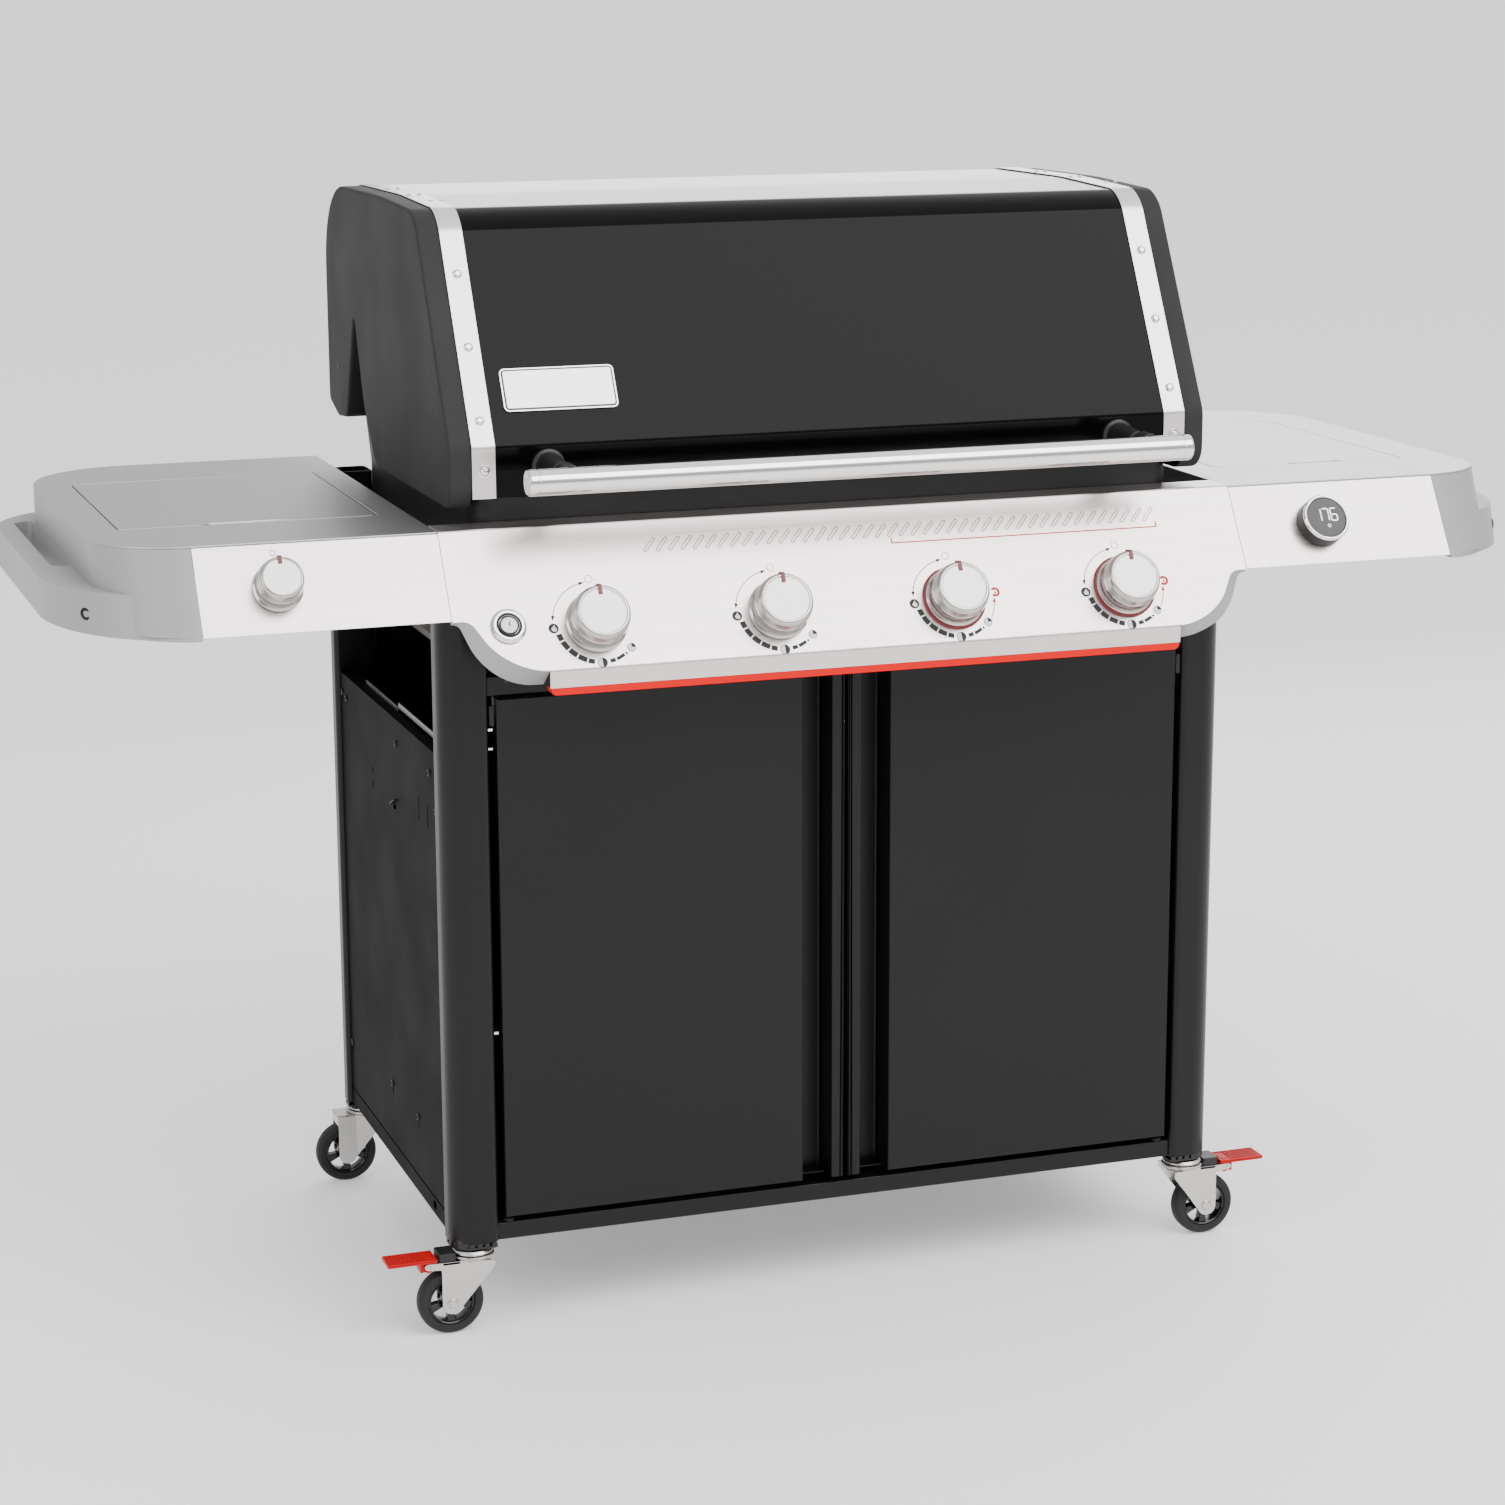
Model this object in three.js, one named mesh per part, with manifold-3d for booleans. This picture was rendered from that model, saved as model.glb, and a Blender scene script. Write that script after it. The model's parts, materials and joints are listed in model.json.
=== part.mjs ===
// Four-burner gas barbecue grill on a cabinet with two side shelves.
// Millimetres. +X to the viewer's right, +Y to the back, +Z up, ground at Z = 0,
// origin on the ground under the middle of the whole grill.
import * as THREE from "three";
import { mergeVertices } from "three/addons/utils/BufferGeometryUtils.js";
import Module from "manifold-3d";

const wasm = await Module();
wasm.setup();

// ---------------------------------------------------------------- driving dimensions
const BODY_HALF = 463; // half width of the control panel, where the shelves meet it
const BODY_DEPTH = 496; // the cookbox, front to back
const WORK_HEIGHT = 909; // top of the shelves
const SHELF_LENGTH = 356.5; // steel deck of each shelf
const LID_HEIGHT = 301.5; // from the lid's lip to its crown
const WHEEL_RADIUS = 37.5;

const GAP = 0.3; // between pieces that meet
const SHEET = 1.5; // folded sheet steel
const CAST = 4; // cast and moulded walls
const RUNNING = 0.5; // round a pin, a stem or an axle

// Cookbox: its place sets the lid, the posts and the shelves
const BOX_HALF = BODY_HALF - 49;
const BOX_FRONT = -206;
const BOX_REAR = BOX_FRONT + BODY_DEPTH;
const BOX_TOP = WORK_HEIGHT + 39;
const BOX_WAIST = BOX_TOP - 203; // where the walls start to taper
const BOX_FOOT = BOX_WAIST - 43;
const BOX_WALL = 3;
const BOX_CORNER = 28;
const OUTLET_SHARE = 0.48; // outlet's length over the box's length

// Control panel: a sheet that leans out at its foot, with a lip below it
const PANEL_TOP = WORK_HEIGHT + 0.4; // Z of its upper edge
const PANEL_SHELF = 42; // level flange from the upper edge back to the cookbox
const PANEL_FRONT = BOX_FRONT - PANEL_SHELF - 2.9; // Y of its upper edge
const PANEL_TILT = THREE.MathUtils.degToRad(31.9); // from the vertical
const PANEL_SLOPE = 165; // down the slope to the lip
const PANEL_LIP = 19.5; // height of the lip
const LIP_HALF = BODY_HALF - 97; // half length of the lip and of the light strip
const SHOULDER = 104; // slope length at which the corner curve starts
const STRIP_HEIGHT = 7.7;
const STRIP_DEPTH = 16;
const slopeZ = (drop) => PANEL_TOP - drop * Math.cos(PANEL_TILT);
const LIP_FOOT = slopeZ(PANEL_SLOPE) - PANEL_LIP;

// Knobs and buttons, placed by X and by the distance down the slope
const KNOB_RADIUS = 32;
const KNOB_FACE = 36; // face above the panel
const KNOB_DROP = 115;
const STEM_RADIUS = 5;
const STEM_REACH = 14; // behind the panel's face
const IGNITER = { x: 59.5 - BODY_HALF, drop: 112.6, radius: 10, bezel: 19.5, proud: 6.5 };
const IGNITER_ROOM = 44.5; // between its bezel and the first knob
const OUTER_KNOB = -IGNITER.x - IGNITER.bezel - IGNITER_ROOM - KNOB_RADIUS; // X of the outermost knob
const KNOB_XS = [-1, -1 / 3, 1 / 3, 1].map((share) => share * OUTER_KNOB);
const SIDE_KNOB = { x: -BODY_HALF - SHELF_LENGTH / 2, drop: 53, radius: 25, face: 33 };
const DIAL = { x: BODY_HALF + 105, drop: 54, radius: 28.5, proud: 20 };

// Shelves
const SHELF_EDGE = BODY_HALF + SHELF_LENGTH; // outer edge of the steel deck
const SHELF_REAR = BOX_REAR + 55;
const SHELF_DROP = 103; // depth of the front plate down the slope
const DECK = 1.8;
const CORNER_FRONT = 94;
const CORNER_REAR = 125;
const CAP_START = SHELF_EDGE - CORNER_FRONT - 0.5; // X where the front plate meets the end cap
const GRIP_OUT = SHELF_EDGE + 44; // outer face of the shelf handle
const GRIP_TOP = WORK_HEIGHT - 47; // Z of its top
const GRIP_FOOT = GRIP_TOP - 43;
const GRIP_THICK = 22;
const GRIP_SWEEP = [[-116, 0, 70], [-49, 39, 120], [0, 96, 120]]; // front corner: X, Y, radius
const LEAN_RUN = 130.9; // how far back from the front the end cap leans
const SLOT_FRONT = PANEL_FRONT + 193.9;
const SLOT_REAR = SHELF_REAR - 83;
const BURNER_LID = {
  x0: BODY_HALF + 35, x1: SHELF_EDGE - 41.5, y0: PANEL_FRONT + 131.4, y1: BOX_REAR - 76.5,
  corner: 4, notch: [BODY_HALF + 125, BODY_HALF + 229],
};
const STORE_LID = {
  x0: BODY_HALF + 50, x1: SHELF_EDGE - 63.5, y0: PANEL_FRONT + 126.4, y1: BOX_REAR - 68.5,
  corner: 18, notch: [BODY_HALF + 141, BODY_HALF + 219],
};
const LID_GAP = 1.6; // round each shelf lid
const NOTCH_DEPTH = 9;
const WELL_DEPTH = 52;

// Lid
const LID_FRONT = BOX_FRONT - 21.5;
const LID_FOOT = BOX_TOP - 10.5;
const LID_LIP_TOP = LID_FOOT + 55.5;
const LID_LEAN = THREE.MathUtils.degToRad(29);
const LID_CROWN = LID_FOOT + LID_HEIGHT;
const LID_BROW = LID_CROWN - 5.5; // roof height at its front
const LID_REAR = BOX_REAR + 65.9;
const LID_WALL = 2.5;
const BROW_ROUND = 47;
const REAR_ROUND = 98;
const LID_HALF = BOX_HALF + 4; // half length of the shell, where the end caps start
const LID_CAP_THICK = 25;
const LID_CAP_FOOT = LID_FOOT - 11.5;
const PIVOT_Y = BOX_REAR + 7.5;
const PIVOT_Z = BOX_TOP + 75;
const PIN_RADIUS = 6;
const LID_BACK_FOOT = PIVOT_Z + 17; // lower edge of the shell's back
const EAR_FOOT = PIVOT_Z - 51;
const EAR_FRONT = PIVOT_Y - 36;
const BAND_WIDTH = 26;
const BAND_THICK = 1.2;
const HANDLE = {
  half: LID_HALF - 36, radius: 14.5, y: LID_FRONT - 89, z: LID_FOOT + 28.5,
  post: LID_HALF - 84, postRadius: 10,
};

// What is in the cookbox
const BURNER_Z = BOX_WAIST + 55;
const BURNER_RADIUS = 12.7;
const BURNER_START = BOX_FRONT - 43.5;
const BURNER_END = BOX_REAR - 28;
const SEAR_X = (KNOB_XS[2] + KNOB_XS[3]) / 2;
const SEAR_RADIUS = 10;
const MANIFOLD = { y: BURNER_START - 18.5, z: BURNER_Z - 14, radius: 10 };
const GRATE_TOP = BOX_TOP - 16;
const GRATE_BAR = 9;
const GRATE_HEIGHT = 14;
const GRATE_BARS = 13;
const GRATE_MARGIN = 15; // from the grates to the outside of the cookbox
const TENT_TOP = GRATE_TOP - 52;
const TENT_HALF = 38;
const RACK = {
  z: GRATE_TOP + 98, y0: BOX_REAR - 194, y1: BOX_REAR - 76, half: BOX_HALF - 22, wire: 5, wires: 11,
};
const TRAY_HEIGHT = 48;
const TRAY = {
  half: BOX_HALF * OUTLET_SHARE + 41.3, lip: 11, wall: 2,
  y0: (BOX_FRONT + BOX_REAR) / 2 - 162, y1: (BOX_FRONT + BOX_REAR) / 2 + 158,
  z0: BOX_FOOT - 12 - TRAY_HEIGHT, z1: BOX_FOOT - 12,
};

// Casters: the wheels' size sets the height of the cabinet's foot
const WHEEL_WIDTH = 21;
const WHEEL_FLATS = 18;
const TRAIL = 27; // from the swivel axis out to the axle
const FORK_GAP = WHEEL_WIDTH + 4;
const FORK_PLATE = 2.5;
const AXLE_RADIUS = 4;
const HEAD_RADIUS = 25;
const HEAD_FOOT = 2 * WHEEL_RADIUS + 11;
const SWIVEL_RADIUS = 5.5;
const PEDAL = {
  pivot: TRAIL + 26, z: HEAD_FOOT - 3, end: TRAIL + 73, half: FORK_GAP / 2 + 3.5, top: HEAD_FOOT + 6.5,
};

// Cabinet
const COLLAR_FOOT = HEAD_FOOT + 14;
const POST_FOOT = COLLAR_FOOT + 7;
const POST_TOP = WORK_HEIGHT - 11;
const POST_OUT = BODY_HALF - 1;
const POST_IN = POST_OUT - 49.5;
const POST_FRONT = PANEL_FRONT + 0.4;
const POST_DEPTH = 40;
const POST_REAR = BOX_REAR + 26; // rear face of the rear posts
const POST_WALL = 2;
const SIDE_X = POST_OUT - 4.5; // outer face of the side panels
const SIDE_TOP = WORK_HEIGHT - 254;
const RAIL_FOOT = POST_FOOT - 0.5;
const FLOOR_TOP = RAIL_FOOT + 20;
const HEADER_TOP = LIP_FOOT - 1.3;
const HEADER_FOOT = HEADER_TOP - 22.5;
const BACK_TOP = POST_TOP - 20;
const DOOR = {
  front: POST_FRONT - 1.7, out: POST_IN - 9.5, pan: 52, channel: 17.5, lip: 3.5, depth: 40,
  z0: FLOOR_TOP + 8, z1: HEADER_FOOT - 2.5,
};
const DOOR_PIN = { x: DOOR.out - 6, y: DOOR.front + 12.2, radius: 2.5, reach: 5 };

// ---------------------------------------------------------------- shapes
const panelDirection = new THREE.Matrix4()
  .makeRotationX(Math.PI / 2 - PANEL_TILT)
  .setPosition(0, PANEL_FRONT, PANEL_TOP);

// Y of the sloping plane of the panel and the shelf fronts at a height
const slopeY = (z) => PANEL_FRONT - (PANEL_TOP - z) * Math.tan(PANEL_TILT);

// A closed three.js geometry as a manifold solid
function solid(geometry) {
  const bare = geometry.clone();
  bare.deleteAttribute("normal");
  bare.deleteAttribute("uv");
  const merged = mergeVertices(bare, 1e-4);
  return new wasm.Manifold(
    new wasm.Mesh({
      numProp: 3,
      vertProperties: new Float32Array(merged.attributes.position.array),
      triVerts: new Uint32Array(merged.index.array),
    }),
  );
}

function geometryOf(body) {
  const mesh = body.getMesh();
  return new THREE.BufferGeometry()
    .setAttribute("position", new THREE.BufferAttribute(mesh.vertProperties, 3))
    .setIndex(new THREE.BufferAttribute(mesh.triVerts, 1));
}

const joined = (...bodies) => bodies.flat().reduce((a, b) => a.add(b));
const cut = (body, ...tools) => tools.flat().reduce((a, b) => a.subtract(b), body);

// Corners [a, b, radius]: each corner with a radius becomes an arc of a few chords
function rounded(corners, chords = 4) {
  const at = (i) => new THREE.Vector2(...corners[(i + corners.length) % corners.length]);
  return corners.flatMap(([a, b, radius], i) => {
    if (!radius) return [[a, b]];
    const corner = at(i);
    const u = at(i - 1).sub(corner).normalize();
    const v = at(i + 1).sub(corner).normalize();
    const half = Math.acos(THREE.MathUtils.clamp(u.dot(v), -1, 1)) / 2;
    const centre = u.clone().add(v).normalize().multiplyScalar(radius / Math.sin(half)).add(corner);
    const start = u.multiplyScalar(radius / Math.tan(half)).add(corner).sub(centre);
    const end = v.multiplyScalar(radius / Math.tan(half)).add(corner).sub(centre);
    const turn = Math.atan2(start.cross(end), start.dot(end));
    return Array.from({ length: chords + 1 }, (_, k) => {
      const p = start.clone().rotateAround(new THREE.Vector2(), (turn * k) / chords);
      return [centre.x + p.x, centre.y + p.y];
    });
  });
}

// Points moved sideways by a distance, to the left of the way they run
function offset(points, distance, closed = false) {
  const n = points.length;
  return points.map((p, i) => {
    const before = closed ? points[(i + n - 1) % n] : points[Math.max(i - 1, 0)];
    const after = closed ? points[(i + 1) % n] : points[Math.min(i + 1, n - 1)];
    const here = new THREE.Vector2(...p);
    const a = here.clone().sub(new THREE.Vector2(...before)).normalize();
    const b = new THREE.Vector2(...after).sub(here).normalize();
    if (!a.length()) a.copy(b);
    if (!b.length()) b.copy(a);
    const normal = new THREE.Vector2(-a.y - b.y, a.x + b.x).normalize();
    const mitre = distance / Math.max(0.3, normal.dot(new THREE.Vector2(-a.y, a.x)));
    return [p[0] + normal.x * mitre, p[1] + normal.y * mitre];
  });
}

// The closed outline of a sheet that follows open points, on their left side
const folded = (points, thick) => [...points, ...offset(points, thick).reverse()];

const circle = (a, b, radius, sides) =>
  Array.from({ length: sides }, (_, k) => {
    const t = (2 * Math.PI * (k + 0.5)) / sides;
    return [a + radius * Math.cos(t), b + radius * Math.sin(t)];
  });

const rectangle = (a0, b0, a1, b1) => [[a0, b0], [a1, b0], [a1, b1], [a0, b1]];

// Axes of an outline and of its sweep: X takes [y, z], Y takes [x, z], Z takes [x, y]
const AXES = {
  X: new THREE.Matrix4().makeBasis(
    new THREE.Vector3(0, 1, 0), new THREE.Vector3(0, 0, 1), new THREE.Vector3(1, 0, 0)),
  Y: new THREE.Matrix4().makeBasis(
    new THREE.Vector3(1, 0, 0), new THREE.Vector3(0, 0, 1), new THREE.Vector3(0, -1, 0)),
  Z: new THREE.Matrix4(),
};

// An outline swept along an axis between two values
function sweep(axis, outline, from, to, holes = []) {
  const path = (points) => points.map((p) => new THREE.Vector2(...p));
  const shape = new THREE.Shape(path(outline));
  shape.holes = holes.map((hole) => new THREE.Path(path(hole)));
  const start = axis === "Y" ? -to : from;
  return new THREE.ExtrudeGeometry(shape, { depth: to - from, bevelEnabled: false })
    .translate(0, 0, start)
    .applyMatrix4(AXES[axis]);
}

const prism = (axis, outline, from, to, holes) => solid(sweep(axis, outline, from, to, holes));

const box = (x0, x1, y0, y1, z0, z1) => prism("Z", rectangle(x0, y0, x1, y1), z0, z1);

const rod = (axis, a, b, radius, from, to, sides = 16) =>
  prism(axis, circle(a, b, radius, sides), from, to);

// A solid of revolution about Z: closed [radius, z] profile, one flat facing -Y
const turned = (profile, sides) =>
  solid(
    new THREE.LatheGeometry(profile.map(([r, z]) => new THREE.Vector2(r, z)), sides, Math.PI / sides)
      .rotateX(Math.PI / 2),
  );

const moved = (body, matrix) => solid(geometryOf(body).applyMatrix4(matrix));

// A round body square to the panel, given by its reach above the panel's face
const panelRod = (x, drop, radius, low, high, sides = 16) =>
  moved(rod("Z", x, -drop, radius, low, high, sides), panelDirection);

// ---------------------------------------------------------------- the scene
const grill = new THREE.Group();
const panelGroup = new THREE.Group();
panelGroup.applyMatrix4(panelDirection);
grill.add(panelGroup);

const finish = (color, roughness, metalness) =>
  new THREE.MeshStandardMaterial({ color, roughness, metalness, flatShading: true });
const steel = () => finish("#d9d5d2", 0.35, 1);
const chrome = () => finish("#e6e6e6", 0.08, 1);
const enamel = () => finish("#1c1c1d", 0.15, 0);
const charcoal = () => finish("#3a3a3b", 0.6, 0);
const satinBlack = () => finish("#202021", 0.45, 0);
const castIron = () => finish("#26272a", 0.7, 0.4);
const greyTrim = () => finish("#aeb0b2", 0.45, 0.1);
const zinc = () => finish("#bdb7b5", 0.3, 1);
const red = () => finish("#e0161a", 0.4, 0);
const blackPlastic = () => finish("#1b1b1c", 0.5, 0);
const brass = () => finish("#b08d45", 0.35, 1);

function add(name, body, material, parent = grill) {
  const mesh = new THREE.Mesh(geometryOf(body), material);
  mesh.name = name;
  parent.add(mesh);
  return mesh;
}

// The right-hand piece and its mirror image on the left
function addPair(name, body, material) {
  add(name + "_right", body, material());
  add(name + "_left", body, material()).scale.x = -1;
}

// ---------------------------------------------------------------- lid
const browY = LID_FRONT + (LID_BROW - LID_LIP_TOP) * Math.tan(LID_LEAN);
const lidProfile = () =>
  rounded([
    [LID_FRONT, LID_FOOT],
    [LID_FRONT, LID_LIP_TOP],
    [browY, LID_BROW, BROW_ROUND],
    [(browY + LID_REAR) / 2 - 60, LID_CROWN],
    [LID_REAR, LID_CROWN - 2.5, REAR_ROUND],
    [LID_REAR, LID_BACK_FOOT],
  ], 6);

function lidShell() {
  return prism("X", folded(lidProfile(), -LID_WALL), -LID_HALF, LID_HALF);
}

function lidEndCap() {
  const outline = rounded([
    [LID_FRONT, LID_CAP_FOOT, 24],
    [LID_FRONT, LID_LIP_TOP],
    [browY, LID_BROW, BROW_ROUND],
    [(browY + LID_REAR) / 2 - 60, LID_CROWN],
    [LID_REAR, LID_CROWN - 2.5, REAR_ROUND],
    [LID_REAR, EAR_FOOT],
    [EAR_FRONT, EAR_FOOT, 6],
    [EAR_FRONT - 66, EAR_FOOT + 118],
    [EAR_FRONT - 96, EAR_FOOT + 26, 70],
    [EAR_FRONT - 142, LID_CAP_FOOT, 34],
  ], 5);
  const start = LID_HALF + GAP;
  const plate = prism("X", outline, start, LID_HALF + LID_CAP_THICK);
  const hollow = prism("X", offset(outline, -CAST, true), start - 1, LID_HALF + LID_CAP_THICK - CAST);
  const boss = rod("X", PIVOT_Y, PIVOT_Z, PIN_RADIUS + 8, start, LID_HALF + LID_CAP_THICK - CAST / 2, 12);
  const bore = rod("X", PIVOT_Y, PIVOT_Z, PIN_RADIUS + RUNNING, start - 1, LID_HALF + LID_CAP_THICK + 1, 16);
  return cut(joined(cut(plate, hollow), boss), bore);
}

function lidBand() {
  const centre = offset(lidProfile(), GAP);
  return prism("X", folded(centre, BAND_THICK), LID_HALF - BAND_WIDTH, LID_HALF);
}

function lidHandle() {
  const bar = rod("X", HANDLE.y, HANDLE.z, HANDLE.radius, -HANDLE.half, HANDLE.half, 20);
  const posts = [-HANDLE.post, HANDLE.post].map((x) =>
    rod("Y", x, HANDLE.z + 4, HANDLE.postRadius, HANDLE.y, LID_FRONT - GAP, 12));
  return joined(bar, posts);
}

add("lid_shell", lidShell(), enamel());
addPair("lid_end_cap", lidEndCap(), charcoal);
addPair("lid_band", lidBand(), steel);
add("lid_handle", lidHandle(), chrome());

// ---------------------------------------------------------------- cookbox
const boxOutline = (inset) =>
  rounded([
    [-BOX_HALF + inset, BOX_FRONT + inset, BOX_CORNER - inset],
    [BOX_HALF - inset, BOX_FRONT + inset, BOX_CORNER - inset],
    [BOX_HALF - inset, BOX_REAR - inset, BOX_CORNER - inset],
    [-BOX_HALF + inset, BOX_REAR - inset, BOX_CORNER - inset],
  ], 3);

// A funnel: the outline narrows to a share of its size at the foot
function funnel(outline, z0, z1, share) {
  const geometry = sweep("Z", outline, z0, z1);
  const place = geometry.attributes.position;
  const middle = (BOX_FRONT + BOX_REAR) / 2;
  for (let i = 0; i < place.count; i++) {
    if (place.getZ(i) > z0 + 1) continue;
    place.setX(i, place.getX(i) * share);
    place.setY(i, middle + (place.getY(i) - middle) * share);
  }
  return solid(geometry);
}

function cookbox() {
  const outer = joined(
    prism("Z", boxOutline(0), BOX_WAIST, BOX_TOP),
    funnel(boxOutline(0), BOX_FOOT, BOX_WAIST, OUTLET_SHARE),
  );
  const inner = joined(
    prism("Z", boxOutline(BOX_WALL), BOX_WAIST, BOX_TOP + 1),
    funnel(boxOutline(BOX_WALL), BOX_FOOT - 0.1, BOX_WAIST, OUTLET_SHARE),
  );
  const ports = [...KNOB_XS.map((x) => [x, BURNER_RADIUS]), [SEAR_X, SEAR_RADIUS]].map(([x, r]) =>
    rod("Y", x, BURNER_Z, r + 2, BOX_FRONT - 1, BOX_FRONT + BOX_WALL + 1, 12));
  const bracket = prism("X", [
    [BOX_REAR - BOX_CORNER - 12, BOX_TOP - 60],
    [BOX_REAR - BOX_CORNER, BOX_TOP - 60],
    [PIVOT_Y - 8, BOX_TOP],
    [PIVOT_Y + 18, PIVOT_Z - 20],
    [PIVOT_Y + 18, PIVOT_Z + 16],
    [PIVOT_Y - 20, PIVOT_Z + 20],
    [BOX_REAR - BOX_CORNER - 12, PIVOT_Z],
  ], BOX_HALF - 2 * BOX_WALL, BOX_HALF);
  const pin = rod("X", PIVOT_Y, PIVOT_Z, PIN_RADIUS, BOX_HALF - BOX_WALL, LID_HALF + LID_CAP_THICK - 2);
  // Raised back behind the grates, clear of the lid's swing
  const back = prism("X", folded([
    [BOX_REAR - BOX_WALL, BOX_TOP - 6],
    [PIVOT_Y - 26, BOX_TOP + 12],
    [PIVOT_Y - 26, PIVOT_Z - 12],
  ], -SHEET), 0, BOX_HALF - BOX_WALL);
  // Angles under the funnel that the grease tray hangs in
  const web = TRAY.half + TRAY.lip + 3;
  const hanger = prism("Y", [
    [web + SHEET, TRAY.z1 - 3.8],
    [web + SHEET, BOX_WAIST - 8],
    [web, BOX_WAIST - 8],
    [web, TRAY.z1 - 2.3],
    [TRAY.half + 3, TRAY.z1 - 2.3],
    [TRAY.half + 3, TRAY.z1 - 3.8],
  ], TRAY.y0 + 30, TRAY.y1 - 30);
  const side = joined(bracket, pin, back, hanger);
  const mirror = new THREE.Matrix4().makeScale(-1, 1, 1);
  const flipped = geometryOf(side).applyMatrix4(mirror);
  flipped.index.array.reverse();
  return joined(cut(outer, inner, ports), side, solid(flipped));
}

function burnerTube(x, radius) {
  const tube = rod("Y", x, BURNER_Z, radius, BURNER_START, BURNER_END, 12);
  const bore = rod("Y", x, BURNER_Z, radius - 1.5, BURNER_START - 1, BURNER_END - 3, 12);
  return cut(tube, bore);
}

// Folded steel roofs over the burners, on two cross bars
function heatTents() {
  const rise = TENT_HALF * 0.9;
  const roof = (x) => prism("Y", folded([
    [x - TENT_HALF, TENT_TOP - rise],
    [x, TENT_TOP],
    [x + TENT_HALF, TENT_TOP - rise],
  ], -SHEET), BOX_FRONT + 14, BOX_REAR - 14);
  const bar = (y) => box(-BOX_HALF + 6, BOX_HALF - 6, y, y + 6, TENT_TOP - rise - 6, TENT_TOP - rise + 4);
  return joined(KNOB_XS.map(roof), roof(SEAR_X), bar(BOX_FRONT + BOX_CORNER),
    bar(BOX_REAR - BOX_CORNER - 6));
}

// One half of the cooking grid, between X = x0 and x1: slots in two rows leave the bars
function cookingGrate(x0, x1) {
  const y0 = BOX_FRONT + GRATE_MARGIN;
  const y1 = BOX_REAR - GRATE_MARGIN;
  const middle = (y0 + y1) / 2;
  const pitch = (x1 - x0 - GRATE_BAR) / (GRATE_BARS - 1);
  const slots = Array.from({ length: GRATE_BARS - 1 }, (_, i) => x0 + i * pitch + GRATE_BAR)
    .flatMap((x) => [
      [x, x + pitch - GRATE_BAR, y0 + GRATE_BAR, middle - GRATE_BAR / 2],
      [x, x + pitch - GRATE_BAR, middle + GRATE_BAR / 2, y1 - GRATE_BAR],
    ])
    .map((slot) => box(...slot, GRATE_TOP - GRATE_HEIGHT - 1, GRATE_TOP + 1));
  return cut(box(x0, x1, y0, y1, GRATE_TOP - GRATE_HEIGHT, GRATE_TOP), slots);
}

function warmingRack() {
  const w = RACK.wire;
  const rails = [RACK.y0, RACK.y1 - w].map((y) => box(-RACK.half, RACK.half, y, y + w, RACK.z, RACK.z + w));
  const pitch = (2 * RACK.half - w) / (RACK.wires - 1);
  const wires = Array.from({ length: RACK.wires }, (_, i) =>
    box(-RACK.half + i * pitch, -RACK.half + i * pitch + w, RACK.y0, RACK.y1, RACK.z, RACK.z + w));
  // Legs at the ends stand on the grates
  const legs = [-RACK.half, RACK.half - w].flatMap((x) =>
    [RACK.y0, RACK.y1 - w].map((y) => box(x, x + w, y, y + w, GRATE_TOP + GAP, RACK.z + w)));
  return joined(rails, wires, legs);
}

// A gas valve behind the knob at X and drop, and its stub to a pipe at Y and Z
function valve(x, drop, radius, [y, z]) {
  const depth = STEM_REACH + 30;
  const rear = [
    slopeY(slopeZ(drop)) + depth * Math.cos(PANEL_TILT),
    slopeZ(drop) - depth * Math.sin(PANEL_TILT),
  ];
  const body = panelRod(x, drop, radius, -depth - 4, -STEM_REACH - 2, 10);
  const stub = box(x - 6, x + 6, Math.min(rear[0], y), Math.max(rear[0], y), Math.min(rear[1], z) - 5,
    Math.max(rear[1], z) + 5);
  return joined(body, stub);
}

function gasManifold() {
  const end = KNOB_XS[3] + 40;
  const pipe = rod("X", MANIFOLD.y, MANIFOLD.z, MANIFOLD.radius, -end, end, 10);
  const valves = KNOB_XS.map((x) => valve(x, KNOB_DROP, 12, [MANIFOLD.y, MANIFOLD.z]));
  const outlets = [...KNOB_XS, SEAR_X].map((x) =>
    box(x - 8, x + 8, MANIFOLD.y, BURNER_START - GAP, MANIFOLD.z - 6, BURNER_Z + 8));
  const inlet = box(end - 20, end, MANIFOLD.y - 9, MANIFOLD.y + 9, MANIFOLD.z - 34, MANIFOLD.z);
  return joined(pipe, valves, outlets, inlet);
}

add("cookbox", cookbox(), castIron());
KNOB_XS.forEach((x, i) => add(`burner_tube_${i + 1}`, burnerTube(x, BURNER_RADIUS), steel()));
add("sear_burner", burnerTube(SEAR_X, SEAR_RADIUS), steel());
add("heat_tents", heatTents(), steel());
add("cooking_grate_left", cookingGrate(-BOX_HALF + GRATE_MARGIN, -1), castIron());
add("cooking_grate_right", cookingGrate(1, BOX_HALF - GRATE_MARGIN), castIron());
add("warming_rack", warmingRack(), chrome());
add("gas_manifold", gasManifold(), brass());

// ---------------------------------------------------------------- control panel
const lipY = slopeY(slopeZ(PANEL_SLOPE));
const lipTop = slopeZ(PANEL_SLOPE);
const shoulderZ = slopeZ(SHOULDER);

// The curve of the panel's lower corner, from the seam to the lip
const cornerCurve = [
  [BODY_HALF - GAP, shoulderZ],
  [BODY_HALF - 19, shoulderZ, 12],
  [LIP_HALF + 44, lipTop - 1, 66],
  [LIP_HALF, lipTop - 1],
];

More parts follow.
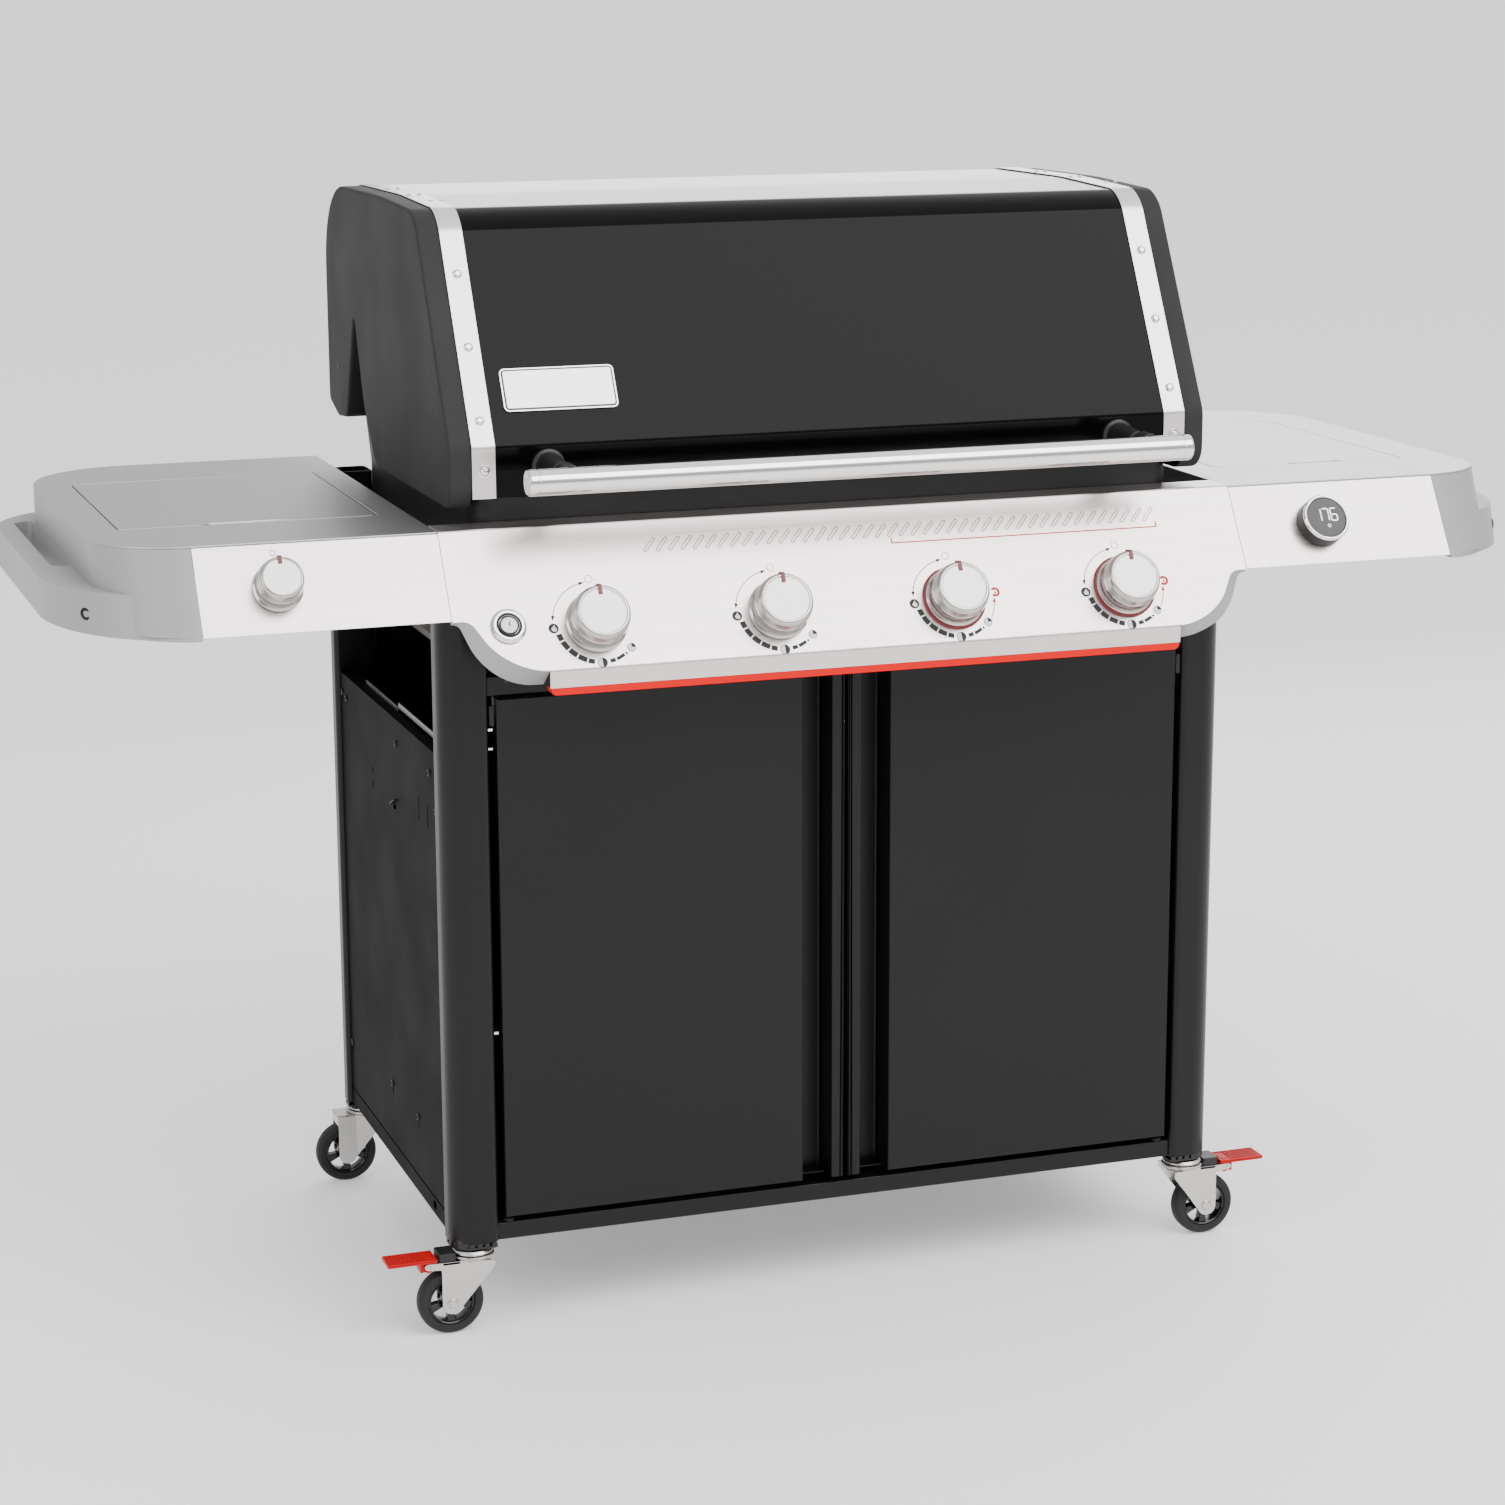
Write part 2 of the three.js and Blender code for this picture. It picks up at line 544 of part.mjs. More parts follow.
function controlPanel() {
  const sheet = prism("X", folded([
    [lipY, LIP_FOOT],
    [lipY, lipTop],
    [PANEL_FRONT, PANEL_TOP],
    [PANEL_FRONT + PANEL_SHELF, PANEL_TOP],
  ], -SHEET), -BODY_HALF, BODY_HALF);
  const half = [[BODY_HALF - GAP, PANEL_TOP + 9], ...rounded(cornerCurve, 6), [LIP_HALF, LIP_FOOT - 9]];
  const face = prism("Y", [...half, ...half.map(([x, z]) => [-x, z]).reverse()],
    lipY - 5, PANEL_FRONT + PANEL_SHELF + 5);
  const stems = KNOB_XS.map((x) => panelRod(x, KNOB_DROP, STEM_RADIUS + 2.5, -9, 9, 12));
  const igniter = panelRod(IGNITER.x, IGNITER.drop, IGNITER.radius + 1.5, -9, 9, 16);
  return cut(sheet.intersect(face), stems, igniter);
}

// The moulded trim that carries the panel's corner curve back to the post
function panelCorner() {
  const inner = rounded(cornerCurve, 6);
  const outer = rounded([
    [BODY_HALF - GAP, shoulderZ - 3],
    [BODY_HALF - 7, shoulderZ - 3, 5],
    [LIP_HALF + 58, LIP_FOOT, 66],
    [LIP_HALF, LIP_FOOT],
  ], 6);
  const edge = offset(inner, GAP);
  edge[0][0] = BODY_HALF - GAP;
  edge[edge.length - 1][0] = LIP_HALF + GAP;
  outer[outer.length - 1][0] = LIP_HALF + GAP;
  const band = prism("Y", [...edge, ...outer.reverse()], lipY, POST_FRONT);
  const depth = 28;
  const slab = prism("X", [
    [lipY, LIP_FOOT - 1],
    [lipY, lipTop],
    [slopeY(shoulderZ + 1), shoulderZ + 1],
    [slopeY(shoulderZ + 1) + depth, shoulderZ + 1],
    [lipY + depth, lipTop],
    [lipY + depth, LIP_FOOT - 1],
  ], LIP_HALF, BODY_HALF);
  return band.intersect(slab);
}

const lightStrip = box(-LIP_HALF + 1, LIP_HALF - 1, lipY, lipY + STRIP_DEPTH,
  LIP_FOOT - GAP - STRIP_HEIGHT, LIP_FOOT - GAP);

add("control_panel", controlPanel(), steel());
addPair("panel_corner", panelCorner(), greyTrim);
add("light_strip", lightStrip, red());

// A knob about local Z, its foot on the panel's face, with a pointer on its rim
function knob(radius, face) {
  const body = turned([
    [0, -STEM_REACH],
    [STEM_RADIUS, -STEM_REACH],
    [STEM_RADIUS, 1],
    [radius + 2, 1],
    [radius + 2, 5],
    [radius, 6],
    [radius, face - 3],
    [radius - 3, face],
    [0, face],
  ], 20);
  const pointer = box(-2.5, 2.5, radius * 0.66, radius - 1, face - 3, face + 0.8);
  return joined(body, pointer);
}

function addKnob(name, x, drop, radius, face) {
  add(name, knob(radius, face), steel(), panelGroup).position.set(x, -drop, 0);
}

KNOB_XS.forEach((x, i) => addKnob(`knob_${i + 1}`, x, KNOB_DROP, KNOB_RADIUS, KNOB_FACE));
addKnob("side_burner_knob", SIDE_KNOB.x, SIDE_KNOB.drop, SIDE_KNOB.radius, SIDE_KNOB.face);

const bezel = turned([
  [IGNITER.radius + 1, GAP],
  [IGNITER.bezel, GAP],
  [IGNITER.bezel, 2],
  [IGNITER.bezel - 4, 5],
  [IGNITER.radius + 1, 4],
  [IGNITER.radius + 1, GAP],
], 20);
add("igniter_bezel", bezel, chrome(), panelGroup).position.set(IGNITER.x, -IGNITER.drop, 0);
add("igniter_button", rod("Z", 0, 0, IGNITER.radius, -6, IGNITER.proud, 20), greyTrim(), panelGroup)
  .position.set(IGNITER.x, -IGNITER.drop, 0);

const dial = joined(
  rod("Z", 0, 0, DIAL.radius, GAP, DIAL.proud, 24),
  rod("Z", 0, 0, 8, -10, DIAL.proud - 2, 10),
);
add("thermometer", dial, blackPlastic(), panelGroup).position.set(DIAL.x, -DIAL.drop, 0);

// ---------------------------------------------------------------- shelves (right-hand side)
const deckOutline = (inset = 0) =>
  rounded([
    [BODY_HALF + GAP, PANEL_FRONT + inset],
    [SHELF_EDGE - inset, PANEL_FRONT + inset, CORNER_FRONT - inset],
    [SHELF_EDGE - inset, SHELF_REAR - inset, CORNER_REAR - inset],
    [BODY_HALF + GAP, SHELF_REAR - inset],
  ], 6);

const lidOutline = (lid, grow) =>
  rounded([
    [lid.x0 - grow, lid.y0 - grow, lid.corner + grow],
    [lid.x1 + grow, lid.y0 - grow, 3],
    [lid.x1 + grow, lid.y1 + grow, lid.corner + grow],
    [lid.x0 - grow, lid.y1 + grow, 3],
  ], 3);

const ledgeTop = WORK_HEIGHT - DECK - GAP;

// Steel deck with a flange down its inner side and an opening for a lid
function shelfTop(lid) {
  const deck = prism("Z", deckOutline(), WORK_HEIGHT - DECK, WORK_HEIGHT, [lidOutline(lid, LID_GAP)]);
  const flange = box(BODY_HALF + GAP, BODY_HALF + GAP + SHEET, PANEL_FRONT + 16, SHELF_REAR - 4,
    slopeZ(SHELF_DROP), WORK_HEIGHT - DECK / 2);
  return joined(deck, flange);
}

// A pressed well under a lid, with a rim that the lid lies on
function well(lid, depth, rimTop) {
  const rim = 12;
  const outline = (grow) => rectangle(lid.x0 - grow, lid.y0 - grow, lid.x1 + grow, lid.y1 + grow);
  const plate = prism("Z", outline(4), rimTop - SHEET, rimTop, [outline(-rim - SHEET)]);
  const walls = prism("Z", outline(-rim), rimTop - depth, rimTop - SHEET / 2, [outline(-rim - SHEET)]);
  const floor = prism("Z", outline(-rim), rimTop - depth, rimTop - depth + SHEET);
  return joined(plate, walls, floor);
}

// Ties the storage well's rim to the deck outside the lid's opening
function wellTie(lid) {
  const outer = rectangle(lid.x0 - 4, lid.y0 - 4, lid.x1 + 4, lid.y1 + 4);
  return prism("Z", outer, ledgeTop - SHEET, WORK_HEIGHT - DECK / 2, [lidOutline(lid, LID_GAP)]);
}

function shelfLid(lid) {
  const plate = prism("Z", lidOutline(lid, 0), WORK_HEIGHT - DECK, WORK_HEIGHT);
  const [n0, n1] = lid.notch;
  const notch = prism("Z", [
    [n0, lid.y0 - 1],
    [n1, lid.y0 - 1],
    [n1 - 10, lid.y0 + NOTCH_DEPTH],
    [n0 + 10, lid.y0 + NOTCH_DEPTH],
  ], WORK_HEIGHT - DECK - 1, WORK_HEIGHT + 1);
  return cut(plate, notch);
}

// Front plate on the same slope as the control panel, folded back at its foot
function shelfFront(hole) {
  const top = WORK_HEIGHT - DECK - GAP;
  const foot = slopeZ(SHELF_DROP);
  const sheet = prism("X", folded([
    [slopeY(foot) + 14, foot],
    [slopeY(foot), foot],
    [slopeY(top), top],
  ], -SHEET), BODY_HALF + GAP, CAP_START - GAP);
  return cut(sheet, panelRod(hole.x, hole.drop, hole.radius, -9, 9, 12));
}

// Leans the front of a body out with the slope of the panel
function leaned(geometry) {
  const place = geometry.attributes.position;
  for (let i = 0; i < place.count; i++) {
    const share = THREE.MathUtils.clamp(1 - (place.getY(i) - PANEL_FRONT) / LEAN_RUN, 0, 1);
    place.setY(i, place.getY(i) + share * (slopeY(place.getZ(i)) - PANEL_FRONT));
  }
  return solid(geometry);
}

// Moulded end of a shelf, with a step that runs out into a towel-rail handle
function shelfEndCap() {
  const outline = (out, frontCorner, inset) =>
    rounded([
      [BODY_HALF, PANEL_FRONT + inset],
      ...frontCorner,
      [out - inset, SHELF_REAR - inset, CORNER_REAR - inset],
      [BODY_HALF, SHELF_REAR - inset],
    ], 6);
  const deckCorner = (inset) =>
    [[SHELF_EDGE - inset, PANEL_FRONT + inset, CORNER_FRONT - inset]];
  const gripCorner = GRIP_SWEEP.map(([x, y, radius]) => [GRIP_OUT + x, PANEL_FRONT + y, radius]);
  const top = WORK_HEIGHT - DECK - GAP;
  const upper = leaned(sweep("Z", outline(SHELF_EDGE, deckCorner(0), 0), GRIP_FOOT + 4, top));
  const lower = leaned(sweep("Z", outline(GRIP_OUT, gripCorner, 0), GRIP_FOOT, GRIP_TOP));
  const inset = CAST + 1;
  const hollow = leaned(sweep("Z", outline(SHELF_EDGE, deckCorner(inset), inset), GRIP_FOOT - 1, top + 1));
  const slot = prism("Z", rounded([
    [SHELF_EDGE + GAP, SLOT_FRONT, 8],
    [GRIP_OUT - GRIP_THICK, SLOT_FRONT, 8],
    [GRIP_OUT - GRIP_THICK, SLOT_REAR, 8],
    [SHELF_EDGE + GAP, SLOT_REAR, 8],
  ], 2), GRIP_FOOT - 1, GRIP_TOP + 1);
  const lip = slopeY(GRIP_FOOT) - 9;
  const inboard = box(BODY_HALF - 9, CAP_START + GAP, lip, SHELF_REAR + 9, GRIP_FOOT - 9, top + 9);
  return cut(joined(upper, lower), hollow, slot, inboard);
}

// The side burner: bowl, head, pan support and the valve behind its knob
function sideBurner() {
  const lid = BURNER_LID;
  const x = (lid.x0 + lid.x1) / 2;
  const y = (lid.y0 + lid.y1) / 2;
  const foot = ledgeTop - WELL_DEPTH;
  const head = rod("Z", x, y, 38, foot, foot + 30, 20);
  const bars = [
    box(lid.x0 + 12, lid.x1 - 12, y - 4, y + 4, ledgeTop - 12, ledgeTop - 3),
    box(x - 4, x + 4, lid.y0 + 12, lid.y1 - 12, ledgeTop - 12, ledgeTop - 3),
  ];
  const tap = valve(-SIDE_KNOB.x, SIDE_KNOB.drop, 11, [lid.y0 + 20, foot]);
  return joined(well(lid, WELL_DEPTH, ledgeTop), head, bars, tap);
}

const leftSide = (mesh) => mesh.scale.setX(-1);
leftSide(add("shelf_top_left", shelfTop(BURNER_LID), steel()));
add("shelf_top_right", joined(shelfTop(STORE_LID), well(STORE_LID, WELL_DEPTH, ledgeTop), wellTie(STORE_LID)),
  steel());
leftSide(add("shelf_front_left",
  shelfFront({ x: -SIDE_KNOB.x, drop: SIDE_KNOB.drop, radius: STEM_RADIUS + 2.5 }), steel()));
add("shelf_front_right", shelfFront({ x: DIAL.x, drop: DIAL.drop, radius: 9 }), steel());
addPair("shelf_end_cap", shelfEndCap(), greyTrim);
leftSide(add("side_burner", sideBurner(), satinBlack()));
leftSide(add("side_burner_lid", shelfLid(BURNER_LID), steel()));
add("compartment_lid", shelfLid(STORE_LID), steel());

// ---------------------------------------------------------------- cabinet
const SWIVEL_X = (POST_IN + POST_OUT) / 2;
const casterY = (front) => (front ? POST_FRONT + POST_DEPTH / 2 : POST_REAR - POST_DEPTH / 2);

// Hollow corner post, its outer corner rounded, with a plug that holds a caster
function post(front) {
  const rear = !front;
  const y0 = rear ? POST_REAR - POST_DEPTH : POST_FRONT;
  const y1 = y0 + POST_DEPTH;
  const outline = (inset) => rounded([
    [POST_IN + inset, y0 + inset, (rear ? 6 : 9) - inset],
    [POST_OUT - inset, y0 + inset, (rear ? 6 : 24) - inset],
    [POST_OUT - inset, y1 - inset, (rear ? 24 : 6) - inset],
    [POST_IN + inset, y1 - inset, (rear ? 9 : 6) - inset],
  ], 3);
  const tube = prism("Z", outline(0), POST_FOOT, POST_TOP, [outline(POST_WALL)]);
  const plug = prism("Z", outline(-1), COLLAR_FOOT, POST_FOOT + 1);
  const core = prism("Z", outline(POST_WALL / 2), POST_FOOT, POST_FOOT + 14);
  const boreTop = POST_FOOT + 15;
  const bore = rod("Z", SWIVEL_X, casterY(front), SWIVEL_RADIUS + RUNNING, COLLAR_FOOT - 1, boreTop, 8);
  return cut(joined(tube, plug, core), bore);
}

function sidePanel() {
  const y0 = POST_FRONT + POST_DEPTH + 1;
  const y1 = POST_REAR - POST_DEPTH - 1;
  const profile = folded([
    [SIDE_X - 18, SIDE_TOP],
    [SIDE_X, SIDE_TOP],
    [SIDE_X, RAIL_FOOT],
    [SIDE_X - 12, RAIL_FOOT],
  ], -SHEET);
  return prism("Y", profile, y0, y1);
}

// The doors' hinge pins, or with a clearance the holes for them
const doorPins = (clearance, z0, z1) =>
  [-1, 1].map((side) => rod("Z", side * DOOR_PIN.x, DOOR_PIN.y, DOOR_PIN.radius + clearance, z0, z1, 10));

function bottomPanel() {
  const y0 = POST_FRONT + 4;
  const y1 = POST_REAR - 16;
  const inner = POST_IN - 1;
  const side = SIDE_X - SHEET - GAP;
  const front = POST_FRONT + POST_DEPTH + 1;
  const rear = POST_REAR - POST_DEPTH - 1;
  const half = [[inner, y0], [inner, front], [side, front], [side, rear], [inner, rear], [inner, y1]];
  const plate = prism("Z", [...half, ...half.map(([x, y]) => [-x, y]).reverse()],
    FLOOR_TOP - SHEET, FLOOR_TOP);
  const flange = (y) => box(-inner, inner, y, y + SHEET, RAIL_FOOT, FLOOR_TOP - SHEET / 2);
  return cut(joined(plate, flange(y0), flange(y1 - SHEET)), doorPins(RUNNING, FLOOR_TOP - 9, FLOOR_TOP + 9));
}

function headerRail() {
  const y = POST_FRONT + 3;
  const rail = prism("X", folded([
    [y + 20, HEADER_FOOT],
    [y, HEADER_FOOT],
    [y, HEADER_TOP],
    [y + 20, HEADER_TOP],
  ], -SHEET), -POST_IN + 1, POST_IN - 1);
  return cut(rail, doorPins(RUNNING, HEADER_FOOT - 9, HEADER_FOOT + 9));
}

// The back of the cabinet, with a window that the grease tray slides out through
function rearPanel() {
  const y = POST_REAR - 16 + GAP;
  const sheet = prism("X", folded([
    [y, RAIL_FOOT],
    [y, BACK_TOP],
    [y - 8, BACK_TOP],
  ], -SHEET), -POST_IN + 1, POST_IN - 1);
  const reach = TRAY.half + TRAY.lip + 5;
  return cut(sheet, box(-reach, reach, y - 3, y + SHEET + 3, TRAY.z0 - 5, TRAY.z1 + 5));
}

// Right-hand door: one folded sheet with a deep finger channel beside its free edge
function door() {
  const sheet = prism("Z", folded([
    [DOOR.lip, DOOR.front + 14],
    [DOOR.lip, DOOR.front],
    [DOOR.channel, DOOR.front],
    [DOOR.channel, DOOR.front + DOOR.depth],
    [DOOR.pan, DOOR.front + DOOR.depth],
    [DOOR.pan, DOOR.front],
    [DOOR.out, DOOR.front],
    [DOOR.out, DOOR.front + 18],
  ], SHEET), DOOR.z0, DOOR.z1);
  const edge = (z) => box(DOOR.pan, DOOR.out, DOOR.front + SHEET / 2, DOOR.front + 18, z, z + SHEET);
  const pin = (z0, z1) => rod("Z", DOOR_PIN.x, DOOR_PIN.y, DOOR_PIN.radius, z0, z1, 10);
  return joined(sheet, edge(DOOR.z0), edge(DOOR.z1 - SHEET),
    pin(FLOOR_TOP - DOOR_PIN.reach, DOOR.z0 + 1), pin(DOOR.z1 - 1, HEADER_FOOT + DOOR_PIN.reach));
}

function greaseTray() {
  const { half, y0, y1, z0, z1, lip, wall } = TRAY;
  const shell = box(-half, half, y0, y1, z0, z1);
  const rim = box(-half - lip, half + lip, y0, y1, z1 - 2, z1);
  const hollow = box(-half + wall, half - wall, y0 + wall, y1 - wall, z0 + wall, z1 + 1);
  return cut(joined(shell, rim), hollow);
}

addPair("side_panel", sidePanel(), satinBlack);
add("bottom_panel", bottomPanel(), satinBlack());
add("rear_panel", rearPanel(), satinBlack());
add("header_rail", headerRail(), satinBlack());
addPair("front_post", post(true), satinBlack);
addPair("rear_post", post(false), satinBlack);
addPair("door", door(), satinBlack);
add("grease_tray", greaseTray(), zinc());

// ---------------------------------------------------------------- casters
// About the swivel axis, trailing out along +X, ground at Z = 0
function casterFork(braked) {
  const half = FORK_GAP / 2;
  const head = turned([
    [0, HEAD_FOOT],
    [HEAD_RADIUS - 4, HEAD_FOOT],
    [HEAD_RADIUS, HEAD_FOOT + 5],
    [HEAD_RADIUS - 5, COLLAR_FOOT - GAP],
    [0, COLLAR_FOOT - GAP],
  ], 16);
  const stem = rod("Z", 0, 0, SWIVEL_RADIUS, HEAD_FOOT + 2, POST_FOOT + 10, 8);
  const arm = braked ? [[PEDAL.pivot + 6, PEDAL.z + 4, 3], [PEDAL.pivot + 6, PEDAL.z - 5, 5],
    [TRAIL + 12, PEDAL.z - 5]] : [];
  const legOutline = rounded([
    [-20, HEAD_FOOT - 6],
    [-20, HEAD_FOOT + 1],
    ...(braked ? [] : [[TRAIL + 12, HEAD_FOOT + 1]]),
    ...arm,
    [TRAIL + 12, WHEEL_RADIUS - 12, 11],
    [TRAIL - 10, WHEEL_RADIUS - 12, 11],
  ], 3);
  const leg = (y) => prism("Y", legOutline, y, y + FORK_PLATE);
  const bridge = box(-20, TRAIL + 12, -half - FORK_PLATE, half + FORK_PLATE, HEAD_FOOT - 2, HEAD_FOOT + 1);
  const axle = rod("Y", TRAIL, WHEEL_RADIUS, AXLE_RADIUS, -half - FORK_PLATE - 2, half + FORK_PLATE + 2, 12);
  const fork = joined(head, stem, leg(-half - FORK_PLATE), leg(half), bridge, axle);
  if (!braked) return fork;
  return cut(fork, rod("Y", PEDAL.pivot, PEDAL.z, 2.5 + RUNNING, -half - 9, half + 9, 10));
}

// About local Z; the radius is to the flats, so the wheel stands on one of them
function casterWheel() {
  const w = WHEEL_WIDTH / 2;
  const r = WHEEL_RADIUS / Math.cos(Math.PI / WHEEL_FLATS);
  const bore = AXLE_RADIUS + RUNNING;
  return turned([
    [bore, -w], [bore + 6, -w], [bore + 8, -w + 5], [r - 12, -w + 5], [r - 11, -w], [r, -w + 3],
    [r, w - 3], [r - 11, w], [r - 12, w - 5], [bore + 8, w - 5], [bore + 6, w], [bore, w],
    [bore, -w],
  ], WHEEL_FLATS);
}

function brakePedal() {
  const half = FORK_GAP / 2;
  const tread = box(TRAIL + 17, PEDAL.end, -PEDAL.half, PEDAL.half, PEDAL.top - 3.5, PEDAL.top);
  const hub = box(PEDAL.pivot - 7, PEDAL.pivot + 9, -half + 1, half - 1, PEDAL.z - 7, PEDAL.top - 1);
  const pin = rod("Y", PEDAL.pivot, PEDAL.z, 2.5, -half - FORK_PLATE - 1, half + FORK_PLATE + 1, 10);
  return joined(tread, hub, pin);
}

for (const front of [true, false]) {
  for (const side of [1, -1]) {
    const place = `${front ? "front" : "rear"}_${side > 0 ? "right" : "left"}`;
    const caster = new THREE.Group();
    caster.position.set(side * SWIVEL_X, casterY(front), 0);
    caster.scale.x = side;
    add(`caster_fork_${place}`, casterFork(front), zinc(), caster);
    const wheel = add(`caster_wheel_${place}`, casterWheel(), blackPlastic(), caster);
    wheel.position.set(TRAIL, 0, WHEEL_RADIUS);
    wheel.rotation.x = Math.PI / 2;
    if (front) add(`brake_pedal_${place}`, brakePedal(), red(), caster);
    grill.add(caster);
  }
}

export default grill;
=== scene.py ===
import json
import math
import bmesh
import bpy
from mathutils import Matrix, Vector

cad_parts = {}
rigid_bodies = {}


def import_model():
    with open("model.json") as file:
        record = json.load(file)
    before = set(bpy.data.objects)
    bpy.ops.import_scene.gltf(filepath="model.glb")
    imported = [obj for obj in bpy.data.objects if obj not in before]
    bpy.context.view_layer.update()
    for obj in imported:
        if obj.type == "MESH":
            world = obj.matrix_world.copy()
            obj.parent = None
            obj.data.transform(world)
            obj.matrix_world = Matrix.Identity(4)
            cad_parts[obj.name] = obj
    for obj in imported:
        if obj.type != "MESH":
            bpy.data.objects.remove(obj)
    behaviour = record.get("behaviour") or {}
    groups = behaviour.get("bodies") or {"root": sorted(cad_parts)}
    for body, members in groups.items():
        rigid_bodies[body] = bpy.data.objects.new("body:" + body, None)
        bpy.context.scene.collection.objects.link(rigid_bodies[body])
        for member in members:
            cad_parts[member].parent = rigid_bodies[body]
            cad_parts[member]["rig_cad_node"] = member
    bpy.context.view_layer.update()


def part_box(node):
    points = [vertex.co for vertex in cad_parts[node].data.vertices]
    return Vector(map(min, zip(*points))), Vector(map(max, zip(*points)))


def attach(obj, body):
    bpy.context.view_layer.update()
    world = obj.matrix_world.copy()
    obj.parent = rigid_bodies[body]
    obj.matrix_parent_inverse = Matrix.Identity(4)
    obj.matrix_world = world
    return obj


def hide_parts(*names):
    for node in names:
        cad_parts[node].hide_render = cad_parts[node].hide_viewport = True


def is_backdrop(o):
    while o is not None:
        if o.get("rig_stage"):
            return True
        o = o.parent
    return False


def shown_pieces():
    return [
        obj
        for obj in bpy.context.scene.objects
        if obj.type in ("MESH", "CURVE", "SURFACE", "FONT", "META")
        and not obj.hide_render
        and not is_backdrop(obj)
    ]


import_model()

# ---------------------------------------------------------------- camera
# Three-quarter view from the front left, a little above the shelves, with a long lens.
camera = bpy.data.objects.new("camera", bpy.data.cameras.new("camera"))
bpy.context.scene.collection.objects.link(camera)
camera.data.sensor_width = 36
camera.data.lens = 84.43
camera.data.shift_x = -0.0056
camera.data.shift_y = -0.0052
camera.data.clip_end = 500
turn = Matrix.Rotation(math.radians(-19.184), 4, "Z")
tip = Matrix.Rotation(math.radians(90 - 12.992), 4, "X")
roll = Matrix.Rotation(math.radians(-0.166), 4, "Z")
camera.matrix_world = Matrix.Translation((-1.3521, -3.8459, 1.5280)) @ turn @ tip @ roll
bpy.context.scene.camera = camera

# ---------------------------------------------------------------- floor and lights
# A pale seamless floor. A wide softbox hangs over the front, a strip light stands behind to the
# right, and a weak one fills the left side. The room is soft light from above, dim low down.
def linear(code):
    """The linear colour of an sRGB hex code."""
    parts = [int(code[i:i + 2], 16) / 255 for i in (0, 2, 4)]
    return [c / 12.92 if c <= 0.04045 else ((c + 0.055) / 1.055) ** 2.4 for c in parts] + [1.0]


def add_node(tree, kind, sockets=(), **settings):
    """Adds a node, with its settings, and sets or links its sockets."""
    made = tree.nodes.new(kind)
    for name, value in settings.items():
        setattr(made, name, value)
    for name, value in dict(sockets).items():
        if isinstance(value, bpy.types.NodeSocket):
            tree.links.new(value, made.inputs[name])
        else:
            made.inputs[name].default_value = value
    return made


def new_finish(name, **sockets):
    """A material with a principled shader whose sockets are set, such as base_color or roughness."""
    finish = bpy.data.materials.new(name)
    finish.use_nodes = True
    tree = finish.node_tree
    tree.nodes.clear()
    shader = add_node(tree, "ShaderNodeBsdfPrincipled")
    for socket, value in sockets.items():
        title = {"base_color": "Base Color", "specular": "Specular IOR Level"}.get(
            socket, socket.replace("_", " ").title().replace("Ior", "IOR"))
        shader.inputs[title].default_value = linear(value) if isinstance(value, str) else value
    add_node(tree, "ShaderNodeOutputMaterial", {"Surface": shader.outputs["BSDF"]})
    return finish, tree, shader


floor_paint, tree, shader = new_finish("floor_paint", base_color="f2f1ef", roughness=0.6, specular=0.2,
                                      emission_color="ffffff", emission_strength=0.35)
place = add_node(tree, "ShaderNodeTexCoord")
mottle = add_node(tree, "ShaderNodeTexNoise", {"Vector": place.outputs["Object"], "Scale": 0.6})
tone = add_node(tree, "ShaderNodeMapRange", {"Value": mottle.outputs["Fac"], "To Min": 0.55, "To Max": 0.65})
tree.links.new(tone.outputs["Result"], shader.inputs["Roughness"])

bm = bmesh.new()
bmesh.ops.create_grid(bm, x_segments=1, y_segments=1, size=120)
floor_mesh = bpy.data.meshes.new("floor")
bm.to_mesh(floor_mesh)
bm.free()
floor_mesh.materials.append(floor_paint)
floor = bpy.data.objects.new("floor", floor_mesh)
bpy.context.scene.collection.objects.link(floor)
floor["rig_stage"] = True

room = bpy.data.worlds.new("room")
room.use_nodes = True
sky = room.node_tree.nodes["Background"]
sky.inputs["Color"].default_value = linear("f6f7f8")
way = add_node(room.node_tree, "ShaderNodeTexCoord")
split = add_node(room.node_tree, "ShaderNodeSeparateXYZ", {"Vector": way.outputs["Generated"]})
height = add_node(room.node_tree, "ShaderNodeMapRange", {"Value": split.outputs["Z"], "From Min": 0.05,
                                                         "From Max": 0.75, "To Min": 0.55, "To Max": 1.55})
across = add_node(room.node_tree, "ShaderNodeMapRange", {"Value": split.outputs["X"], "From Min": -0.6,
                                                         "From Max": 0.6, "To Min": 0.72, "To Max": 1.15})
glow = add_node(room.node_tree, "ShaderNodeMath", {0: height.outputs["Result"], 1: across.outputs["Result"]},
                operation="MULTIPLY")
room.node_tree.links.new(glow.outputs["Value"], sky.inputs["Strength"])
bpy.context.scene.world = room


def softbox(name, place, aim, width, height, power):
    """A rectangular area light at a place, turned to an aim."""
    light = bpy.data.lights.new(name, "AREA")
    light.shape = "RECTANGLE"
    light.size = width
    light.size_y = height
    light.energy = power
    lamp = bpy.data.objects.new(name, light)
    lamp.location = place
    lamp.rotation_euler = (Vector(aim) - Vector(place)).to_track_quat("-Z", "Y").to_euler()
    lamp.visible_camera = False
    bpy.context.scene.collection.objects.link(lamp)


softbox("front_softbox", (1.6, -3.7, 4.6), (0.1, 0, 1.0), 6.0, 3.4, 290)
softbox("rear_strip", (1.9, 2.7, 1.9), (1.9, 0, 1.5), 3.4, 1.3, 45)
softbox("left_fill", (-3.6, -1.8, 2.4), (-0.3, 0, 0.6), 2.2, 2.6, 50)

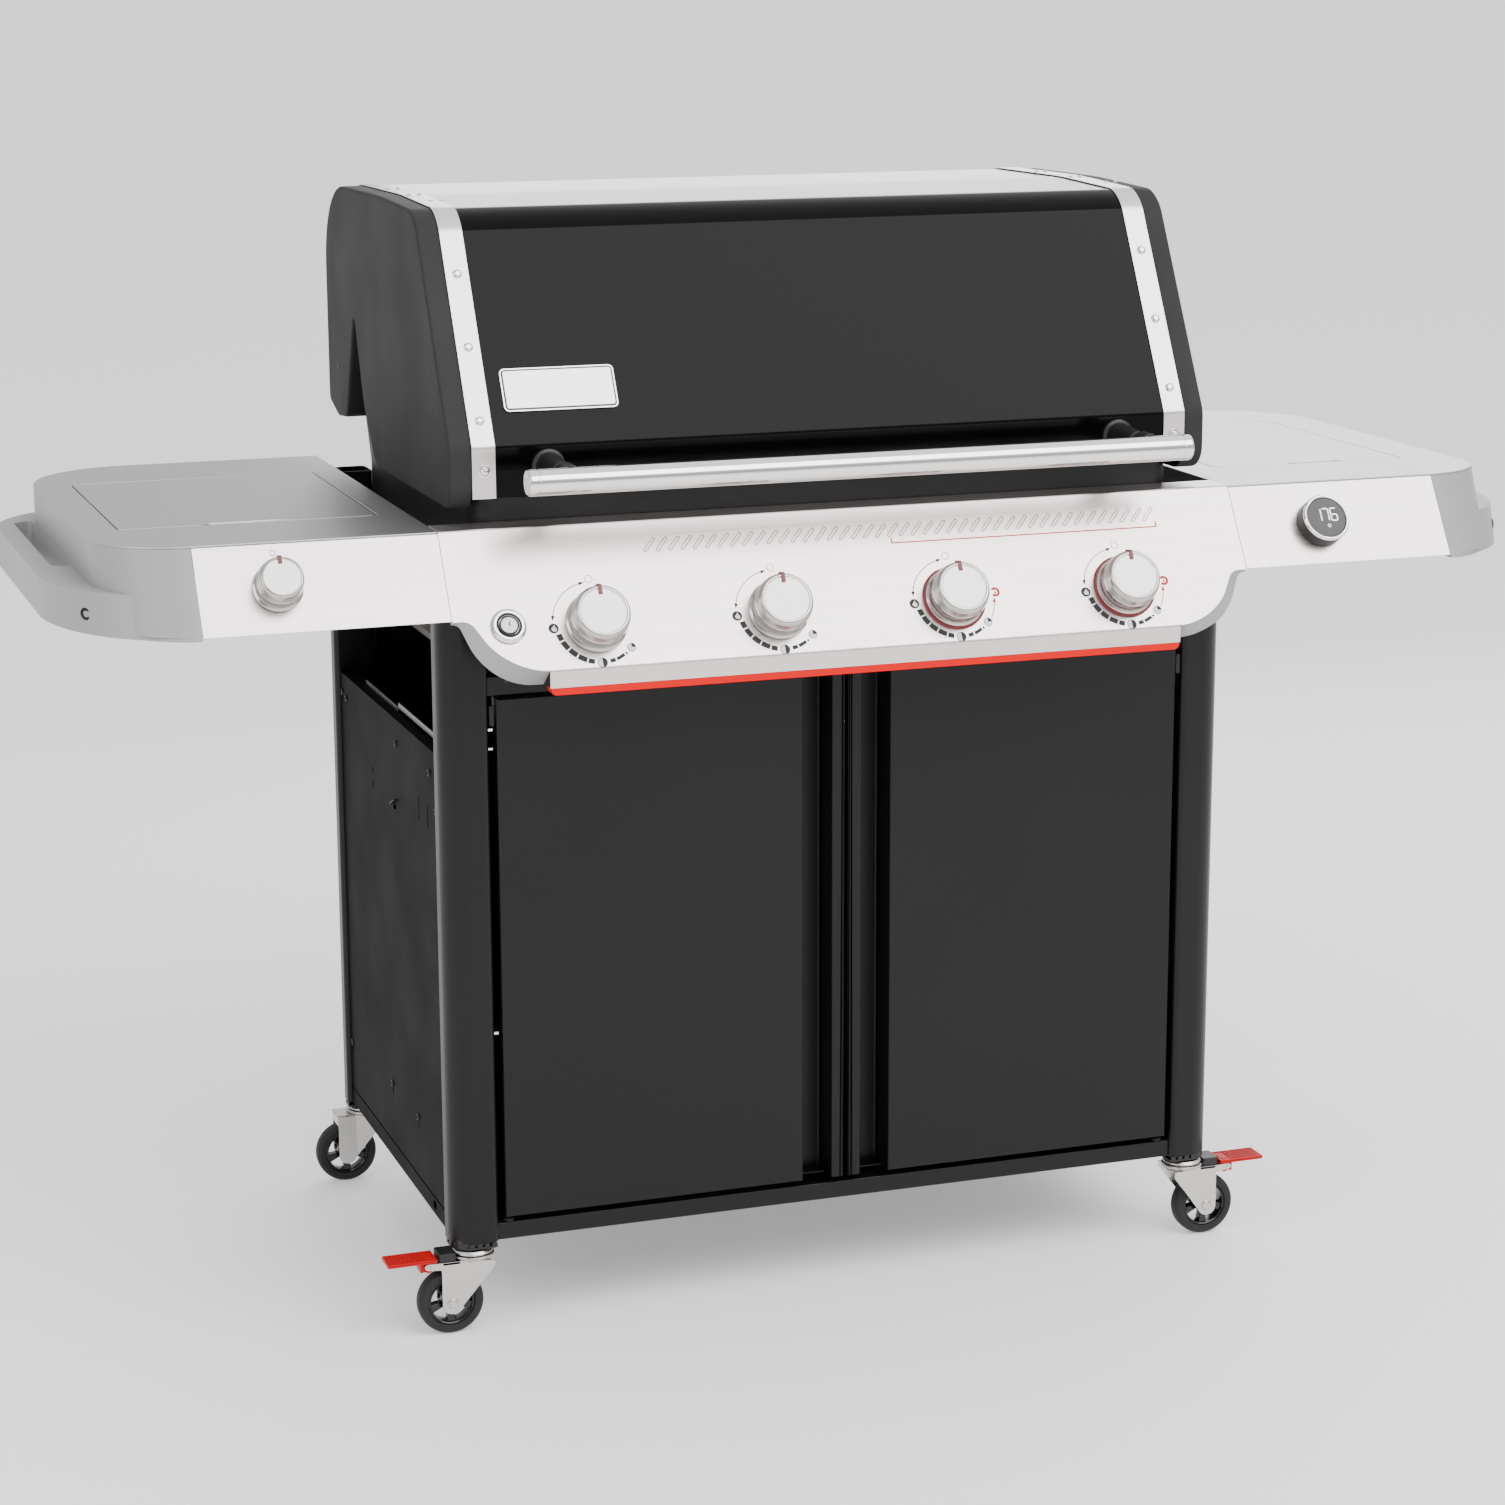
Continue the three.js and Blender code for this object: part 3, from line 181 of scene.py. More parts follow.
# ---------------------------------------------------------------- lid shell
# One sheet of steel folded over the cooking chamber, fired with gloss black porcelain enamel.
# Its front leans back, turns over a soft brow into the roof and rolls down the back.
def draw_line(bm, corners, closed=False, segments=10):
    """Edges through corners (x, y, z, radius), each corner rounded by a vertex bevel."""
    spots = [Vector(corner[:3]) for corner in corners]
    verts = [bm.verts.new(spot) for spot in spots]
    for i in range(len(verts) if closed else len(verts) - 1):
        bm.edges.new((verts[i], verts[(i + 1) % len(verts)]))
    for i, corner in enumerate(corners):
        if len(corner) < 4 or not corner[3]:
            continue
        before = (spots[i] - spots[i - 1]).normalized()
        after = (spots[(i + 1) % len(spots)] - spots[i]).normalized()
        reach = corner[3] * math.tan(before.angle(after) / 2)
        bmesh.ops.bevel(bm, geom=[verts[i]], offset=reach, offset_type="OFFSET", segments=segments,
                        profile=0.5, affect="VERTICES", material=-1)


def pull(bm, made, along):
    """Moves the new vertices of an extrusion, and returns them."""
    verts = [v for v in made["geom"] if isinstance(v, bmesh.types.BMVert)]
    bmesh.ops.translate(bm, verts=verts, vec=along)
    return verts


def soften(piece, width, segments=2, angle=35):
    """A live bevel on a piece's sharp edges."""
    bevel = piece.modifiers.new("edges", "BEVEL")
    bevel.width = width
    bevel.segments = segments
    bevel.limit_method = "ANGLE"
    bevel.angle_limit = math.radians(angle)
    bevel.use_clamp_overlap = True


def thicken(piece, wall, offset=-1.0):
    """A live wall on a piece made as a sheet."""
    shell = piece.modifiers.new("wall", "SOLIDIFY")
    shell.thickness = wall
    shell.offset = offset


def make_piece(name, bm, finishes, body, stands_for=(), smooth=35, toward=None, pick=None):
    """A piece from a bmesh: doubles merged, faces outwards, or a sheet's largest face toward a side.
    pick says which of several finishes a face has."""
    bmesh.ops.remove_doubles(bm, verts=bm.verts, dist=2e-6)
    bmesh.ops.recalc_face_normals(bm, faces=bm.faces)
    if toward:
        widest = max(bm.faces, key=lambda face: face.calc_area())
        if widest.normal.dot(Vector(toward)) < 0:
            bmesh.ops.reverse_faces(bm, faces=bm.faces)
    finishes = finishes if isinstance(finishes, (list, tuple)) else [finishes]
    if pick:
        for face in bm.faces:
            face.material_index = pick(face)
    mesh = bpy.data.meshes.new(name)
    bm.to_mesh(mesh)
    bm.free()
    for finish in finishes:
        mesh.materials.append(finish)
    mesh.shade_smooth()
    mesh.set_sharp_from_angle(angle=math.radians(smooth))
    piece = bpy.data.objects.new(name, mesh)
    bpy.context.scene.collection.objects.link(piece)
    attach(piece, body)
    if stands_for:
        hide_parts(*stands_for)
    return piece


# Porcelain enamel is glass fused to steel: near black, mirror-like, with a faint orange peel of
# waves about 9 mm apart that makes long reflections swim a little.
enamel, tree, shader = new_finish("black_porcelain_enamel", base_color="040404", roughness=0.09,
                                  specular=0.10)
place = add_node(tree, "ShaderNodeTexCoord")
peel = add_node(tree, "ShaderNodeTexNoise", {"Vector": place.outputs["Object"], "Scale": 110.0, "Detail": 1.0})
haze = add_node(tree, "ShaderNodeTexNoise", {"Vector": place.outputs["Object"], "Scale": 7.0, "Detail": 3.0})
gloss = add_node(tree, "ShaderNodeMapRange", {"Value": haze.outputs["Fac"], "To Min": 0.07, "To Max": 0.13})
tree.links.new(gloss.outputs["Result"], shader.inputs["Roughness"])
waves = add_node(tree, "ShaderNodeBump", {"Height": peel.outputs["Fac"], "Strength": 0.05, "Distance": 0.0004})
tree.links.new(waves.outputs["Normal"], shader.inputs["Normal"])

lid_lo, lid_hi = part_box("lid_shell")
LEAN = math.radians(29)
LIP = 0.0555
lip_z = lid_lo.z + LIP
brow_z = lid_hi.z - 0.0055
brow_y = lid_lo.y + (brow_z - lip_z) * math.tan(LEAN)
crown_y = (brow_y + lid_hi.y) / 2 - 0.060


def lid_line(bm, x, back_foot, grow=0.0):
    """The lid's side view at x, from its lip over the roof and down the back."""
    draw_line(bm, [
        (x, lid_lo.y, lid_lo.z),
        (x, lid_lo.y, lip_z, 0.008),
        (x, brow_y, brow_z, 0.047),
        (x, crown_y, lid_hi.z, 0.9),
        (x, lid_hi.y, lid_hi.z - 0.0025, 0.098),
        (x, lid_hi.y, back_foot),
    ], segments=14)


back_foot = lid_lo.z + 0.1025
bm = bmesh.new()
lid_line(bm, lid_lo.x, back_foot)
pull(bm, bmesh.ops.extrude_edge_only(bm, edges=bm.edges[:]), (lid_hi.x - lid_lo.x, 0, 0))
shell = make_piece("lid_enamelled_shell", bm, enamel, "lid", ["lid_shell"], toward=(0, -1, 1))
thicken(shell, 0.0025)
soften(shell, 0.0009)

# ---------------------------------------------------------------- lid end caps
# Cast aluminium cheeks, powder-coated charcoal, bolted to both ends of the shell. Their rims are
# rolled over in a large radius, and an ear reaches down to the hinge pin behind a deep notch.
def grained(name, code, roughness, grain, depth, specular=0.5, drift=0.05, metallic=0.0):
    """A coat with a fine grain: grain is the size of a speck and depth its height, in metres."""
    finish, tree, shader = new_finish(name, base_color=code, roughness=roughness, specular=specular,
                                      metallic=metallic)
    place = add_node(tree, "ShaderNodeTexCoord")
    speck = add_node(tree, "ShaderNodeTexNoise",
                     {"Vector": place.outputs["Object"], "Scale": 1 / grain, "Detail": 2.0, "Roughness": 0.6})
    cloud = add_node(tree, "ShaderNodeTexNoise", {"Vector": place.outputs["Object"], "Scale": 9.0, "Detail": 3.0})
    base = linear(code)
    shade = add_node(tree, "ShaderNodeMix", {"Factor": speck.outputs["Fac"]}, data_type="RGBA")
    shade.inputs[6].default_value = [c * (1 - 2 * drift) for c in base[:3]] + [1]
    shade.inputs[7].default_value = [c * (1 + 2 * drift) for c in base[:3]] + [1]
    tree.links.new(shade.outputs[2], shader.inputs["Base Color"])
    worn = add_node(tree, "ShaderNodeMapRange", {"Value": cloud.outputs["Fac"], "From Min": 0.3,
                                                 "From Max": 0.7, "To Min": roughness * 0.92,
                                                 "To Max": min(1.0, roughness * 1.08)})
    tree.links.new(worn.outputs["Result"], shader.inputs["Roughness"])
    relief = add_node(tree, "ShaderNodeBump", {"Height": speck.outputs["Fac"], "Strength": 0.55,
                                               "Distance": depth})
    tree.links.new(relief.outputs["Normal"], shader.inputs["Normal"])
    return finish


# Charcoal powder coat: cured grains about 0.8 mm across, drawn at 1.4 mm so that they show.
charcoal = grained("charcoal_powder_coat", "2b2b2c", 0.66, 0.0014, 0.00022, specular=0.2, drift=0.10)

# Blackened steel for pins and screws, and the same dark coat laid on holes as painted shade: plain dark metal with a
# soft sheen.
dark_steel_and_hole_shade = grained("blackened_steel_and_hole_shade", "1b1b1c", 0.42, 0.0010, 0.00004, metallic=0.6)

SIDES = (("right", 1), ("left", -1))


def flip(bm, side):
    """Mirrors a right-hand shape for the left."""
    if side < 0:
        bmesh.ops.scale(bm, vec=(-1, 1, 1), verts=bm.verts)


def fill_flat(bm):
    """One flat face inside a single closed line."""
    return bmesh.ops.contextual_create(bm, geom=bm.edges[:])["faces"]


def spun(bm, corners, centre, axis, across, steps=48, segments=4):
    """Turns a side view about an axis. corners are (radius, height along the axis, rounding)."""
    axis, across, centre = Vector(axis), Vector(across), Vector(centre)
    part = bmesh.new()
    draw_line(part, [(*(centre + across * c[0] + axis * c[1]), *c[2:]) for c in corners], segments=segments)
    bmesh.ops.spin(part, geom=part.verts[:] + part.edges[:], cent=centre, axis=axis,
                   angle=2 * math.pi, steps=steps, use_merge=True)
    bmesh.ops.remove_doubles(part, verts=part.verts, dist=2e-6)
    join(bm, part)


def join(bm, part):
    """Adds a finished part to a bmesh, faces outwards."""
    bmesh.ops.recalc_face_normals(part, faces=part.faces)
    carrier = bpy.data.meshes.new("carrier")
    part.to_mesh(carrier)
    part.free()
    bm.from_mesh(carrier)
    bpy.data.meshes.remove(carrier)


cap_lo, cap_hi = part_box("lid_end_cap_right")
hinge_y, hinge_z = 0.2975, lid_lo.z + 0.0855
RIM = 0.019
for word, side in SIDES:
    bm = bmesh.new()
    draw_line(bm, [
        (cap_lo.x, lid_lo.y, cap_lo.z, 0.026),
        (cap_lo.x, lid_lo.y, lip_z, 0.03),
        (cap_lo.x, brow_y, brow_z, 0.047),
        (cap_lo.x, crown_y, lid_hi.z, 0.9),
        (cap_lo.x, lid_hi.y, lid_hi.z - 0.0025, 0.098),
        (cap_lo.x, lid_hi.y, hinge_z - 0.047, 0.012),
        (cap_lo.x, hinge_y + 0.012, hinge_z - 0.062, 0.012),
        (cap_lo.x, hinge_y - 0.036, hinge_z - 0.058, 0.020),
        (cap_lo.x, hinge_y - 0.085, hinge_z + 0.072, 0.006),
        (cap_lo.x, hinge_y - 0.125, hinge_z - 0.030, 0.07),
        (cap_lo.x, hinge_y - 0.178, cap_lo.z, 0.034),
    ], closed=True, segments=10)
    faces = fill_flat(bm)
    outer = pull(bm, bmesh.ops.extrude_face_region(bm, geom=faces), (cap_hi.x - cap_lo.x, 0, 0))
    rim = [e for e in bm.edges if all(v in outer for v in e.verts)]
    bmesh.ops.bevel(bm, geom=rim, offset=RIM, offset_type="OFFSET", segments=7, profile=0.5,
                    affect="EDGES", material=-1, clamp_overlap=True)
    inner = [f for f in bm.faces if abs(f.normal.x) > 0.99 and f.calc_center_median().x < cap_lo.x + 1e-4]
    bmesh.ops.delete(bm, geom=inner, context="FACES")
    flip(bm, side)
    cap = make_piece(f"lid_cheek_{word}", bm, charcoal, "lid", [f"lid_end_cap_{word}"],
                     toward=(side, 0, 0), smooth=50)
    thicken(cap, 0.004)
    # The hinge pin's head, in an oval dimple in the ear
    bm = bmesh.new()
    spun(bm, [(0, 0.0006), (0.0032, 0.0006, 0.0004), (0.0036, -0.0002), (0.0062, -0.0002, 0.0003),
              (0.0068, -0.004)], (cap_hi.x, hinge_y, hinge_z), (1, 0, 0), (0, 0, 1), steps=24)
    bmesh.ops.scale(bm, vec=(1, 0.62, 1.25), verts=bm.verts,
                    space=Matrix.Translation((-cap_hi.x, -hinge_y, -hinge_z)))
    flip(bm, side)
    make_piece(f"lid_pin_dimple_{word}", bm, dark_steel_and_hole_shade, "lid")

# ---------------------------------------------------------------- lid bands
# Brushed stainless straps that cover the joint between shell and cheek, fixed with domed rivets
# down the slope, a bolt on the lip and pairs of small screws on the roof.
def brushed(name, code, roughness, along, streak=0.0007, contrast=0.06, anisotropic=0.4, depth=0.00002):
    """Steel brushed one way: along is the axis of the lines, and streak their width in metres."""
    finish, tree, shader = new_finish(name, base_color=code, metallic=1.0, roughness=roughness)
    place = add_node(tree, "ShaderNodeTexCoord")
    stretch = [7.0 if axis == along else 1 / streak for axis in "XYZ"]
    fine = add_node(tree, "ShaderNodeMapping", {"Vector": place.outputs["Object"], "Scale": stretch})
    lines = add_node(tree, "ShaderNodeTexNoise", {"Vector": fine.outputs["Vector"], "Scale": 1.0, "Detail": 2.0})
    broad = add_node(tree, "ShaderNodeMapping",
                     {"Vector": place.outputs["Object"], "Scale": [s * 0.18 for s in stretch]})
    bands = add_node(tree, "ShaderNodeTexNoise", {"Vector": broad.outputs["Vector"], "Scale": 1.0, "Detail": 3.0})
    both = add_node(tree, "ShaderNodeMath", {0: lines.outputs["Fac"], 1: bands.outputs["Fac"]}, operation="ADD")
    base = linear(code)
    shade = add_node(tree, "ShaderNodeMix", {"Factor": bands.outputs["Fac"]}, data_type="RGBA")
    shade.inputs[6].default_value = [c * (1 - contrast) for c in base[:3]] + [1]
    shade.inputs[7].default_value = [min(1, c * (1 + contrast)) for c in base[:3]] + [1]
    tree.links.new(shade.outputs[2], shader.inputs["Base Color"])
    scratch = add_node(tree, "ShaderNodeMapRange", {"Value": both.outputs["Value"], "From Min": 0.7,
                                                    "From Max": 1.3, "To Min": roughness * 0.85,
                                                    "To Max": roughness * 1.15})
    tree.links.new(scratch.outputs["Result"], shader.inputs["Roughness"])
    relief = add_node(tree, "ShaderNodeBump", {"Height": lines.outputs["Fac"], "Strength": 0.35,
                                               "Distance": depth})
    tree.links.new(relief.outputs["Normal"], shader.inputs["Normal"])
    return finish


# Stainless straps brushed across their width; the fine lines spread highlights down the strap.
strap_steel = brushed("brushed_stainless_strap", "e3dedc", 0.30, "X")
# Polished stainless rivets and screws; the shelf lids' finger rolls wear it too, as a painted highlight
rivet_steel_and_roll_highlight = brushed("polished_stainless_rivet_and_roll_highlight", "e9e6e4", 0.16, "X", streak=0.002, contrast=0.02)

slope = Matrix.Translation((0, lid_lo.y, lip_z)) @ Matrix.Rotation(math.pi / 2 - LEAN, 4, "X")
slope_length = (brow_z - lip_z) / math.cos(LEAN)
BAND_OUT = 0.0015
for word, side in SIDES:
    bm = bmesh.new()
    band_lo, band_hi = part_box(f"lid_band_{word}")
    lid_line(bm, band_lo.x, back_foot)
    pull(bm, bmesh.ops.extrude_edge_only(bm, edges=bm.edges[:]), (band_hi.x - band_lo.x, 0, 0))
    band = make_piece(f"lid_strap_{word}", bm, strap_steel, "lid", [f"lid_band_{word}"],
                      toward=(0, -1, 1))
    thicken(band, 0.0012, offset=1.5)
    soften(band, 0.0004)
    bm = bmesh.new()
    middle = (band_lo.x + band_hi.x) / 2
    for height in (1.1674, 1.0929, 1.0188):
        up = (height - lip_z) / math.cos(LEAN)
        part = bmesh.new()
        spun(part, [(0, 0.0032), (0.0028, 0.0030, 0.002), (0.0049, 0.0016, 0.001), (0.0053, 0)],
             (0, 0, 0), (0, 0, 1), (1, 0, 0), steps=24)
        bmesh.ops.transform(part, matrix=slope @ Matrix.Translation((middle, up, BAND_OUT)), verts=part.verts)
        join(bm, part)
    part = bmesh.new()
    spun(part, [(0, 0.0062), (0.0030, 0.0058, 0.0012), (0.0048, 0.0042, 0.001), (0.0050, 0.0016),
                (0.0072, 0.0014, 0.0004), (0.0075, 0)], (0, 0, 0), (0, -1, 0), (1, 0, 0), steps=24)
    bmesh.ops.translate(part, vec=(middle, lid_lo.y - BAND_OUT, lid_lo.z + 0.0295), verts=part.verts)
    join(bm, part)
    for y in (brow_y + 0.048, brow_y + 0.150, brow_y + 0.252):
        for x in (middle - 0.006, middle + 0.006):
            part = bmesh.new()
            spun(part, [(0, 0.0010), (0.0009, 0.0010, 0.0002), (0.0016, 0.0016, 0.0004), (0.0024, 0.0007, 0.0003),
                        (0.0025, -0.0004)], (x, y, lid_hi.z + BAND_OUT - 0.0002), (0, 0, 1), (1, 0, 0), steps=16)
            join(bm, part)
    make_piece(f"lid_rivets_{word}", bm, rivet_steel_and_roll_highlight, "lid", smooth=60)

# ---------------------------------------------------------------- lid handle
# A chromed steel tube with pressed end caps, held off the lid by two moulded black posts that
# keep it cool.
chrome, tree, shader = new_finish("bright_chrome_plate", base_color="eceae8", metallic=1.0, roughness=0.05)
place = add_node(tree, "ShaderNodeTexCoord")
smear = add_node(tree, "ShaderNodeTexNoise", {"Vector": place.outputs["Object"], "Scale": 24.0, "Detail": 4.0})
polish = add_node(tree, "ShaderNodeMapRange", {"Value": smear.outputs["Fac"], "To Min": 0.03, "To Max": 0.08})
tree.links.new(polish.outputs["Result"], shader.inputs["Roughness"])

# Glass-filled nylon: black, moulded against a fine spark texture.
nylon = grained("black_glass_filled_nylon", "161617", 0.38, 0.0011, 0.00005, specular=0.45)

bar_lo, bar_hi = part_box("lid_handle")
BAR = 0.0145
bar_y = bar_lo.y + BAR
bar_z = bar_lo.z + BAR
half = bar_hi.x
bm = bmesh.new()
spun(bm, [(0, -half), (BAR - 0.001, -half, 0.0015), (BAR, -half + 0.003), (BAR, -half + 0.010, 0.0002),
          (BAR - 0.0005, -half + 0.0105), (BAR - 0.0005, -half + 0.0115), (BAR, -half + 0.012, 0.0002),
          (BAR, half - 0.012, 0.0002), (BAR - 0.0005, half - 0.0115), (BAR - 0.0005, half - 0.0105),
          (BAR, half - 0.010, 0.0002), (BAR, half - 0.003), (BAR - 0.001, half, 0.0015), (0, half)],
     (0, bar_y, bar_z), (1, 0, 0), (0, 0, 1), steps=64)
make_piece("lid_handle_bar", bm, chrome, "lid", ["lid_handle"])
bm = bmesh.new()
reach = lid_lo.y - bar_y
for x in (-0.334, 0.334):
    spun(bm, [(0, 0), (0.0125, 0, 0.001), (0.0130, reach * -0.24), (0.0100, reach * -0.27, 0.001),
              (0.0095, reach * -0.34, 0.001), (0.0115, reach * -0.37, 0.001), (0.0150, reach * -0.93, 0.002),
              (0.0185, reach * -0.945, 0.001), (0.0185, reach * -0.995), (0, reach * -0.995)],
         (x, bar_y, bar_z + 0.004), (0, -1, 0), (1, 0, 0), steps=40)
make_piece("lid_handle_posts", bm, nylon, "lid")

# ---------------------------------------------------------------- lid badge
# A blank pressed name plate: a polished rim, a black line inside it, and a plain brushed field.
badge_steel = brushed("brushed_badge_steel", "e6e1de", 0.33, "X", streak=0.0009)
# Black lacquer laid in the groove round the field; the header's punched notches are drawn in it too, as painted shade
lacquer = grained("black_lacquer_and_notch_shade", "101011", 0.30, 0.004, 0.00001)


def plate(bm, x0, x1, y0, y1, z0, z1, corner, edge=0.0005):
    """A flat plate in XY with round corners and a bevelled upper edge."""
    part = bmesh.new()
    draw_line(part, [(x0, y0, z0, corner), (x1, y0, z0, corner), (x1, y1, z0, corner), (x0, y1, z0, corner)],
              closed=True, segments=6)
    top = pull(part, bmesh.ops.extrude_face_region(part, geom=fill_flat(part)), (0, 0, z1 - z0))
    rim = [e for e in part.edges if all(v in top for v in e.verts)]
    if edge:
        bmesh.ops.bevel(part, geom=rim, offset=edge, offset_type="OFFSET", segments=3, profile=0.5,
                        affect="EDGES", material=-1)
    join(bm, part)


BADGE = (-0.376, -0.248)
badge_foot = 0.038
badge_top = 0.088
for name, step, height, finish in (("rim", 0.0, 0.0020, rivet_steel_and_roll_highlight), ("line", 0.0016, 0.0023, lacquer),
                                   ("field", 0.0034, 0.0028, badge_steel)):
    bm = bmesh.new()
    plate(bm, BADGE[0] + step, BADGE[1] - step, badge_foot + step, badge_top - step, 0.0003, height,
          0.006 - step)
    bmesh.ops.transform(bm, matrix=slope, verts=bm.verts)
    make_piece(f"lid_badge_{name}", bm, finish, "lid")

# ---------------------------------------------------------------- control panel
# One stainless sheet: a level flange at the back, the face that leans out over the knobs, and a
# folded lip. Both lower corners are cut to a sweeping curve. The steel is brushed along its length.
panel_lo, panel_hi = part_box("control_panel")
FLANGE, FOLD = 0.042, 0.0195
edge_y = panel_hi.y - FLANGE
tilt = math.atan2(edge_y - panel_lo.y, panel_hi.z - panel_lo.z - FOLD)
face_length = (panel_hi.z - panel_lo.z - FOLD) / math.cos(tilt)
face = Matrix.Translation((0, edge_y, panel_hi.z)) @ Matrix.Rotation(math.pi / 2 - tilt, 4, "X")
seam = panel_hi.x
lip_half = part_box("light_strip")[1].x + 0.001
SHOULDER = 0.104

panel_steel = brushed("brushed_stainless_panel", "e6dedb", 0.32, "X", streak=0.0008, contrast=0.11)


def corner_sweep(side, grow=0.0):
    """The panel's lower corner in its own plane, from the seam to the lip."""
    return [
        (side * seam, -SHOULDER, 0),
        (side * (seam - 0.019), -SHOULDER, 0, 0.014),
        (side * (lip_half + 0.044), -face_length, 0, 0.074),
        (side * lip_half, -face_length, 0),
    ]


bm = bmesh.new()
draw_line(bm, [(-seam, 0, 0), (seam, 0, 0)] + corner_sweep(1) + corner_sweep(-1)[::-1], closed=True, segments=14)
fill_flat(bm)
lip = [e for e in bm.edges if all(abs(v.co.y + face_length) < 1e-6 and abs(v.co.x) < lip_half + 1e-6
                                  for v in e.verts)]
back = [e for e in bm.edges if all(abs(v.co.y) < 1e-6 for v in e.verts)]
bmesh.ops.transform(bm, matrix=face, verts=bm.verts)
pull(bm, bmesh.ops.extrude_edge_only(bm, edges=lip), (0, 0, -FOLD))
pull(bm, bmesh.ops.extrude_edge_only(bm, edges=back), (0, FLANGE, 0))
bends = [e for e in bm.edges if len(e.link_faces) == 2]
bmesh.ops.bevel(bm, geom=bends, offset=0.0022, offset_type="OFFSET", segments=4, profile=0.5,
                affect="EDGES", material=-1)
panel = make_piece("control_panel_sheet", bm, panel_steel, "grill_body", ["control_panel"],
                   toward=(0, -1, 0.5))
thicken(panel, 0.0015)
soften(panel, 0.0003)

# ---------------------------------------------------------------- panel corner trims
# Silver-grey moulded returns that carry each curved corner back to the post, clipped in behind
# the steel. Their outer edge falls back in a soft chamfer.
# Moulded ABS in silver grey, with a very fine spark texture.
grey_abs = grained("silver_grey_abs", "989898", 0.42, 0.0012, 0.00004, specular=0.4, drift=0.03)

for word, side in SIDES:
    bm = bmesh.new()
    draw_line(bm, [
        (seam - 0.0003, -SHOULDER - 0.0006, -0.0006),
        (seam - 0.0195, -SHOULDER - 0.0006, -0.0006, 0.014),
        (lip_half + 0.0437, -face_length - 0.0006, -0.0006, 0.074),
        (lip_half + 0.0004, -face_length - 0.0006, -0.0006),
    ], segments=14)
    bmesh.ops.transform(bm, matrix=face, verts=bm.verts)
    front = bm.edges[:]
    rear = bmesh.new()
    foot = panel_lo.z
    shoulder_z = (face @ Vector((0, -SHOULDER, 0))).z
    draw_line(rear, [
        (seam - 0.0003, 0, shoulder_z - 0.0035),
        (seam - 0.008, 0, shoulder_z - 0.0035, 0.010),
        (lip_half + 0.060, 0, foot, 0.074),
        (lip_half + 0.0004, 0, foot),
    ], segments=14)
    # The outer line leans with the panel, 26 mm behind its face at the lip and 8 mm at the seam
    for v in rear.verts:
        drop = (shoulder_z - v.co.z) / (shoulder_z - foot)
        on_face = edge_y + (v.co.z - panel_hi.z) * math.tan(tilt)
        v.co.y = max(on_face, panel_lo.y) + 0.006 + 0.020 * drop
    carrier = bpy.data.meshes.new("carrier")
    rear.to_mesh(carrier)
    rear.free()
    bm.from_mesh(carrier)
    bpy.data.meshes.remove(carrier)
    known = set(front)
    outer = [e for e in bm.edges if e not in known]
    bmesh.ops.bridge_loops(bm, edges=bm.edges[:])
    pull(bm, bmesh.ops.extrude_edge_only(bm, edges=outer), (0, 0.004, 0))
    # A square end against the lip
    flip(bm, side)
    trim = make_piece(f"panel_corner_trim_{word}", bm, grey_abs, "grill_body",
                      [f"panel_corner_{word}"], toward=(side, -1, -1), smooth=50)
    thicken(trim, 0.0022)
    soften(trim, 0.0006)

# ---------------------------------------------------------------- light strip
# A red acrylic light bar under the lip, its lower corners rounded. It barely glows by day.
red_acrylic, tree, shader = new_finish("red_acrylic_light_bar", base_color="d80008", roughness=0.3,
                                       specular=0.1, emission_color="ff0000", emission_strength=0.04)
place = add_node(tree, "ShaderNodeTexCoord")
cloud = add_node(tree, "ShaderNodeTexNoise", {"Vector": place.outputs["Object"], "Scale": 60.0, "Detail": 2.0})
tone = add_node(tree, "ShaderNodeMapRange", {"Value": cloud.outputs["Fac"], "To Min": 0.18, "To Max": 0.28})
tree.links.new(tone.outputs["Result"], shader.inputs["Roughness"])

strip_lo, strip_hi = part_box("light_strip")
bm = bmesh.new()
draw_line(bm, [(strip_lo.x, strip_lo.y, strip_lo.z, 0.006), (strip_hi.x, strip_lo.y, strip_lo.z, 0.006),
               (strip_hi.x, strip_lo.y, strip_hi.z, 0.0006), (strip_lo.x, strip_lo.y, strip_hi.z, 0.0006)],
          closed=True, segments=6)
pull(bm, bmesh.ops.extrude_face_region(bm, geom=fill_flat(bm)), (0, strip_hi.y - strip_lo.y, 0))
strip = make_piece("light_bar", bm, red_acrylic, "grill_body", ["light_strip"])
soften(strip, 0.0008)

# ---------------------------------------------------------------- panel print
# Scales round the knobs, a row of slanted lozenges along the top and a red bracket over the
# right-hand pair, screen-printed in matt ink on the steel.
# Matt screen ink, charcoal, red and white: thin enough that only its colour shows.
ink = grained("charcoal_screen_ink", "2a2a2b", 0.55, 0.0009, 0.00001, specular=0.3)
red_ink = grained("red_screen_ink", "cc0410", 0.5, 0.0009, 0.00001, specular=0.3)
white_ink = grained("white_screen_ink", "f1efed", 0.5, 0.0009, 0.00001, specular=0.3, drift=0.01)
grey_ink = grained("grey_screen_ink", "57524f", 0.55, 0.0009, 0.00001, specular=0.3)
INK = 0.00025


def sector(bm, centre, r0, r1, a0, a1):
    """A flat arc between two radii, from angle a0 to a1 in degrees."""
    part = bmesh.new()
    turn = Matrix.Rotation(math.radians(a0), 3, "Z")
    ends = [part.verts.new(Vector(centre) + turn @ Vector((r, 0, 0))) for r in (r0, r1)]
    part.edges.new(ends)
    steps = max(3, int(abs(a1 - a0) / 7))
    bmesh.ops.spin(part, geom=part.verts[:] + part.edges[:], cent=centre, axis=(0, 0, 1),
                   angle=math.radians(a1 - a0), steps=steps, use_merge=abs(a1 - a0) > 359)
    bmesh.ops.remove_doubles(part, verts=part.verts, dist=2e-6)
    join(bm, part)


def patch(bm, corners, segments=4):
    """A flat shape inside a closed line."""
    part = bmesh.new()
    draw_line(part, corners, closed=True, segments=segments)
    fill_flat(part)
    join(bm, part)


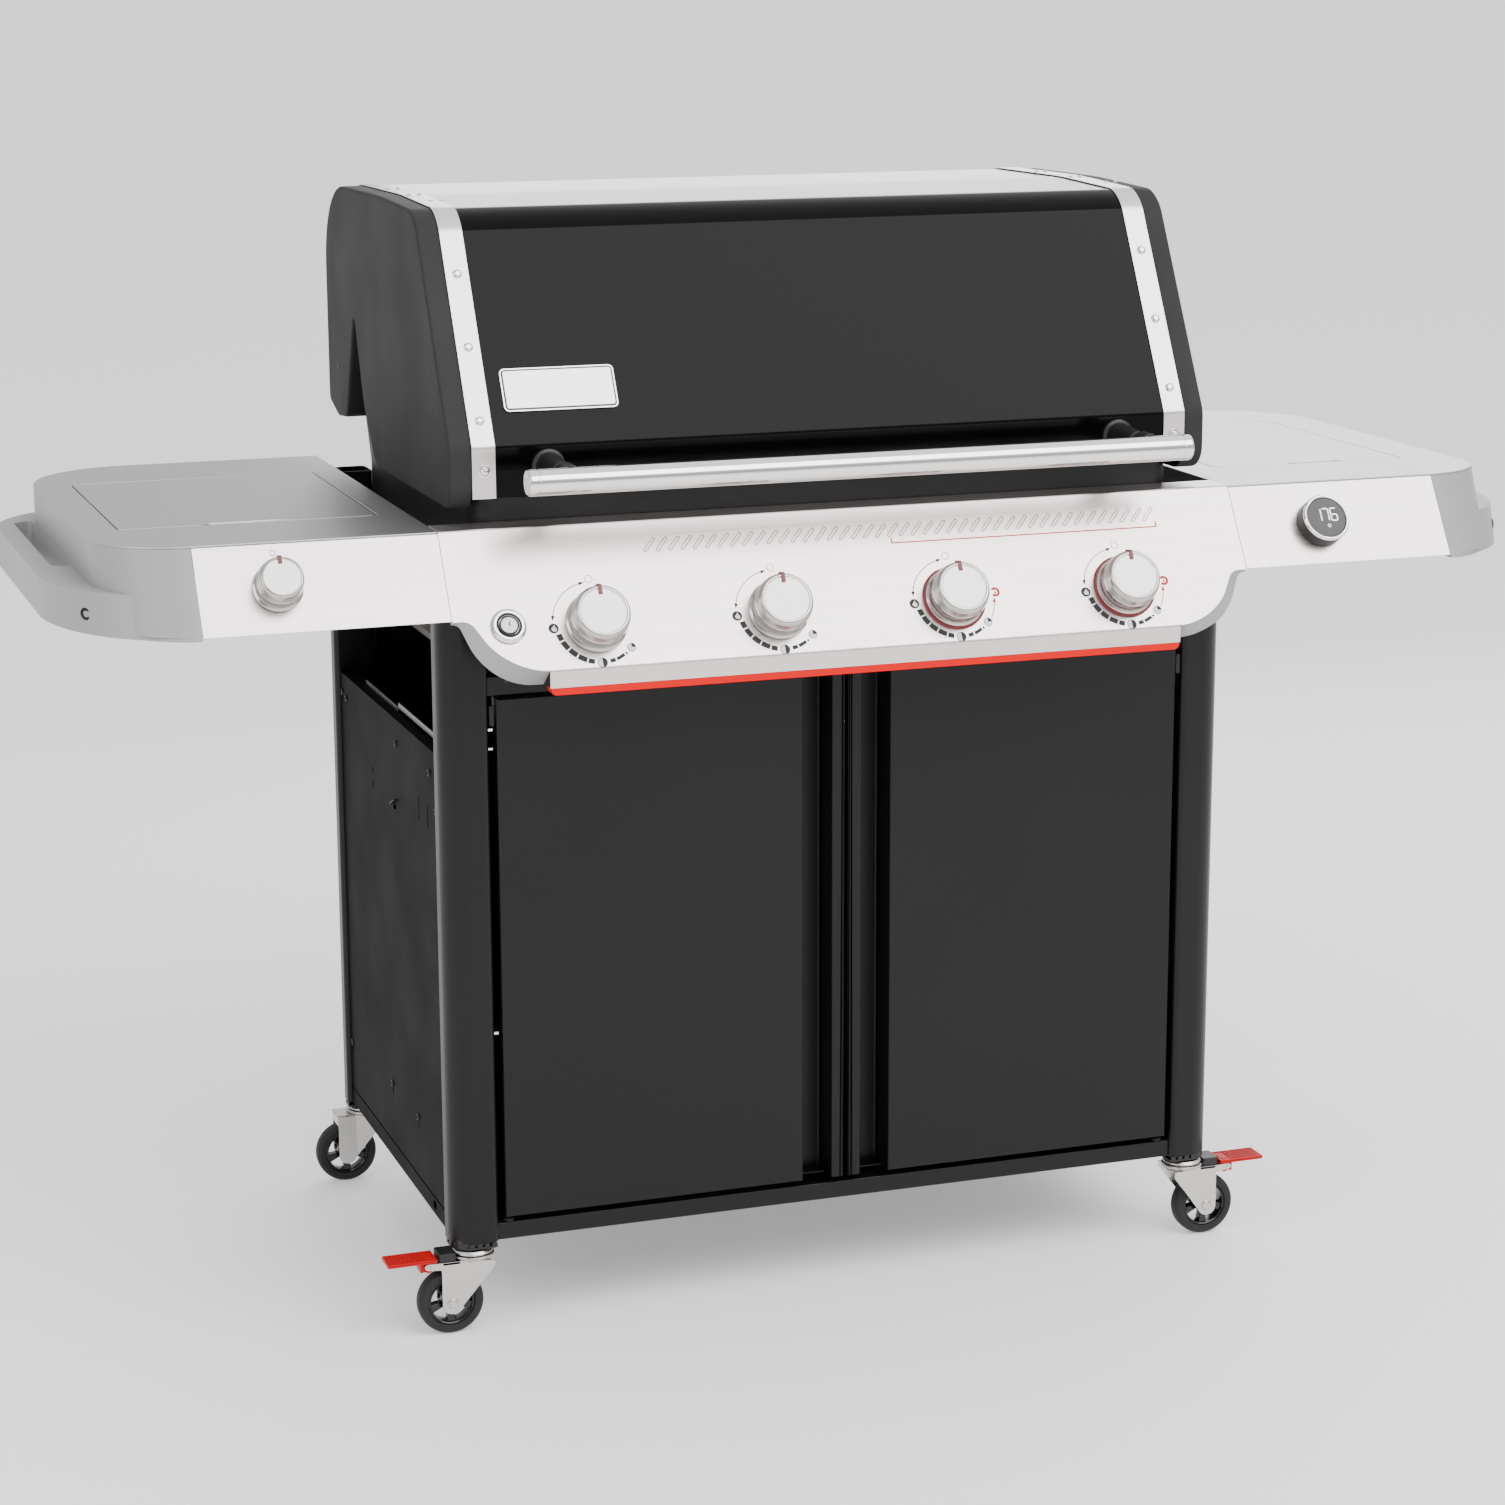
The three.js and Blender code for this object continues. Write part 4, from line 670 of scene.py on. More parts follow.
def printed(name, bm, finish, body="grill_body"):
    """Lays a flat print on the panel's face, with its ink upwards."""
    bmesh.ops.transform(bm, matrix=face, verts=bm.verts)
    return make_piece(name, bm, finish, body, toward=(0, -1, 0.6))


def arrow(bm, centre, radius, at, way):
    """An arrowhead on a circle at an angle, pointing along it."""
    spin = math.radians(at)
    tip = Vector((math.cos(spin), math.sin(spin))) * radius
    ahead = Vector((-math.sin(spin), math.cos(spin))) * way
    out = Vector((math.cos(spin), math.sin(spin)))
    spots = [tip + ahead * 0.0062, tip + out * 0.0021, tip - out * 0.0021]
    patch(bm, [(centre[0] + s.x, centre[1] + s.y, INK) for s in spots])


knob_centres = []
for number in range(1, 5):
    lo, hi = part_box(f"knob_{number}")
    spot = face.inverted() @ ((lo + hi) / 2)
    knob_centres.append((spot.x, -0.115))

black, white, red = bmesh.new(), bmesh.new(), bmesh.new()
for number, (x, y) in enumerate(knob_centres):
    hub = (x, y, INK)
    # Off: a hollow ring at the top, and an arc with a head at each end down to the lighting mark
    sector(black, (x, y + 0.0505, INK), 0.0038, 0.0044, 0, 360)
    sector(black, hub, 0.0468, 0.0477, 104, 166)
    arrow(black, hub, 0.0472, 104, -1)
    arrow(black, hub, 0.0472, 166, 1)
    # High: a flame on a black disc
    sector(black, (x - 0.0472, y - 0.003, INK), 0, 0.0056, 0, 360)
    patch(white, [(x - 0.0472, y - 0.0070, INK + 0.0001, 0.002), (x - 0.0440, y - 0.0060, INK + 0.0001, 0.0015),
                  (x - 0.0440, y - 0.0030, INK + 0.0001, 0.001), (x - 0.0455, y - 0.0015, INK + 0.0001),
                  (x - 0.0465, y + 0.0010, INK + 0.0001), (x - 0.0478, y - 0.0012, INK + 0.0001, 0.0006),
                  (x - 0.0487, y - 0.0020, INK + 0.0001), (x - 0.0503, y - 0.0042, INK + 0.0001, 0.0015)])
    for a0, a1, width in ((193, 203, 0.0062), (205, 218, 0.0062), (220, 233, 0.0062), (235, 248, 0.0059),
                          (250, 259, 0.0054), (281, 289, 0.0044), (291, 304, 0.0038), (306, 309, 0.0026)):
        sector(black, hub, 0.0470 - width, 0.0470, a0, a1)
    # Half and a quarter: a disc filled on its right, and a ring with one filled quarter
    sector(black, (x, y - 0.0450, INK), 0.0050, 0.0056, 0, 360)
    sector(white, (x, y - 0.0450, INK), 0, 0.0050, 90, 270)
    sector(black, (x, y - 0.0450, INK), 0, 0.0050, -90, 90)
    low = (x + 0.0345, y - 0.0300, INK)
    sector(black, low, 0.0044, 0.0050, 0, 360)
    sector(white, low, 0, 0.0044, 90, 360)
    sector(black, low, 0, 0.0044, 0, 90)
    if number > 1:
        sector(red, hub, 0.0468, 0.0477, -33, -9)
        arrow(red, hub, 0.0472, -9, 1)
        sector(red, (x + 0.0500, y + 0.0045, INK), 0.0028, 0.0056, -140, 140)
        patch(red, [(x + 0.0488, y + 0.0025, INK + 0.0001, 0.0008), (x + 0.0512, y + 0.0025, INK + 0.0001, 0.0008),
                    (x + 0.0508, y + 0.0052, INK + 0.0001, 0.0006), (x + 0.0498, y + 0.0066, INK + 0.0001)])

bracket_foot = -0.045
x0, x1 = 0.043, 0.364
for a, b, c, d in ((x0, x1, -0.0007, 0.0007), (x0, x0 + 0.0014, 0, 0.0062), (x1 - 0.0014, x1, 0, 0.0062)):
    patch(red, [(a, bracket_foot + c, INK), (b, bracket_foot + c, INK), (b, bracket_foot + d, INK),
                (a, bracket_foot + d, INK)])
printed("panel_print_scales", black, ink)
printed("panel_print_fills", white, white_ink)
printed("panel_print_red", red, red_ink)

# The lozenges: 43 outlines at 45 degrees, 14 mm apart
bm = bmesh.new()
FIRST, PITCH, COUNT = -0.2335, 0.01404, 43
for i in range(COUNT):
    part = bmesh.new()
    bmesh.ops.create_grid(part, x_segments=1, y_segments=1, size=0.5)
    bmesh.ops.scale(part, vec=(0.0040, 0.0205, 1), verts=part.verts)
    bmesh.ops.bevel(part, geom=part.verts[:], offset=0.0018, offset_type="OFFSET", segments=3, profile=0.5,
                    affect="VERTICES", material=-1)
    bmesh.ops.inset_region(part, faces=part.faces[:], thickness=0.0008, depth=0, use_boundary=True)
    middle = max(part.faces, key=lambda f: len(f.verts))
    bmesh.ops.delete(part, geom=[middle], context="FACES")
    bmesh.ops.rotate(part, cent=(0, 0, 0), matrix=Matrix.Rotation(math.radians(-42), 3, "Z"), verts=part.verts)
    bmesh.ops.translate(part, vec=(FIRST + i * PITCH, -0.0295, INK), verts=part.verts)
    join(bm, part)
printed("panel_print_lozenges", bm, grey_ink)

# ---------------------------------------------------------------- knobs
# Turned metal knobs: a polished skirt, a finely knurled waist, a bright chamfer and a satin
# face, with a dark red pointer let into the rim. The right-hand pair stand on dark red rings.
# Turned aluminium: concentric tool lines half a millimetre apart on the face.
def turned_metal(name, code, roughness, centre, ring=0.0006):
    """Metal turned about a centre, on an axis square to the panel."""
    finish, tree, shader = new_finish(name, base_color=code, metallic=1.0, roughness=roughness)
    place = add_node(tree, "ShaderNodeTexCoord")
    spot = add_node(tree, "ShaderNodeMapping", {"Vector": place.outputs["Object"],
                                                "Location": [-c for c in centre]})
    away = add_node(tree, "ShaderNodeVectorMath", {0: spot.outputs["Vector"]}, operation="LENGTH")
    steps = add_node(tree, "ShaderNodeMath", {0: away.outputs["Value"], 1: 1 / ring}, operation="MULTIPLY")
    line = add_node(tree, "ShaderNodeTexNoise", {"W": steps.outputs["Value"], "Scale": 1.0, "Detail": 1.0},
                    noise_dimensions="1D")
    tone = add_node(tree, "ShaderNodeMapRange", {"Value": line.outputs["Fac"], "To Min": roughness * 0.8,
                                                 "To Max": roughness * 1.2})
    tree.links.new(tone.outputs["Result"], shader.inputs["Roughness"])
    relief = add_node(tree, "ShaderNodeBump", {"Height": line.outputs["Fac"], "Strength": 0.3, "Distance": 0.00001})
    tree.links.new(relief.outputs["Normal"], shader.inputs["Normal"])
    return finish


bright_metal = brushed("bright_knob_metal", "c2bebb", 0.16, "X", streak=0.003, contrast=0.02)
# Dark red lacquer on pointers and base rings
dark_red = grained("dark_red_lacquer", "6e1219", 0.30, 0.002, 0.00001, drift=0.04)


def knob(name, body, centre, radius, height, stands_for):
    """A knob about its own axis at a centre on the panel."""
    spot = face @ Vector((*centre, height))
    face_metal = turned_metal(f"satin_turned_{name}", "cfccca", 0.34, spot)
    top = radius * 0.78
    bm = bmesh.new()
    spun(bm, [(0, 0.0010), (radius + 0.0020, 0.0010), (radius + 0.0020, 0.0042, 0.0012),
              (radius - 0.0002, 0.0056), (radius - 0.0002, height * 0.56), (radius - 0.0010, height * 0.58),
              (radius - 0.0010, height * 0.62), (radius + 0.0002, height * 0.65, 0.0006),
              (radius - 0.0012, height * 0.86, 0.004), (radius * 0.90, height, 0.003),
              (top + 0.0008, height, 0.0006), (top, height - 0.0010), (0, height - 0.0010)],
         (0, 0, 0), (0, 0, 1), (1, 0, 0), steps=120)
    waist = [f for f in bm.faces if abs(f.normal.z) < 0.2 and 0.006 < f.calc_center_median().z < height * 0.5]
    bmesh.ops.inset_individual(bm, faces=waist, thickness=0.00032, depth=-0.00045)
    bmesh.ops.transform(bm, matrix=face @ Matrix.Translation((*centre, 0)), verts=bm.verts)
    up = (face.to_3x3() @ Vector((0, 0, 1))).normalized()
    anchor = face @ Vector((*centre, height))

    def on_face(f):
        """1 on the satin face, 0 on the polished side."""
        middle = f.calc_center_median()
        level = (middle - anchor).dot(up)
        return 1 if abs(level + 0.0010) < 0.0003 and f.normal.dot(up) > 0.98 else 0

    make_piece(f"{name}_turned", bm, [bright_metal, face_metal], body, [stands_for], smooth=28,
               pick=on_face)
    bm = bmesh.new()
    side_view = [(radius * 0.60, height - 0.0014), (radius * 0.60, height + 0.0008, 0.0005),
                 (radius * 0.93, height + 0.0008, 0.002), (radius + 0.0010, height * 0.84, 0.001),
                 (radius + 0.0010, height * 0.70, 0.0005), (radius - 0.0016, height * 0.70)]
    draw_line(bm, [(-0.0021, r, z, *more) for r, z, *more in side_view], closed=True, segments=4)
    pull(bm, bmesh.ops.extrude_face_region(bm, geom=fill_flat(bm)), (0.0042, 0, 0))
    bmesh.ops.transform(bm, matrix=face @ Matrix.Translation((*centre, 0)), verts=bm.verts)
    pointer = make_piece(f"{name}_pointer", bm, dark_red, body)
    soften(pointer, 0.0003)


for number, centre in enumerate(knob_centres, 1):
    knob(f"burner_knob_{number}", f"knob_{number}_body", centre, 0.032, 0.036, f"knob_{number}")
    if number > 2:
        bm = bmesh.new()
        spun(bm, [(0.0300, 0.0004), (0.0365, 0.0004), (0.0368, 0.0026, 0.0010), (0.0350, 0.0036, 0.0006),
                  (0.0300, 0.0036), (0.0300, 0.0004)], (0, 0, 0), (0, 0, 1), (1, 0, 0), steps=64)
        bmesh.ops.transform(bm, matrix=face @ Matrix.Translation((*centre, 0)), verts=bm.verts)
        make_piece(f"burner_knob_ring_{number}", bm, dark_red, "grill_body")
lo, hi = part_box("side_burner_knob")
spot = face.inverted() @ ((lo + hi) / 2)
knob("side_knob", "side_burner_knob_body", (spot.x, -0.053), 0.025, 0.033, "side_burner_knob")

# ---------------------------------------------------------------- igniter
# A push button with a white centre in a dished chrome ring, set into the panel.
lo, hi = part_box("igniter_bezel")
spot = face.inverted() @ ((lo + hi) / 2)
igniter = face @ Matrix.Translation((spot.x, -0.1126, 0))
bm = bmesh.new()
spun(bm, [(0.0112, 0.0004), (0.0196, 0.0004), (0.0196, 0.0022, 0.0010), (0.0166, 0.0056, 0.0016),
          (0.0140, 0.0058, 0.0008), (0.0122, 0.0034, 0.0010), (0.0112, 0.0030, 0.0004), (0.0112, 0.0004)],
     (0, 0, 0), (0, 0, 1), (1, 0, 0), steps=64)
bmesh.ops.transform(bm, matrix=igniter, verts=bm.verts)
make_piece("igniter_chrome_ring", bm, chrome, "grill_body", ["igniter_bezel"])
# Moulded white acetal, slightly waxy
acetal = grained("white_acetal", "f2f2f0", 0.30, 0.002, 0.00001, specular=0.5, drift=0.01)
bm = bmesh.new()
spun(bm, [(0, -0.0050), (0.0106, -0.0050), (0.0106, 0.0052, 0.0006), (0.0094, 0.0060, 0.0004), (0.0090, 0.0052),
          (0.0086, 0.0058, 0.0004), (0.0060, 0.0066, 0.002), (0, 0.0067)],
     (0, 0, 0), (0, 0, 1), (1, 0, 0), steps=48)
bmesh.ops.transform(bm, matrix=igniter, verts=bm.verts)
hub = igniter @ Vector((0, 0, 0))
out = (face.to_3x3() @ Vector((0, 0, 1))).normalized()


def button_part(f):
    """1 on the button's black rim and 0 on its white centre."""
    away = f.calc_center_median() - hub
    return 1 if (away - out * away.dot(out)).length > 0.0089 else 0


make_piece("igniter_push_button", bm, [acetal, nylon], "igniter_button_body", ["igniter_button"],
           pick=button_part)
bm = bmesh.new()
patch(bm, [(0.0004, 0.0038, 0.00685), (0.0017, 0.0038, 0.00685), (0.0006, 0.0008, 0.00685),
           (0.0016, 0.0004, 0.00685), (-0.0008, -0.0036, 0.00685), (-0.0002, -0.0006, 0.00685),
           (-0.0013, -0.0002, 0.00685)])
bmesh.ops.transform(bm, matrix=igniter, verts=bm.verts)
make_piece("igniter_spark_mark", bm, grey_ink, "igniter_button_body", toward=(0, -1, 0.6))

# The side knob's off mark: a small ring above it
bm = bmesh.new()
lo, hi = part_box("side_burner_knob")
spot = face.inverted() @ ((lo + hi) / 2)
sector(bm, (spot.x, -0.0130, INK), 0.0026, 0.0032, 0, 360)
printed("shelf_print_off", bm, ink)

# ---------------------------------------------------------------- thermometer
# A round black meter that stands out from the right-hand shelf, with a chromed ring round a
# dark glass, and a reading in white segments.
lo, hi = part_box("thermometer")
spot = face.inverted() @ ((lo + hi) / 2)
meter = face @ Matrix.Translation((spot.x, -0.054, 0))
bm = bmesh.new()
spun(bm, [(0, 0.0004), (0.0272, 0.0004), (0.0285, 0.0020, 0.001), (0.0285, 0.0150, 0.0004), (0.0278, 0.0154),
          (0.0278, 0.0160), (0, 0.0160)], (0, 0, 0), (0, 0, 1), (1, 0, 0), steps=72)
bmesh.ops.transform(bm, matrix=meter, verts=bm.verts)
make_piece("meter_housing", bm, nylon, "grill_body", ["thermometer"])
bm = bmesh.new()
spun(bm, [(0.0240, 0.0162), (0.0283, 0.0162), (0.0284, 0.0180, 0.0008), (0.0268, 0.0200, 0.0012),
          (0.0248, 0.0196, 0.0006), (0.0240, 0.0184), (0.0240, 0.0162)],
     (0, 0, 0), (0, 0, 1), (1, 0, 0), steps=72)
bmesh.ops.transform(bm, matrix=meter, verts=bm.verts)
make_piece("meter_ring", bm, chrome, "grill_body")
# Dark display glass: black, glossy, with a breath of haze
glass, tree, shader = new_finish("dark_display_glass", base_color="121213", roughness=0.08)
place = add_node(tree, "ShaderNodeTexCoord")
haze = add_node(tree, "ShaderNodeTexNoise", {"Vector": place.outputs["Object"], "Scale": 90.0, "Detail": 2.0})
tone = add_node(tree, "ShaderNodeMapRange", {"Value": haze.outputs["Fac"], "To Min": 0.06, "To Max": 0.14})
tree.links.new(tone.outputs["Result"], shader.inputs["Roughness"])
bm = bmesh.new()
spun(bm, [(0, 0.0150), (0.0238, 0.0150), (0.0238, 0.0182, 0.0004), (0.0200, 0.0186, 0.004), (0, 0.0187)],
     (0, 0, 0), (0, 0, 1), (1, 0, 0), steps=72)
bmesh.ops.transform(bm, matrix=meter, verts=bm.verts)
make_piece("meter_glass", bm, glass, "grill_body")
# Lit white segments behind the glass
lit, tree, shader = new_finish("lit_segments", base_color="f4f6f7", roughness=0.5, emission_color="f4f6f7",
                               emission_strength=1.6)
place = add_node(tree, "ShaderNodeTexCoord")
grid = add_node(tree, "ShaderNodeTexNoise", {"Vector": place.outputs["Object"], "Scale": 900.0})
tone = add_node(tree, "ShaderNodeMapRange", {"Value": grid.outputs["Fac"], "To Min": 0.45, "To Max": 0.6})
tree.links.new(tone.outputs["Result"], shader.inputs["Roughness"])
SEGMENTS = {"1": "bc", "7": "abc", "6": "acdefg"}
bm = bmesh.new()
TALL, WIDE, BAR_W = 0.0150, 0.0076, 0.0015
for place_x, figure in zip((-0.0105, -0.0010, 0.0095), "176"):
    for letter in SEGMENTS[figure]:
        cx, cy, flat = {"a": (0, 0.5, 1), "b": (0.5, 0.25, 0), "c": (0.5, -0.25, 0), "d": (0, -0.5, 1),
                        "e": (-0.5, -0.25, 0), "f": (-0.5, 0.25, 0), "g": (0, 0, 1)}[letter]
        half_w = WIDE * 0.42 if flat else BAR_W / 2
        half_h = BAR_W / 2 if flat else TALL * 0.225
        cx, cy = place_x + cx * WIDE, 0.003 + cy * TALL
        patch(bm, [(cx - half_w, cy - half_h, 0.01895, 0.0004), (cx + half_w, cy - half_h, 0.01895, 0.0004),
                   (cx + half_w, cy + half_h, 0.01895, 0.0004), (cx - half_w, cy + half_h, 0.01895, 0.0004)],
              segments=2)
sector(bm, (0.0010, -0.0105, 0.01895), 0.0013, 0.0021, 0, 360)
bmesh.ops.transform(bm, matrix=meter, verts=bm.verts)
make_piece("meter_reading", bm, lit, "grill_body", toward=(0, -1, 0.6))

# ---------------------------------------------------------------- shelf decks
# Stainless decks, bead-blasted to a fine even grain, with a folded inner edge and an opening
# for a flush lid: a burner under the left one, a storage well under the right one.
def blasted(name, code, roughness, grain):
    """Stainless blasted with glass beads: grain is the pit size in metres."""
    finish, tree, shader = new_finish(name, base_color=code, metallic=1.0, roughness=roughness)
    place = add_node(tree, "ShaderNodeTexCoord")
    pits = add_node(tree, "ShaderNodeTexNoise",
                    {"Vector": place.outputs["Object"], "Scale": 1 / grain, "Detail": 3.0, "Roughness": 0.7})
    drift = add_node(tree, "ShaderNodeTexNoise", {"Vector": place.outputs["Object"], "Scale": 5.0, "Detail": 3.0})
    base = linear(code)
    shade = add_node(tree, "ShaderNodeMix", {"Factor": pits.outputs["Fac"]}, data_type="RGBA")
    shade.inputs[6].default_value = [c * 0.86 for c in base[:3]] + [1]
    shade.inputs[7].default_value = [min(1, c * 1.10) for c in base[:3]] + [1]
    tree.links.new(shade.outputs[2], shader.inputs["Base Color"])
    tone = add_node(tree, "ShaderNodeMapRange", {"Value": drift.outputs["Fac"], "To Min": roughness * 0.9,
                                                 "To Max": roughness * 1.1})
    tree.links.new(tone.outputs["Result"], shader.inputs["Roughness"])
    relief = add_node(tree, "ShaderNodeBump", {"Height": pits.outputs["Fac"], "Strength": 0.5, "Distance": 0.00006})
    tree.links.new(relief.outputs["Normal"], shader.inputs["Normal"])
    return finish


# Bead-blasted stainless: pits of 0.3 mm, drawn at 1.3 mm so that the grain shows.
deck_steel = blasted("bead_blasted_stainless", "c9c7c6", 0.36, 0.0013)

DECK = 0.0018
deck_lo, deck_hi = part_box("shelf_top_right")
deck_foot = deck_hi.z - DECK
LIDS = {
    "left": {"node": "side_burner_lid", "body": "side_burner_lid_body", "corner": 0.005, "notch": (0.090, 0.194)},
    "right": {"node": "compartment_lid", "body": "compartment_lid_body", "corner": 0.018, "notch": (0.091, 0.169)},
}
FINGER = 0.009
GAP_ROUND_LID = 0.0016


def lid_frame(node):
    """A shelf lid's edges on the right-hand side: x0, x1, y0, y1."""
    lo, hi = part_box(node)
    xs = sorted((abs(lo.x), abs(hi.x)))
    return xs[0], xs[1], lo.y, hi.y


for word, side in SIDES:
    x0, x1, y0, y1 = lid_frame(LIDS[word]["node"])
    corner = LIDS[word]["corner"]
    grow = GAP_ROUND_LID
    bm = bmesh.new()
    draw_line(bm, [(deck_lo.x, deck_lo.y, deck_hi.z), (deck_hi.x, deck_lo.y, deck_hi.z, 0.094),
                   (deck_hi.x, deck_hi.y, deck_hi.z, 0.125), (deck_lo.x, deck_hi.y, deck_hi.z)],
              closed=True, segments=20)
    outer = set(bm.edges)
    draw_line(bm, [(x0 - grow, y0 - grow, deck_hi.z, corner + grow), (x1 + grow, y0 - grow, deck_hi.z, 0.004),
                   (x1 + grow, y1 + grow, deck_hi.z, corner + grow), (x0 - grow, y1 + grow, deck_hi.z, 0.004)],
              closed=True, segments=6)
    hole = [e for e in bm.edges if e not in outer]
    bmesh.ops.triangle_fill(bm, edges=bm.edges[:], use_beauty=True)
    rim = [e for e in bm.edges if len(e.link_faces) == 1]
    walls = pull(bm, bmesh.ops.extrude_edge_only(bm, edges=rim), (0, 0, -DECK))
    bends = [e for e in bm.edges if len(e.link_faces) == 2 and e.calc_face_angle(0) > 1]
    bmesh.ops.bevel(bm, geom=bends, offset=0.0008, offset_type="OFFSET", segments=3, profile=0.5,
                    affect="EDGES", material=-1)
    # The inner edge is folded down beside the cookbox
    part = bmesh.new()
    bmesh.ops.create_cube(part, size=1)
    drop = deck_hi.z - deck_lo.z
    bmesh.ops.scale(part, vec=(0.0015, deck_hi.y - deck_lo.y - 0.020, drop - DECK), verts=part.verts)
    bmesh.ops.translate(part, vec=(deck_lo.x + 0.0008, (deck_hi.y + deck_lo.y) / 2 + 0.006,
                                   deck_lo.z + (drop - DECK) / 2), verts=part.verts)
    join(bm, part)
    flip(bm, side)
    deck = make_piece(f"shelf_deck_{word}", bm, deck_steel, "grill_body", [f"shelf_top_{word}"],
                      toward=(0, 0, 1), smooth=30)

# ---------------------------------------------------------------- shelf lids
# Flush steel lids hinged at the back, each with a finger notch whose edge is rolled down.
for word, side in SIDES:
    x0, x1, y0, y1 = lid_frame(LIDS[word]["node"])
    corner = LIDS[word]["corner"]
    n0, n1 = (x0 + offset for offset in LIDS[word]["notch"])
    bm = bmesh.new()
    draw_line(bm, [(x0, y0, deck_hi.z, corner), (n0, y0, deck_hi.z, 0.010),
                   (n0 + 0.014, y0 + FINGER, deck_hi.z, 0.012), (n1 - 0.014, y0 + FINGER, deck_hi.z, 0.012),
                   (n1, y0, deck_hi.z, 0.010), (x1, y0, deck_hi.z, 0.003), (x1, y1, deck_hi.z, corner),
                   (x0, y1, deck_hi.z, 0.003)], closed=True, segments=8)
    fill_flat(bm)
    rim = [e for e in bm.edges if len(e.link_faces) == 1]
    pull(bm, bmesh.ops.extrude_edge_only(bm, edges=rim), (0, 0, -DECK))
    bends = [e for e in bm.edges if len(e.link_faces) == 2 and e.calc_face_angle(0) > 1]
    bmesh.ops.bevel(bm, geom=bends, offset=0.0009, offset_type="OFFSET", segments=3, profile=0.5,
                    affect="EDGES", material=-1)
    flip(bm, side)
    make_piece(f"shelf_lid_{word}", bm, deck_steel, LIDS[word]["body"], [LIDS[word]["node"]],
               toward=(0, 0, 1), smooth=30)
    # The rolled finger edge, in the lighter polished steel: a painted highlight on the roll's curve, brighter than the
    # blasted face
    bm = bmesh.new()
    draw_line(bm, [(n0 + 0.006, y0 + 0.0012, deck_hi.z - 0.0016), (n0 + 0.014, y0 + FINGER - 0.0004, deck_hi.z - 0.0008, 0.012),
                   (n1 - 0.014, y0 + FINGER - 0.0004, deck_hi.z - 0.0008, 0.012),
                   (n1 - 0.006, y0 + 0.0012, deck_hi.z - 0.0016)], segments=8)
    first = bm.edges[:]
    made = bmesh.ops.extrude_edge_only(bm, edges=first)
    pull(bm, made, (0, -0.0022, -0.0012))
    second = [e for e in made["geom"] if isinstance(e, bmesh.types.BMEdge) and len(e.link_faces) == 1]
    pull(bm, bmesh.ops.extrude_edge_only(bm, edges=second), (0, -0.0006, -0.0030))
    flip(bm, side)
    roll = make_piece(f"shelf_lid_finger_roll_{word}", bm, rivet_steel_and_roll_highlight, LIDS[word]["body"],
                      toward=(0, -1, 1))
    thicken(roll, 0.0008)

# ---------------------------------------------------------------- shelf front plates
# Brushed stainless plates on the same slope as the control panel, folded under at the foot.
front_steel = brushed("brushed_stainless_shelf_front", "e4dcd9", 0.32, "X", streak=0.0008, contrast=0.11)
for word, side in SIDES:
    lo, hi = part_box(f"shelf_front_{word}")
    xs = sorted((abs(lo.x), abs(hi.x)))
    drop = (panel_hi.z - lo.z) / math.cos(tilt)
    bm = bmesh.new()
    draw_line(bm, [(xs[0], -0.0030, 0), (xs[1], -0.0030, 0), (xs[1], -drop, 0, 0.001), (xs[0], -drop, 0, 0.001)],
              closed=True, segments=2)
    fill_flat(bm)
    low = [e for e in bm.edges if all(abs(v.co.y + drop) < 1e-4 for v in e.verts)]
    bmesh.ops.transform(bm, matrix=face, verts=bm.verts)
    pull(bm, bmesh.ops.extrude_edge_only(bm, edges=low), (0, 0.014, 0))
    bends = [e for e in bm.edges if len(e.link_faces) == 2]
    bmesh.ops.bevel(bm, geom=bends, offset=0.0018, offset_type="OFFSET", segments=4, profile=0.5,
                    affect="EDGES", material=-1)
    flip(bm, side)
    front = make_piece(f"shelf_front_plate_{word}", bm, front_steel, "grill_body",
                       [f"shelf_front_{word}"], toward=(0, -1, 0.5))
    thicken(front, 0.0015)
    soften(front, 0.0003)

# ---------------------------------------------------------------- shelf end caps
# Silver-grey mouldings round the ends of the decks: a tall wall under the deck, and below it a
# rail that swings out into a towel bar with a long slot behind it.
cap_lo, cap_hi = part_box("shelf_end_cap_right")
GRIP, GRIP_TOP, GRIP_FOOT = 0.022, cap_lo.z + 0.043, cap_lo.z
grip_out = cap_hi.x
LEAN_RUN = 0.1309
cap_seam = cap_lo.x
slot_front, slot_rear = deck_lo.y + 0.1939, cap_hi.y - 0.083


def lean_out(bm):
    """Leans the front of an upright wall out with the slope of the panel."""
    for v in bm.verts:
        share = min(1.0, max(0.0, 1 - (v.co.y - deck_lo.y) / LEAN_RUN))
        v.co.y -= share * (panel_hi.z - v.co.z) * math.tan(tilt)


